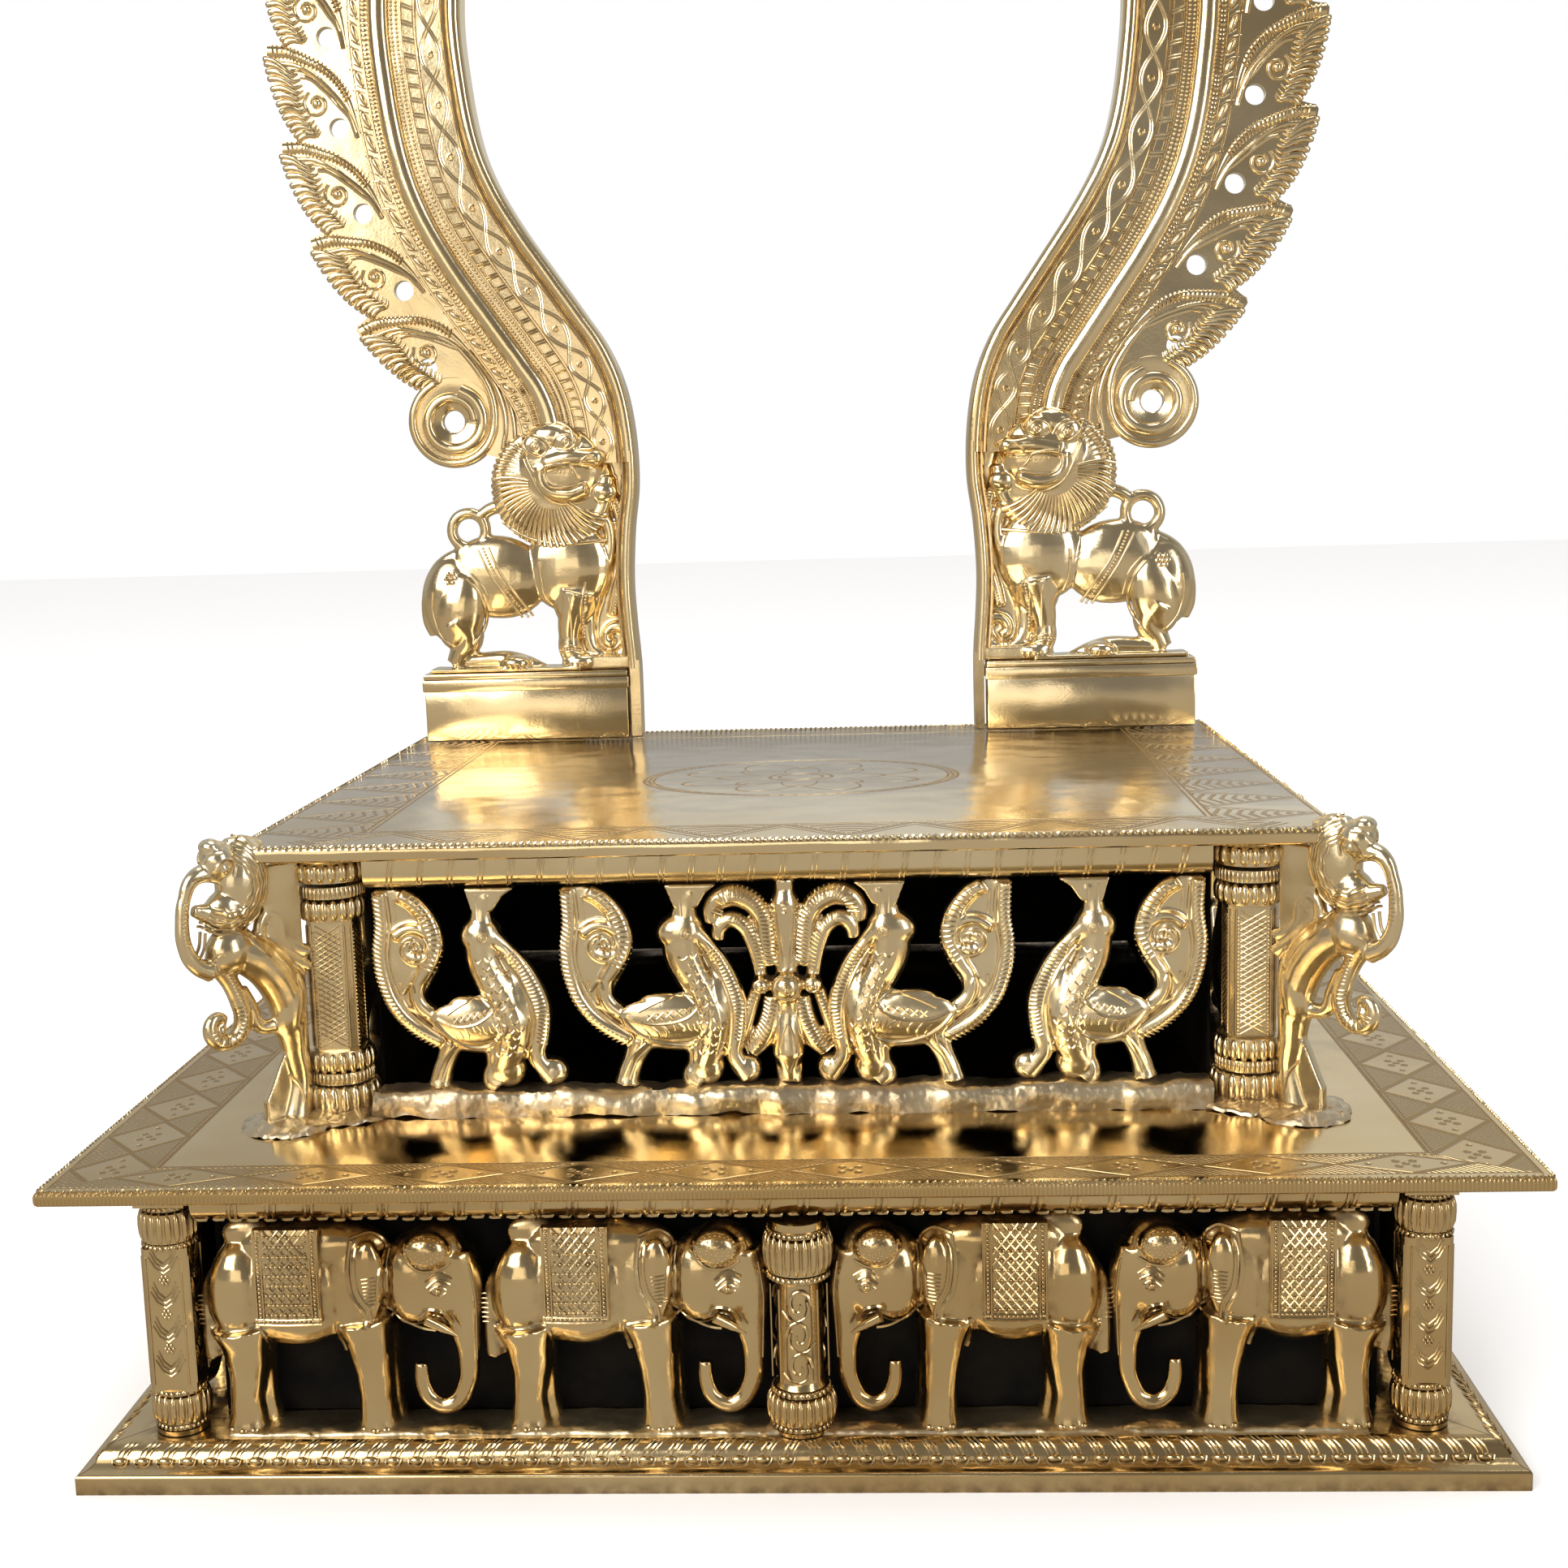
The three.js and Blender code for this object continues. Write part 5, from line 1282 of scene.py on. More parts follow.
def sculpted(bm, voxel, smoothing=3, keep=0.6):
    mesh = cast(bm, voxel, smoothing, 0.6)
    uneven(mesh, 7.0, 0.18)
    mesh = evaluated(mesh, ("DECIMATE", {"ratio": keep}))
    return mesh, surfaceOf(mesh)


def dressed(mesh, detail):  # a figure's skin with its raised lines and beads
    detail.from_mesh(mesh)
    return bake(detail)


def fitted(mesh, node, side, reach, length, height, facesBack, widen=1.0):  # puts a figure at its CAD node
    low, high = nodeBox(node)
    axis = 0 if side == "front" else 1
    start, end = (-high[axis], -low[axis]) if side == "left" else (low[axis], high[axis])
    stretch = (end - start) / length * widen
    matrix = sides[side] @ move((start + end) / 2, -reach, low.z) @ grow(
        -stretch if facesBack else stretch, 1, (high.z - low.z) / height)
    return placed(mesh, matrix @ move(-length / 2, 0, 0))


# Elephant walking towards +X

elephantSize = {"length": 72.4, "height": 58.0, "stretch": 1.055, "voxel": 0.62,
                "blanket": (16.2, 33.0, 32.2, 57.8)}


def blanketDepth(x, z):
    return -8.2 - 0.5 * math.cos((x - 24.6) / 8.4 * 1.2) + 0.9 * max(0.0, (z - 50) / 8) ** 2


def addBlanket(bm):
    left, right, low, high = elephantSize["blanket"]
    cloth = bmesh.new()
    middle = move((left + right) / 2, 0, (low + high) / 2) @ Matrix.Rotation(quarter, 4, "X")
    bmesh.ops.create_grid(cloth, x_segments=12, y_segments=18, size=0.5,
                          matrix=middle @ grow(right - left, high - low, 1))
    for vertex in cloth.verts:
        vertex.co.y = blanketDepth(vertex.co.x, vertex.co.z)
    pulled(cloth, cloth.faces[:], (0, 2.4, 0))
    stamp(bm, bake(cloth))
    inner = (left + 2.6, right - 2.6, low + 1.6, high)
    reach = inner[3] - inner[2]
    dot = bead(0.5)
    for i in range(-9, 9):
        for lean in (-1, 1):
            start = (inner[0] + inner[1]) / 2 + i * 2.35
            spots = []
            for k in range(25):
                x, z = start + lean * k * reach / 24 * 0.82, inner[2] + k * reach / 24
                if inner[0] <= x <= inner[1]:
                    spots.append((x, blanketDepth(x, z) - 0.05, z, 0.34))
            if len(spots) > 3:
                tubes(bm, [[spots[0], spots[len(spots) // 2], spots[-1]]], 3, 2)
    for i in range(10):
        for k in range(9):
            x, z = inner[0] + 0.5 + (i + 0.5 * (k % 2)) * 1.17, inner[2] + 1.0 + k * reach / 9
            if x < inner[1]:
                stamp(bm, dot, move(x, blanketDepth(x, z) - 0.12, z))
    for x in (left + 0.5, left + 2.2, right - 2.2, right - 0.5):
        tubes(bm, [[(x, blanketDepth(x, z), z, 0.36) for z in (low, (low + high) / 2, high)]], 3, 3)
    for x in (left + 1.35, right - 1.35):
        for i in range(22):
            z = low + 0.8 + i * 1.14
            stamp(bm, dot, move(x, blanketDepth(x, z) - 0.05, z))
    for z in (low + 0.1, low + 1.5):
        tubes(bm, [[(x, blanketDepth(x, z), z - 0.35 * math.cos((x - 24.6) / 8.4), 0.36)
                    for x in (left, (left + right) / 2, right)]], 3, 3)
    for i in range(14):
        x = left + 0.9 + i * 1.16
        stamp(bm, dot, move(x, blanketDepth(x, low) - 0.05, low + 0.75))


def elephantMesh():
    bm = bmesh.new()
    for x, z, along, tall, deep in (
        (10.4, 38.0, 8.6, 15.0, 7.8), (24.7, 38.6, 16.6, 16.0, 8.2), (39.8, 39.6, 9.6, 16.9, 7.4),
        (29.5, 51.3, 19.9, 7.1, 6.6), (55.9, 41.5, 8.6, 12.9, 8.0), (62.4, 38.8, 6.7, 9.8, 7.6),
        (61.1, 49.0, 8.1, 7.7, 6.8), (13.0, 54.1, 6.9, 4.7, 2.5),
    ):
        blob(bm, (x, 0, z), (along, deep, tall))
    blob(bm, (60.0, -5.0, 50.9), (6.1, 4.0, 5.0), 0.1)
    blob(bm, (44.3, -5.4, 42.3), (4.6, 2.9, 11.6), 0.05)
    limbs(bm, [
        [(10.2, 29.0, 8.0), (11.0, 22.0, 6.0), (10.9, 15.0, 4.8), (10.4, 8.6, 4.3), (10.4, 4.0, 4.8),
         (10.4, 0.5, 5.6)],
        [(42.0, 31.0, 7.6), (43.2, 23.0, 5.8), (43.9, 15.5, 4.8), (44.2, 8.6, 4.4), (44.5, 4.0, 4.9),
         (44.6, 0.5, 5.6)],
    ], -1.4)
    limbs(bm, [
        [(13.0, 28.6, 5.0), (13.7, 16.1, 3.6), (13.9, 7.4, 3.4), (14.3, 0.8, 4.2)],
        [(45.6, 28.6, 5.0), (46.7, 16.1, 3.6), (47.0, 7.4, 3.4), (47.2, 0.8, 4.2)],
    ], 2.6)
    limbs(bm, [
        [(65.3, 49.0, 6.0), (67.4, 38.8, 5.8), (67.8, 28.6, 4.3), (68.4, 19.2, 3.0), (67.4, 11.4, 2.7),
         (63.5, 5.9, 2.6), (58.9, 6.5, 2.4), (56.1, 11.8, 2.1), (55.9, 17.6, 1.8)],
        [(6.2, 46.6, 1.8), (2.1, 39.6, 2.0), (1.2, 28.6, 1.9), (2.1, 19.8, 2.6)],
    ])
    body, tree = sculpted(bm, elephantSize["voxel"])
    skin = bmesh.new()
    draped(skin, tree, [
        lineOf([(40.6, 53.7), (39.8, 46.6), (40.8, 39.6), (43.4, 35.0), (43.8, 30.3)], 0.62),
        lineOf([(42.4, 53.1), (41.7, 46.6), (42.7, 40.4), (44.9, 36.1), (45.4, 31.7)], 0.5),
        lineOf([(40.5, 54.1), (44.9, 54.8), (48.2, 52.5), (48.7, 49.0)], 0.6),
        lineOf([(48.7, 49.6), (47.6, 41.9), (47.9, 34.9), (52.0, 31.4), (56.6, 28.0), (60.5, 27.2)], 0.55),
        lineOf([(49.8, 50.2), (48.7, 41.9), (49.1, 35.7)], 0.4),
        lineOf([(16.1, 30.2), (17.3, 26.3), (16.9, 21.6)], 0.55),
        lineOf([(36.4, 31.4), (35.8, 26.3), (37.1, 21.9)], 0.55),
        lineOf([(57.6, 32.9), (60.0, 35.0), (63.3, 34.3), (65.3, 30.2)], 0.6),
        lineOf([(59.2, 31.7), (61.1, 33.3), (63.1, 32.1), (63.8, 29.8)], 0.5),
        lineOf([(60.0, 41.3), (62.8, 43.3), (65.7, 41.8)], 0.42),
        lineOf([(59.6, 42.9), (62.8, 44.9), (66.2, 43.3)], 0.34),
        lineOf([(60.5, 40.2), (62.8, 41.8), (64.9, 40.2), (62.8, 39.1), (60.5, 40.2)], 0.32),
        lineOf([(70.3, 46.6), (71.4, 38.0), (71.1, 28.6), (70.7, 19.2)], 0.3),
        lineOf([(54.6, 52.9), (55.2, 49.0), (58.3, 46.0), (62.4, 45.7), (65.9, 47.6)], 0.42),
    ], 3, 2)
    studOn(skin, tree, bead(0.95), 62.8, 40.4, 0.1)
    tusk = [(59.4, 32.7, 1.5), (63.5, 30.2, 1.2), (67.1, 27.7, 0.3)]
    tubes(skin, [[(x, -7.6 + 0.6 * i, z, radius) for i, (x, z, radius) in enumerate(tusk)]], 6, 3)
    dot = bead(0.34)
    for ring, count in ((0.8, 5), (1.9, 11), (3.0, 18), (4.1, 24)):
        for i in range(count):
            turn = 2 * math.pi * i / count
            x, z = 60.0 + 1.2 * ring * math.cos(turn), 50.9 + ring * math.sin(turn)
            studOn(skin, tree, dot, x, z, 0.05)
    crossRibs(skin, tree, [(45.3, 44.9), (45.8, 39.6), (46.1, 35.0)], 3.4, 1.05, 0.3)
    crossRibs(skin, tree, [(0.1, 38.0), (0.1, 28.6)], 1.8, 1.3, 0.3)
    toe = bead(1, (1.3, 0.9, 1.1))
    for x in (7.2, 10.0, 12.7, 41.5, 44.3, 47.0):
        stamp(skin, toe, move(x, frontAt(tree, x, 1.2) + 0.3, 1.0))
    addBlanket(skin)
    return dressed(body, skin)


def addElephants():
    shape = elephantMesh()
    for side, reach, count in around("lower", 4, 3):
        for i in range(1, count + 1):
            node = f"elephant_{side}_{i}"
            back = side == "right" or (side == "front" and i > 2)
            mesh = fitted(shape, node, side, reach, elephantSize["length"], elephantSize["height"], back,
                          elephantSize["stretch"])
            finishPiece(f"elephant{side.capitalize()}{i}", mesh, warmBrass, "base", [node], 50)


addElephants()
report("elephants made")

# Swan facing +X, with a scrolled plume and a ribbed garland from its beak

swanSize = {
    "length": 49.1, "height": 56.4, "voxel": 0.46, "bodyFrom": 18.3, "bodyTo": 28.6, "outerStretch": 1.078,
}


def swanMesh():
    bm = bmesh.new()
    slabOf(bm, [(0.6, 56.1), (1.0, 46.9), (0.1, 37.5), (1.0, 29.7), (3.9, 21.7), (8.9, 15.6), (15.8, 10.8),
                (22.3, 12.5), (22.3, 20.3), (16.5, 21.2), (12.8, 24.4), (13.4, 27.7), (16.5, 32.8), (18.3, 38.7),
                (17.0, 46.1), (14.6, 50.8), (10.8, 54.7), (6.5, 56.2)], -1.5, 2.0)
    for x, z, along, tall, deep, y, turn in (
        (26.0, 16.4, 12.4, 7.4, 4.4, 0, 0.05), (36.0, 19.2, 6.0, 13.4, 4.8, 0, 0.12),
        (28.2, 42.6, 5.7, 5.9, 4.8, 0, 0), (25.0, 18.8, 10.6, 6.2, 2.4, -3.3, 0.1),
        (25.2, 21.8, 6.8, 4.4, 2.6, -2.4, 0.3), (45.6, 3.8, 4.3, 4.2, 3.6, 0, 0), (33.2, 4.6, 5.4, 5.4, 3.8, 0, 0),
    ):
        blob(bm, (x, y, z), (along, deep, tall), turn)
    limbs(bm, [
        [(28.2, 42.5, 4.7), (28.5, 36.7, 4.7), (30.5, 30.8, 5.0), (33.4, 25.2, 5.5), (35.6, 18.0, 5.8),
         (34.4, 10.0, 5.0), (32.2, 4.3, 3.6)],
        [(28.6, 46.0, 3.4), (28.9, 50.4, 2.9), (30.2, 53.6, 3.0), (31.4, 55.0, 2.4)],
        [(19.2, 12.5, 3.3), (17.3, 7.0, 2.7), (15.9, 2.2, 2.9), (15.5, -0.2, 3.5)],
        [(31.2, 10.2, 3.4), (30.6, 5.5, 2.9), (29.8, 1.6, 3.2), (31.4, -0.2, 3.6)],
    ])
    limbs(bm, [
        [(34.0, 40.0, 2.0), (37.9, 35.0, 2.6), (41.0, 28.9, 2.8), (43.2, 21.9, 2.9), (43.0, 14.8, 2.8),
         (41.8, 8.6, 2.7), (43.8, 4.6, 2.8), (46.2, 1.6, 3.0)],
        [(31.4, 42.2, 2.8), (34.2, 39.6, 2.0), (35.7, 36.4, 1.2)],
    ], -0.9)
    slabOf(bm, [(30.5, 41), (34.5, 39.5), (38.4, 34), (41.5, 28), (43.4, 21), (42.6, 9), (36, 8), (33, 20),
                (29.5, 30)],
           -1.6, 2.0)  # the casting skin between neck and garland
    slabOf(bm, [(26.2, 50), (24.6, 56.4), (38, 56.4), (34.6, 54), (32, 50)], -2.6, 2.4)
    limbs(bm, [
        [(2.1, 55.3, 2.0), (2.4, 46.1, 2.0), (1.6, 37.5, 2.1), (2.6, 29.7, 2.1), (5.4, 22.5, 2.1),
         (10.3, 16.9, 2.1), (16.8, 12.9, 2.3)],
        [(7.6, 54.7, 2.0), (11.2, 52.5, 2.3), (14.9, 46.9, 2.5), (16.0, 39.4, 2.5), (13.7, 33.6, 2.3),
         (11.2, 28.9, 2.0), (11.3, 24.2, 2.2), (16.5, 19.1, 2.6)],
    ], -1.2)
    limbs(bm, [spiral(10.8, 39.8, 6.2, 1.2, 1.15, 2.6, 1.5, 8, -1)], -1.6)
    blob(bm, (10.8, -2.4, 37.1), (1.9, 1.5, 2.0))
    body, tree = sculpted(bm, swanSize["voxel"], 2)
    skin = bmesh.new()
    crossRibs(skin, tree, [(1.7, 55.5), (1.9, 46.1), (1.0, 37.5), (2.1, 29.7), (4.9, 22.0), (9.6, 16.2),
                           (15.8, 11.9)],
              2.6, 1.3, 0.38, 0.5)
    crossRibs(skin, tree, [(9.3, 54.1), (13.7, 49.8), (16.3, 44.1), (16.5, 38.3), (14.2, 33.2)], 3.2, 1.5, 0.4, 0.3)
    crossRibs(skin, tree, [(35.6, 38.4), (39.9, 32.8), (42.8, 26.6), (44.4, 19.5), (43.5, 11.7)],
              3.0, 1.15, 0.4, 0.3, side=-0.4)
    draped(skin, tree, [
        lineOf([(4.1, 54.3), (4.6, 46.1), (3.6, 37.5), (4.6, 30.5), (7.1, 23.7), (11.7, 18.4), (16.8, 14.8)], 0.5),
        lineOf([(5.8, 53.5), (6.2, 46.9)], 0.4),
        lineOf([(33.2, 37.6), (36.4, 33.6), (39.2, 28.1), (41.0, 21.9), (40.8, 14.8), (39.7, 8.6)], 0.55),
        lineOf([(15.8, 19.5), (19.9, 14.5), (25.4, 11.6), (31.2, 12.7), (34.8, 17.2), (35.0, 22.0)], 0.55),
        lineOf([(16.5, 20.3), (21.6, 18.1), (27.1, 18.9), (31.2, 22.0), (33.4, 25.0)], 0.5),
        lineOf([(19.2, 21.5), (23.0, 24.1), (27.1, 25.8), (30.2, 25.4)], 0.45),
        lineOf([(14.8, 2.3), (17.2, 7.8), (20.3, 12.1)], 0.4),
        lineOf([(16.5, 1.7), (18.5, 6.9), (21.1, 10.9)], 0.35),
        lineOf([(6.5, 29.7), (7.6, 23.4), (13.4, 20.3)], 0.45),
        lineOf([(7.3, 26.6), (9.6, 29.7), (10.8, 27.3)], 0.5), lineOf([(27.5, 54.7), (27.8, 47.7)], 0.3),
        lineOf([(30.4, 54.7), (29.9, 47.7)], 0.3), lineOf([(32.3, 40.6), (34.7, 38.3), (35.8, 35.2)], 0.35),
    ], 3, 2)
    draped(skin, tree, [spiral(10.8, 39.1, 4.6, 1.4, 1.3, 0.9, 0.4, 8, -1)], 3, 2)
    feathers = []
    for i in range(11):
        x, z = 17.5 + i * 1.65, 17.0 - 0.9 * abs(i - 5) ** 0.5 + 0.22 * i
        feathers.append([(x - 0.6, z + 0.9, 0.2), (x + 0.6, z - 1.4, 0.34),
                         (x + 0.2, z - 4.2 + 0.09 * i * i, 0.24)])
    for i in range(7):
        x = 21.0 + i * 1.75
        feathers.append([(x, 20.6 + 0.42 * i, 0.22), (x + 1.3, 18.9 + 0.42 * i, 0.28)])
        feathers.append([(x + 1.3, 20.9 + 0.42 * i, 0.22), (x, 19.2 + 0.42 * i, 0.28)])
    draped(skin, tree, feathers, 3, 2)
    scales = []
    for row in range(13):
        for i in range(4):
            x = 28.0 + row * 0.72 - 0.03 * row * row + i * 2.5 + 1.25 * (row % 2)
            z = 36.4 - row * 2.25 + i * 0.35
            if z > 7 and x < 33.4 + 0.62 * row:
                scales.append([(x - 0.95, z + 0.45, 0.24), (x, z - 0.6, 0.38), (x + 0.95, z + 0.45, 0.24)])
    draped(skin, tree, scales, 2, 2)
    draped(skin, tree, [spiral(29.2, 43.0, 1.5, 1.5, 1, 0, 0.36, 10)], 3, 1)
    studOn(skin, tree, bead(0.6), 29.2, 43.0, 0.1)
    return dressed(body, skin)


def addSwans():
    shape = swanMesh()
    wide, outer = shape.copy(), shape.copy()  # the two beside the lotus are broader and reach it
    for vertex in wide.vertices:
        x = vertex.co.x
        if x < swanSize["bodyFrom"]:
            vertex.co.x = x * 1.11 + 2.1
        elif x < swanSize["bodyTo"]:
            vertex.co.x = 22.4 + (x - swanSize["bodyFrom"]) * 1.5
        else:
            vertex.co.x = 37.9 + (x - swanSize["bodyTo"]) * 0.94
    for vertex in outer.vertices:
        vertex.co.x *= swanSize["outerStretch"]
    fronts = (outer, wide, wide, outer)
    for side, reach, count in around("upper", 4, 2):
        for i in range(1, count + 1):
            node = f"swan_{side}_{i}"
            mesh = fitted(fronts[i - 1] if side == "front" else shape, node, side, reach + tiers["friezeOut"],
                          swanSize["length"], swanSize["height"], i > count / 2)
            finishPiece(f"swan{side.capitalize()}{i}", mesh, castBrass, "base", [node], 50)


addSwans()
report("swans made")

# Lotus spray between the swans

lotusSize = {"height": 56.4, "voxel": 0.46}


def lotusMesh():
    half = bmesh.new()
    limbs(half, [
        [(20.6, 45.0, 1.8), (20.0, 49.6, 2.6), (15.9, 52.6, 3.3), (10.6, 51.8, 3.3), (6.8, 47.8, 3.0),
         (5.5, 41.0, 2.7), (4.6, 33.0, 2.3)],
        [(18.6, 40.4, 1.8), (18.2, 43.6, 2.2), (15.2, 46.0, 2.4), (11.8, 44.4, 2.4), (9.6, 40.4, 2.3),
         (8.1, 35.0, 2.1), (7.2, 30.0, 2.0)],
        [(3.9, 24.4, 2.5), (5.0, 17.6, 3.0), (7.4, 12.2, 3.2), (10.4, 8.4, 2.4)],
        [(8.4, 26.6, 1.8), (10.6, 20.3, 2.1), (12.8, 13.9, 2.2), (14.6, 9.9, 2.2), (14.8, 5.7, 2.2),
         (12.3, 2.8, 2.2), (10.2, 5.0, 2.0)],
        [(2.2, 10.0, 1.8), (2.4, 5.0, 1.5), (1.2, 0.0, 2.2)],
    ])
    blob(half, (7.1, -2.0, 28.0), (2.7, 3.8, 2.6))
    side = bake(half)
    bm = bmesh.new()
    stamp(bm, side)
    stamp(bm, side, grow(-1, 1, 1))
    limbs(bm, [
        [(0, 57.2, 3.0), (0, 54.4, 2.8), (0, 50.5, 4.2), (0, 44, 3.6), (0, 36, 2.8), (0, 28, 3.4), (0, 20, 2.8),
         (0, 12.5, 4.0), (0, 8.0, 4.6), (0, 4.0, 3.0), (0, 0, 2.6)],
        [(-7, 28.0, 1.8), (0, 28.0, 2.2), (7, 28.0, 1.8)],
    ])
    blob(bm, (0, -2.6, 27.4), (4.5, 4.8, 4.4))
    body, tree = sculpted(bm, lotusSize["voxel"], 2)
    skin = bmesh.new()
    for sign in (-1, 1):
        def at(points):
            return [(sign * x, z) for x, z in points]
        crossRibs(skin, tree, at([(18.9, 47.5), (17.6, 51.9), (14.6, 54.0), (10.0, 53.4), (5.9, 49.0), (4.6, 41.5),
                                  (4.1, 34.0)]), 3.2, 1.15, 0.42, 0.4)
        crossRibs(skin, tree, at([(14.6, 46.9), (11.0, 45.7), (8.5, 41.4), (7.1, 35.6), (6.8, 31.5)]),
                  2.2, 1.15, 0.36, 0.3)
        crossRibs(skin, tree, at([(4.4, 24.0), (5.6, 17.6), (8.6, 12.4), (12.0, 9.6)]), 3.4, 1.15, 0.42, 0.5)
        crossRibs(skin, tree, at([(8.6, 25.6), (11.2, 20.0), (14.0, 13.9), (16.6, 10.2)]), 1.9, 1.1, 0.34, 0.3)
        draped(skin, tree, [[(x, z, 0.4) for x, z in at([(1.2, 34), (2.0, 42), (2.6, 48), (0.6, 51.5)])],
                            [(x, z, 0.4) for x, z in at([(0.4, 17), (2.2, 10), (0.6, 3)])],
                            [(x, z, 0.34) for x, z in at([(3.6, 51.5), (0.0, 49.4)])],
                            [(x, z, 0.34) for x, z in at([(3.6, 50.4), (0.0, 48.2)])]], 3, 2)
        draped(skin, tree, [spiral(sign * 7.1, 28.0, 1.7, 1.7, 1, 0, 0.36, 10)], 3, 1)
        stamp(skin, bead(0.75), move(sign * 7.1, -5.8, 28.0))
    draped(skin, tree, [spiral(0, 27.6, 1.6, 1.6, 1, 0, 0.4, 10), spiral(0, 27.6, 3.3, 3.3, 1, 0, 0.38, 12)], 3, 1)
    stamp(skin, bead(0.9), move(0, -7.3, 27.6))
    return dressed(body, skin)


def addLotus():
    shape = lotusMesh()
    for side, reach in (("front", tiers["upperY"]), ("left", tiers["upperX"]), ("right", tiers["upperX"])):
        low, high = nodeBox("lotus_" + side)
        matrix = sides[side] @ move(0, -reach - tiers["friezeOut"], low.z) @ grow(
            1, 1, (high.z - low.z) / lotusSize["height"])
        finishPiece("lotus" + side.capitalize(), placed(shape, matrix), castBrass, "base", ["lotus_" + side],
                    50)


addLotus()
report("lotus sprays made")

# Lion on the foot block, its rump at X = 0 and its head towards the middle of the throne

lionValues = {"outerX": 144.0, "middleY": 109.0, "standZ": 191.6, "voxel": 0.56, "mane": (51.7, 68.5, 23.0)}


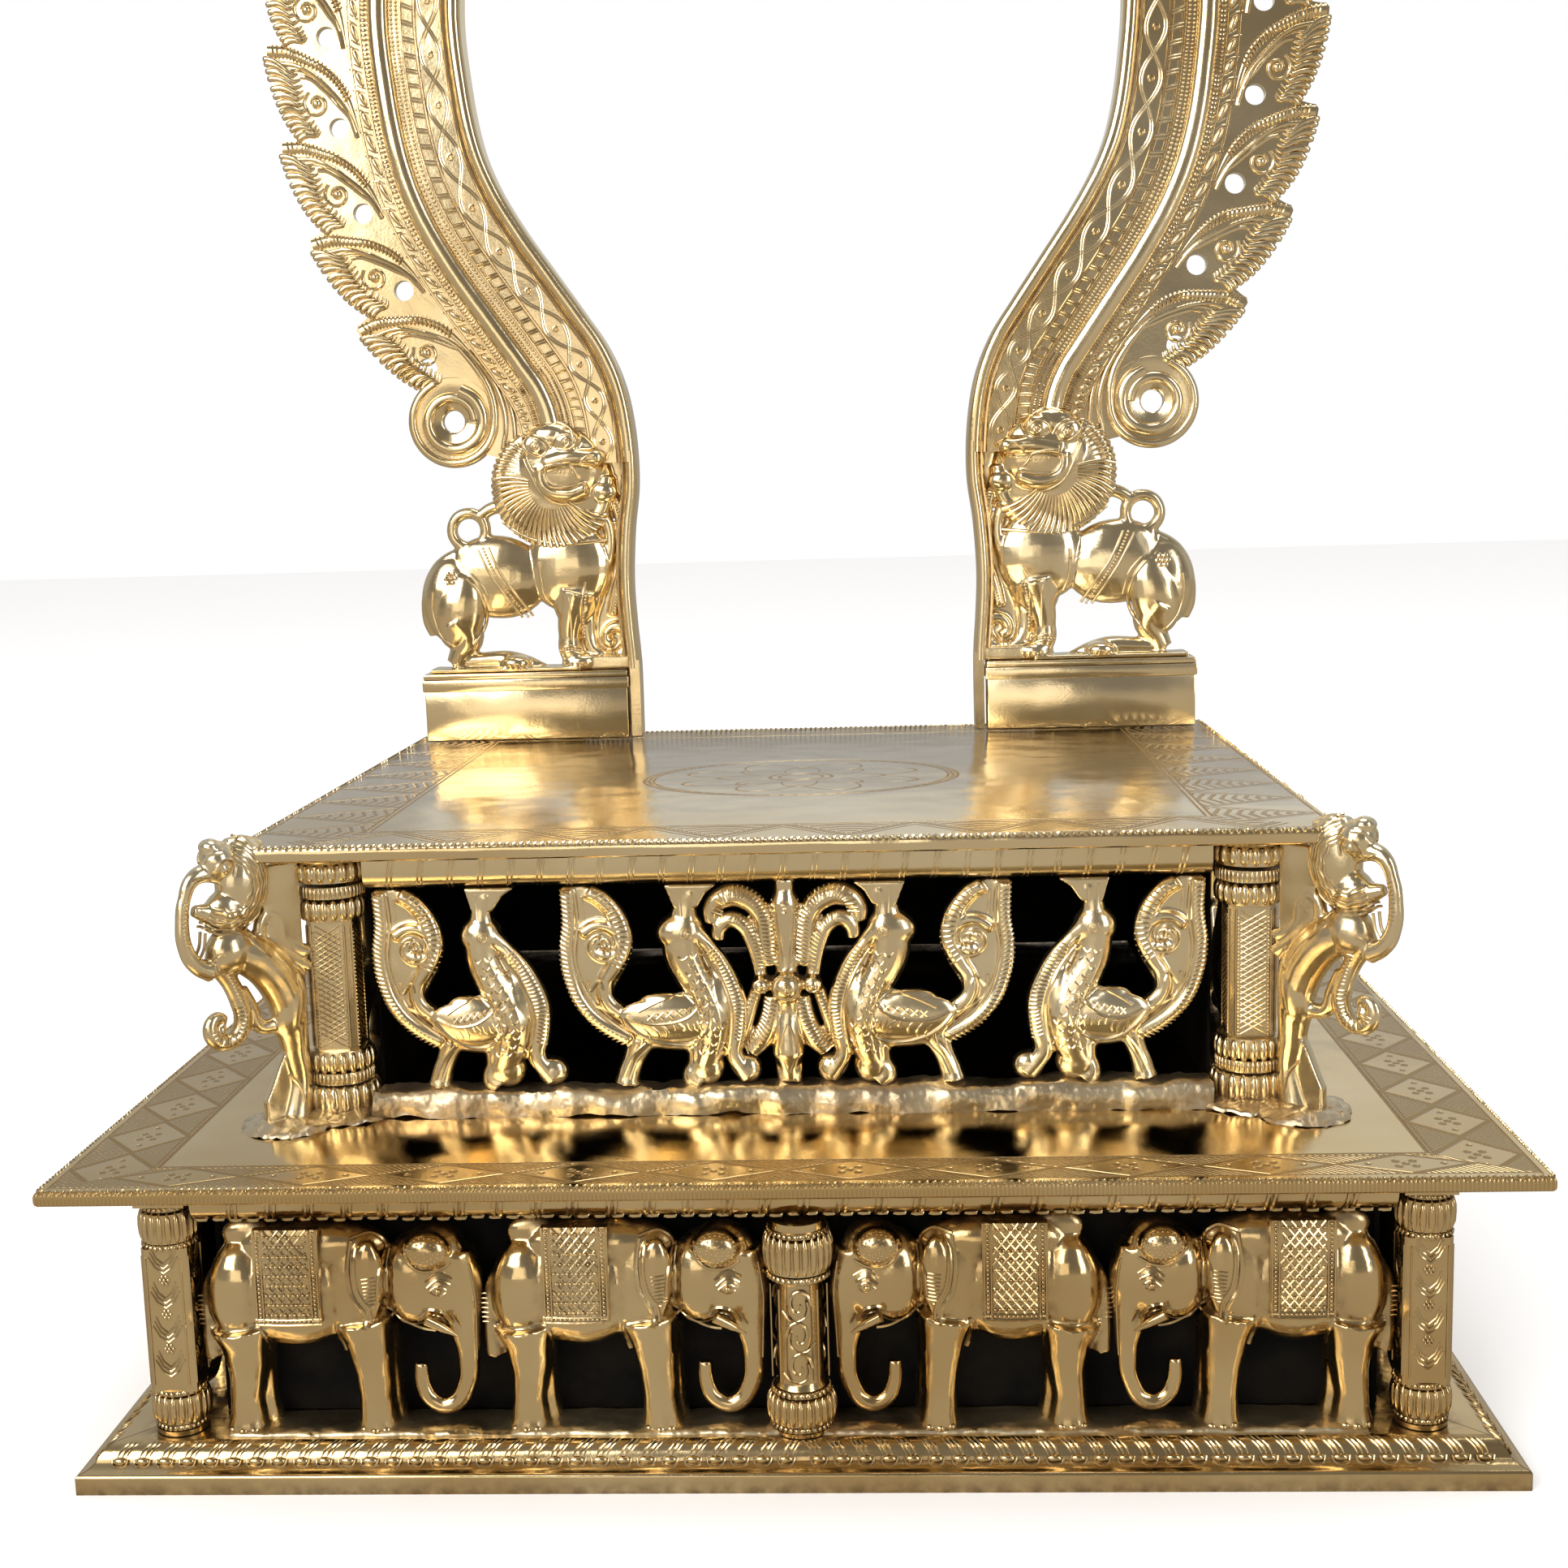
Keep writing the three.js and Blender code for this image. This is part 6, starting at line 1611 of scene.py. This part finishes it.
def lionMesh():
    bm = bmesh.new()
    maneX, maneZ, maneRadius = lionValues["mane"]
    for x, z, along, tall, deep, y, turn in (
        (maneX, maneZ, maneRadius - 0.6, maneRadius - 0.6, 6.6, 0, 0), (54.6, 75.2, 16.0, 15.2, 6.2, -2.6, 0),
        (52.2, 86.0, 9.6, 5.8, 5.0, -3.6, 0), (11.5, 27.2, 11.2, 16.4, 6.4, 0, 0.1),
        (14.6, 23.2, 9.4, 15.2, 5.6, -2.6, 0.2), (29.0, 35.2, 19.2, 15.6, 6.0, 0, 0.15),
        (56.2, 38.4, 16.4, 17.2, 6.8, 0, 0), (57.8, 26.8, 8.4, 12.0, 5.8, -0.6, 0.1),
        (68.2, 78.2, 3.8, 3.2, 3.2, -6.0, 0), (70.6, 65.6, 5.0, 4.0, 3.4, -2.4, 0),
        (57.8, 84.4, 5.0, 4.8, 3.2, -6.4, 0), (46.6, 83.2, 5.3, 4.6, 2.8, -6.4, 0.2),
        (34.6, 2.8, 6.0, 3.2, 4.6, -2.4, 0), (58.6, 2.8, 6.8, 3.4, 4.6, -1.6, 0),
    ):
        blob(bm, (x, y, z), (along, deep, tall), turn, 24)
    rim = [(maneX + 19.8 * math.cos(a), maneZ + 19.8 * math.sin(a), 3.3)
           for a in [math.radians(115 + 23 * k) for k in range(12)]]
    limbs(bm, [rim], -1.0)
    limbs(bm, [
        [(58.6, 28.8, 7.4), (56.3, 20.0, 5.4), (55.2, 12.0, 4.2), (55.5, 7.2, 4.6), (58.2, 2.8, 4.2),
         (63.0, 2.0, 3.2)],
        [(13.4, 19.2, 8.0), (17.0, 12.8, 5.6), (13.8, 7.2, 4.4), (12.0, 2.8, 4.2)],
        [(10.6, 2.8, 3.4), (21.0, 3.8, 3.3), (32.2, 4.0, 3.5), (40.2, 2.2, 2.8), (45.8, 1.0, 1.4)],
    ], -0.8)
    limbs(bm, [
        [(3.0, 13.6, 1.3), (1.9, 19.2, 2.4), (2.2, 27.2, 2.8), (5.0, 36.0, 3.0), (9.4, 41.2, 2.8),
         (14.6, 44.0, 2.6)],
        [(65.0, 27.2, 3.6), (62.6, 18.4, 3.2), (63.0, 11.2, 3.0), (65.0, 2.4, 3.6)],
    ], 0.6)
    ring = [(19.0 + 6.35 * math.cos(a), 52.8 + 6.35 * math.sin(a), 2.15)
            for a in [2 * math.pi * k / 12 for k in range(13)]]
    limbs(bm, [
        ring, [(23.0, 57.6, 2.2), (28.2, 60.8, 2.4), (33.0, 61.6, 2.6)], [(16.6, 47.4, 2.2), (15.4, 43.2, 2.4)],
    ], -0.4)
    limbs(bm, [
        [(49.8, 76.4, 3.6), (58.6, 78.2, 3.8), (66.6, 78.2, 3.0)],
        [(47.8, 75.2, 2.6), (49.4, 68.0, 2.8), (57.0, 65.2, 3.0), (64.6, 67.2, 2.6)],
    ], -6.2)
    limbs(bm, [
        [(71.4, 67.2, 2.2), (75.2, 59.2, 2.3), (77.1, 49.6, 2.2), (76.6, 38.4, 2.2), (73.4, 27.2, 2.2),
         (71.8, 20.0, 1.9)],
        [(67.0, 61.6, 1.9), (71.5, 52.8, 2.1), (71.2, 41.6, 2.1), (67.0, 31.2, 2.1), (63.2, 22.4, 2.1),
         (62.2, 12.8, 2.1), (65.0, 6.4, 2.3), (71.0, 4.2, 2.5), (76.0, 7.2, 2.5), (77.1, 12.4, 2.3),
         (74.2, 15.6, 2.0), (69.8, 14.2, 1.8), (69.0, 10.4, 1.7), (71.5, 9.0, 1.6)],
    ], -0.6)
    slabOf(bm, [(58.6, 38.4), (70.6, 57.6), (77.8, 49.6), (77.4, 35.2), (75.4, 23.2), (77.4, 12.8), (75.4, 4.0),
                (62.6, 2.4), (59.4, 19.2)], 0.0, 3.4)
    slabOf(bm, [(64, 56), (62, 92), (76.4, 92), (77.4, 56)], 0.0, 3.4)
    slabOf(bm, [(58.6, 4.8), (77.4, 4.8), (77.4, 0.1), (58.6, 0.1)], -4.5, 4.5)
    slabOf(bm, [(2.6, 1.4), (59.4, 1.4), (59.4, 0), (2.6, 0)], -6.5, 6.5)
    body, tree = sculpted(bm, lionValues["voxel"], 2)
    skin = bmesh.new()
    locks = []
    for k in range(38):  # hooked locks round the rim
        angle = math.radians(128 + k * 6.3)
        if math.cos(angle) > 0.84 and math.sin(angle) < 0.3:
            continue
        long = math.radians(165) < angle < math.radians(320)  # below the face they reach further in
        low, high, size = (8.6, 22.6, 1.2) if long else (15.0, 22.6, 1.1)
        path = []
        for i in range(5):
            reach = low + (high - low) * i / 4
            turn = angle + 0.13 * (i / 4) ** 2
            path.append((maneX + reach * math.cos(turn), maneZ + reach * math.sin(turn),
                         size * (0.4 + 0.6 * i / 4)))
        locks.append(path)
    draped(skin, tree, locks, 4, 2, 0.1)
    dot = bead(0.62)
    draped(skin, tree, [
        lineOf([(40.6, 87.2), (45.8, 87.2), (50.2, 85.2), (52.2, 82.0)], 0.6),
        lineOf([(41.4, 86.6), (43.0, 82.0), (47.8, 79.2), (50.6, 81.4), (48.3, 85.0), (43.4, 86.4), (41.4, 86.6)],
               0.42),
        lineOf([(48.2, 89.6), (53.8, 91.6), (59.4, 88.8), (61.4, 84.0)], 0.65),
        lineOf([(52.6, 82.8), (54.6, 86.0), (58.6, 86.8), (61.4, 83.6), (58.6, 81.4), (54.6, 82.0)], 0.5),
        lineOf([(41.8, 78.4), (44.2, 72.8), (48.2, 65.6), (55.4, 61.6), (63.8, 62.8)], 0.6),
        lineOf([(43.0, 79.2), (45.8, 73.6), (49.4, 75.2)], 0.45),
        lineOf([(50.2, 75.2), (49.4, 71.6), (51.4, 68.4), (57.0, 67.8), (63.8, 69.2)], 0.7),
        lineOf([(50.2, 75.6), (53.8, 76.2), (59.4, 75.2), (61.0, 72.8), (62.6, 71.0)], 0.6),
        lineOf([(62.6, 76.0), (65.4, 78.8), (68.6, 78.2), (67.8, 75.2), (64.6, 73.8)], 0.55),
        lineOf([(38.6, 91.2), (43.4, 92.8), (48.2, 91.6)], 0.6),
        lineOf([(37.8, 89.2), (39.4, 84.0), (41.8, 80.4)], 0.5),
        lineOf([(45.9, 40.4), (45.8, 35.2), (46.6, 29.6), (48.3, 25.2)], 0.75),
        lineOf([(18.2, 35.2), (22.2, 30.4), (24.6, 23.2), (23.0, 16.0), (19.4, 10.4)], 0.7),
        lineOf([(19.8, 36.8), (24.6, 31.2), (26.6, 23.2)], 0.45),
        lineOf([(5.0, 30.4), (4.3, 23.2), (6.6, 15.2), (10.6, 10.4)], 0.6),
        lineOf([(22.6, 45.6), (27.4, 36.0), (32.2, 28.4), (37.8, 20.0)], 0.5),
        lineOf([(26.6, 46.4), (31.0, 36.8), (35.8, 29.6), (41.8, 20.4)], 0.5),
        lineOf([(32.2, 55.6), (41.8, 49.6), (54.6, 47.0), (70.6, 48.0)], 0.7),
        lineOf([(62.6, 32.8), (61.0, 25.6), (60.2, 16.0)], 0.5),
        lineOf([(56.2, 29.6), (56.6, 20.0), (56.3, 11.2)], 0.45),
        lineOf([(52.2, 8.4), (55.8, 9.0), (59.5, 8.0)], 0.6), lineOf([(52.0, 6.4), (55.8, 7.0), (59.8, 6.0)], 0.6),
        lineOf([(73.8, 60.8), (75.8, 51.2), (75.4, 39.2), (72.2, 28.0), (70.6, 20.8)], 0.5),
    ], 4, 2)
    beadsOn(skin, tree, [(24.6, 46.0), (29.1, 36.4), (33.9, 29.0), (39.8, 20.2)], 1.25, dot)
    beadsOn(skin, tree, [(51.8, 7.4), (55.8, 8.0), (59.8, 7.0)], 1.2, dot)
    beadsOn(skin, tree, [(63.0, 28.8), (61.0, 19.2), (61.0, 11.2)], 1.3, dot)
    crossRibs(skin, tree, [(72.6, 65.6), (75.8, 58.4), (77.8, 48.8), (77.1, 38.4), (74.2, 27.2), (72.6, 20.8)],
              2.6, 1.1, 0.4, 0.3)
    crossRibs(skin, tree, [(65.8, 7.2), (71.0, 5.4), (75.2, 8.0), (76.0, 12.4)], 2.4, 1.4, 0.36, 0.3)
    for x, z, size in ((46.6, 82.8, 1.45), (57.9, 84.2, 1.1)):
        studOn(skin, tree, bead(size), x, z, size * 0.45)
        draped(skin, tree, [spiral(x, z, size * 1.3, size * 1.3, 1, 0, 0.3, 10)], 3, 1)
    for i in range(5):
        x = 53.8 + i * 1.6
        stamp(skin, bead(0.6, (0.8, 1, 1.2)), move(x, frontAt(tree, x, 73.4) - 0.2, 73.4 - 0.1 * i))
    for i in range(4):  # toes
        for x in (32.2 + i * 1.9, 56.6 + i * 2.0):
            stamp(skin, bead(1, (1.1, 1.5, 1.5)), move(x, frontAt(tree, x, 2.2) + 0.7, 2.0))
    petal = bead(1, (1.15, 0.7, 1.15))
    for i in range(6):
        turn = i * math.pi / 3
        x, z = 12.2 + 1.9 * math.cos(turn), 35.2 + 1.9 * math.sin(turn)
        studOn(skin, tree, petal, x, z)
    studOn(skin, tree, bead(1.2), 12.2, 35.2)
    return dressed(body, skin)


def addLions():
    shape = lionMesh()
    for side, sign in (("left", 1), ("right", -1)):
        matrix = move(-sign * lionValues["outerX"], lionValues["middleY"], lionValues["standZ"])
        mesh = placed(shape, matrix @ grow(sign, 1, 1))
        finishPiece("lion" + side.capitalize(), mesh, armBrass, "arch", ["lion_" + side], 50)


addLions()
report("lions made")

# Rearing beast at a front corner: the pillar's axis is at X = 0 and the head towards -X

beastValues = {"x": 127.0, "y": 97.0, "z": 86.8, "voxel": 0.5}


def beastMesh():
    bm = bmesh.new()
    slabOf(bm, [(-10.3, 0), (-10.3, 73.4), (-23.0, 73.4), (-20.6, 53.6), (-15.5, 43.2), (-16.9, 22.4), (-24.4, 7.5),
                (-24.4, 0)], -1.5, 1.5)
    for x, z, along, tall, deep, turn in (
        (-27.0, 70.5, 7.1, 12.3, 6.0, 0.1), (-33.2, 76.8, 4.9, 5.2, 5.2, 0), (-35.2, 80.6, 2.9, 2.3, 3.6, 0),
        (-31.1, 63.2, 6.6, 5.3, 5.2, 0.2), (-15.5, 33.9, 5.3, 11.3, 5.8, 0.1), (-31.1, 51.9, 7.2, 6.7, 5.6, -0.4),
    ):
        blob(bm, (x, 0, z), (along, deep, tall), turn)
    limbs(bm, [
        [(-32.9, 53.2, 5.0), (-25.7, 49.2, 5.8), (-19.7, 43.2, 5.9), (-16.1, 35.3, 5.6), (-14.9, 27.3, 4.8),
         (-14.2, 19.3, 3.7), (-13.2, 11.3, 3.3), (-14.2, 5.3, 3.8), (-15.5, 0.1, 4.4)],
        [(-33.5, 73.5, 3.2), (-37.4, 73.7, 2.6), (-40.8, 72.5, 2.2), (-43.3, 67.8, 1.7), (-44.5, 61.2, 1.8),
         (-44.1, 54.5, 2.1), (-41.6, 49.6, 2.4), (-36.8, 46.6, 3.0)],
        [(-28.1, 63.2, 4.6), (-33.5, 61.7, 3.8), (-38.2, 63.2, 2.6), (-41.3, 64.2, 1.6)],
        [(-35.9, 49.2, 3.0), (-32.3, 43.2, 2.5), (-29.9, 37.2, 2.5), (-29.2, 31.9, 2.5), (-31.7, 27.3, 2.4),
         (-36.2, 26.9, 2.3), (-38.7, 30.6, 2.1), (-37.0, 33.8, 1.8), (-34.2, 32.6, 1.6)],
        [(-29.3, 40.6, 2.0), (-26.6, 34.6, 2.2), (-24.5, 29.3, 2.2), (-19.7, 28.6, 2.4)],
        [(-22.0, 52.5, 1.7), (-22.4, 57.1, 1.7), (-19.7, 60.0, 1.7), (-16.4, 57.2, 1.7), (-15.7, 52.5, 1.7),
         (-12.6, 49.1, 1.9), (-8.7, 47.2, 2.2)],
        [(-21.9, 53.2, 1.7), (-17.3, 49.6, 2.1), (-12.6, 45.6, 2.1), (-8.7, 42.9, 2.2)],
        [(-30.5, 79.8, 2.6), (-25.1, 79.8, 2.6), (-20.9, 78.2, 2.4)],
    ])
    blob(bm, (-35.8, 0, 30.6), (1.7, 2.4, 1.7))
    body, tree = sculpted(bm, beastValues["voxel"], 2)
    skin = bmesh.new()
    face = detailOfBeast(tree)
    stamp(skin, face)
    stamp(skin, placed(face, grow(1, -1, 1)))
    return dressed(body, skin)


def detailOfBeast(tree):  # engraved lines of one face; the other face mirrors them
    bm = bmesh.new()
    hair = []
    for k in range(7):
        path = []
        points = smoothPath([(-29.9, 80.2), (-25.7, 76.8), (-23.6, 71.2), (-24.5, 65.2), (-28.1, 60.5),
                             (-33.5, 59.9), (-38.0, 62.2)], 4)
        for i, spot in enumerate(points):
            ahead = (points[min(i + 1, len(points) - 1)] - points[max(i - 1, 0)]).normalized()
            across = Vector((-ahead.y, ahead.x))
            shift = (k - 3.2) * 1.08 + 0.22 * math.sin(i * 1.9 + k)
            place = spot + across * shift
            path.append((place.x, place.y, 0.42))
        hair.append(path)
    draped(bm, tree, hair, 3, 2, 0.05)
    crossRibs(bm, tree, [(-30.5, 36.6), (-29.8, 31.3), (-32.0, 27.6), (-36.2, 27.6), (-38.4, 30.9)],
              2.4, 1.2, 0.34, 0.2)
    crossRibs(bm, tree, [(-43.3, 67.2), (-44.4, 61.2), (-44.0, 55.2)], 2.0, 1.1, 0.3, 0.2)
    crossRibs(bm, tree, [(-33.5, 46.6), (-31.4, 41.9), (-30.2, 37.2)], 1.8, 1.1, 0.3, 0.2)
    draped(bm, tree, [
        lineOf([(-36.2, 72.5), (-35.9, 75.5), (-32.9, 77.5), (-30.5, 75.5), (-31.1, 72.5)], 0.5),
        lineOf([(-38.0, 76.5), (-36.8, 78.8), (-33.8, 79.2)], 0.5),
        lineOf([(-41.9, 72.5), (-39.5, 73.2), (-36.5, 71.7)], 0.4),
        lineOf([(-38.9, 57.9), (-39.5, 53.9), (-41.0, 51.2)], 0.45),
        lineOf([(-36.8, 46.6), (-37.4, 49.9), (-35.3, 51.9)], 0.5),
        lineOf([(-27.5, 55.2), (-25.7, 52.5), (-22.1, 49.2)], 0.45),
        lineOf([(-17.3, 14.0), (-14.9, 10.6), (-14.2, 6.0)], 0.5),
    ], 3, 2)
    studOn(bm, tree, bead(1.5, (1, 0.7, 1)), -33.5, 75.0)
    return bake(bm)


def addBeasts():
    shape = beastMesh()
    for side, sign in (("left", -1), ("right", 1)):
        turn = Matrix.Rotation(-sign * math.pi / 4, 4, "Z")
        place = move(sign * beastValues["x"], -beastValues["y"], beastValues["z"]) @ turn
        mesh = placed(shape, place @ grow(-sign, 1, 1))
        finishPiece("beast" + side.capitalize(), mesh, castBrass, "base", ["beast_bracket_" + side],
                    50)


addBeasts()
report("corner beasts made")

# Crest over the joint of the arms

crestValues = {"z": 589.8, "middleY": 109.0, "voxel": 0.5}


def addCrest():
    bm = bmesh.new()
    slabOf(bm, [(-11, 0), (11, 0), (11, 10), (8, 13), (-8, 13), (-11, 10)], -4.6, 4.6)
    # a key over the joint of the arms
    slabOf(bm, [(-7.6, 3), (7.6, 3), (5.6, -14), (3.2, -40), (-3.2, -40), (-5.6, -14)], -6.4, 6.2)
    for x, z, along, tall, deep in ((0, 48.5, 8.4, 15, 4.8), (0, 19.5, 11, 14, 4.8)):
        blob(bm, (x, 0, z), (along, deep, tall))
    limbs(bm, [[(0, 52, 6.4), (0, 65, 3.6), (0, 73.6, 0.8)]])
    for sign in (-1, 1):
        limbs(bm, [
            [(sign * 3, 32, 4.6), (sign * 12.8, 44, 4.2), (sign * 19, 56, 2.8), (sign * 23.5, 64, 1.2)],
            [(sign * 3, 32, 4.4), (sign * 15.5, 38.8, 3.8), (sign * 24.4, 43, 3.0), (sign * 27, 51, 1.4)],
        ])
    body, tree = sculpted(bm, crestValues["voxel"], 2)
    skin = bmesh.new()
    for sign in (-1, 1):
        for share in (0.25, 0.6, 0.9):
            draped(skin, tree, [lineOf([(sign * 1.2, 33), (sign * 7.4 * share, 44), (sign * 6.8 * share, 55),
                                        (sign * 0.6, 69)], 0.5)], 4, 2)
        draped(skin, tree, [[(sign * 6.2, -2, 0.6), (sign * 4.2, -18, 0.5), (sign * 2.4, -38, 0.4)]], 4, 3)
        crossRibs(skin, tree, [(sign * 6, 34), (sign * 13.5, 43), (sign * 19.5, 55.5)], 3.6, 1.5, 0.5, 0.5)
        crossRibs(skin, tree, [(sign * 8, 34.5), (sign * 16, 38), (sign * 24, 43), (sign * 26.5, 48)],
                  3.2, 1.5, 0.45, 0.5)
    crossRibs(skin, tree, [(0, -3), (0, -36)], 4.0, 2.2, 0.5, 0.0)
    petal = bmesh.new()
    bmesh.ops.create_icosphere(petal, subdivisions=2, radius=1, matrix=grow(1.3, 0.9, 4.2))
    shape = bake(petal)
    for i in range(12):
        turn = move(0, -4.2, 20) @ Matrix.Rotation(i * math.pi / 6, 4, "Y")
        stamp(skin, shape, turn @ move(0, 0, 6.6))
    stamp(skin, bead(3.0, (1, 0.7, 1)), move(0, -4.6, 20))
    mesh = dressed(body, skin)
    mesh.transform(move(0, crestValues["middleY"], crestValues["z"]))
    finishPiece("crest", mesh, armBrass, "arch", ["arch_crest"], 50)


addCrest()
report("crest made")

# Floor, light and camera

room = {
    "floorColour": (0.86, 0.85, 0.84, 1), "backdrop": (1, 1, 1, 1), "floorLight": (1.15, 1.15, 1.15, 1),
    "lowFront": (0.47, 0.42, 0.35, 1), "lowBack": (0.36, 0.33, 0.28, 1), "highFront": (0.19, 0.18, 0.17, 1),
    "highBack": (0.44, 0.45, 0.47, 1),
}


def addRoom():
    bm = bmesh.new()
    bmesh.ops.create_grid(bm, x_segments=1, y_segments=1, size=6)
    mesh = bpy.data.meshes.new("studioFloor")
    bm.to_mesh(mesh)
    bm.free()
    material = bpy.data.materials.new("paleFloor")
    material.use_nodes = True
    shader = material.node_tree.nodes["Principled BSDF"]
    shader.inputs["Base Color"].default_value = room["floorColour"]
    shader.inputs["Roughness"].default_value = 0.9
    shader.inputs["Specular IOR Level"].default_value = 0.0
    mesh.materials.append(material)
    studioFloor = bpy.data.objects.new("studioFloor", mesh)
    scene.collection.objects.link(studioFloor)
    studioFloor.visible_glossy = False  # the metal mirrors the dimmer room below instead


def addWorld():  # white behind the object and on the floor, a dimmer studio in the metal
    world = bpy.data.worlds.new("studio")
    world.use_nodes = True
    tree = world.node_tree
    background = tree.nodes["Background"]
    direction = addNode(tree, "ShaderNodeTexCoord").outputs["Generated"]
    heading = addNode(tree, "ShaderNodeSeparateXYZ", {0: direction}).outputs
    back = ramp(tree, heading[1], -0.3, 0.3)
    low = mixColour(tree, back, room["lowFront"], room["lowBack"])
    high = mixColour(tree, back, room["highFront"], room["highBack"])
    surroundings = mixColour(tree, ramp(tree, heading[2], -0.06, 0.1), low, high)
    path = addNode(tree, "ShaderNodeLightPath").outputs
    surroundings = mixColour(tree, path["Is Diffuse Ray"], surroundings, room["floorLight"])
    surroundings = mixColour(tree, path["Is Camera Ray"], surroundings, room["backdrop"])
    tree.links.new(surroundings, background.inputs["Color"])
    scene.world = world


softboxes = {
    "keyLight": {"at": (-1.2, -1.6, 1.3), "size": (1.5, 1.5), "power": 32, "colour": (1, 0.98, 0.95)},
    "fillLight": {"at": (1.6, -1.4, 0.9), "size": (0.5, 1.6), "power": 11, "colour": (0.95, 0.97, 1)},
    "topLight": {"at": (0.1, 0.1, 2.2), "size": (1.2, 0.8), "power": 12, "colour": (1, 1, 1)},
    "backLight": {"at": (0.3, 1.9, 1.2), "size": (2.2, 1.2), "power": 2, "colour": (0.92, 0.96, 1)},
    "lowLight": {"at": (-0.5, -2.0, 0.3), "size": (1.2, 0.5), "power": 2, "colour": (1, 0.9, 0.75)},
}


def addLights():
    for name, values in softboxes.items():
        light = bpy.data.lights.new(name, "AREA")
        light.shape = "RECTANGLE"
        light.size, light.size_y = values["size"]
        light.energy = values["power"]
        light.color = values["colour"]
        lamp = bpy.data.objects.new(name, light)
        lamp.location = values["at"]
        aim = Vector((0, 0, 0.2)) - lamp.location
        lamp.rotation_euler = aim.to_track_quat("-Z", "Y").to_euler()
        scene.collection.objects.link(lamp)


viewpoint = {
    "at": (0.02735, -0.63518, 0.25944), "pitch": 0.1512, "yaw": 0.0499, "roll": -0.0282, "focalShare": 2450 / 1932,
}


def addCamera():
    data = bpy.data.cameras.new("photoCamera")
    data.sensor_width = 36
    data.lens = 36 * viewpoint["focalShare"]
    camera = bpy.data.objects.new("photoCamera", data)
    pitch, yaw, roll = viewpoint["pitch"], viewpoint["yaw"], viewpoint["roll"]
    right = Vector((math.cos(yaw), math.sin(yaw), 0))
    up = Vector((-math.sin(yaw) * math.sin(pitch), math.cos(yaw) * math.sin(pitch), math.cos(pitch)))
    turnedRight = math.cos(roll) * right + math.sin(roll) * up
    turnedUp = math.cos(roll) * up - math.sin(roll) * right
    back = turnedRight.cross(turnedUp)
    rotation = Matrix((turnedRight, turnedUp, back)).transposed().to_4x4()
    camera.matrix_world = Matrix.Translation(viewpoint["at"]) @ rotation
    scene.collection.objects.link(camera)
    scene.camera = camera


addRoom()
addWorld()
addLights()
addCamera()
scene.view_settings.view_transform = "Standard"
report("room, lights and camera made")
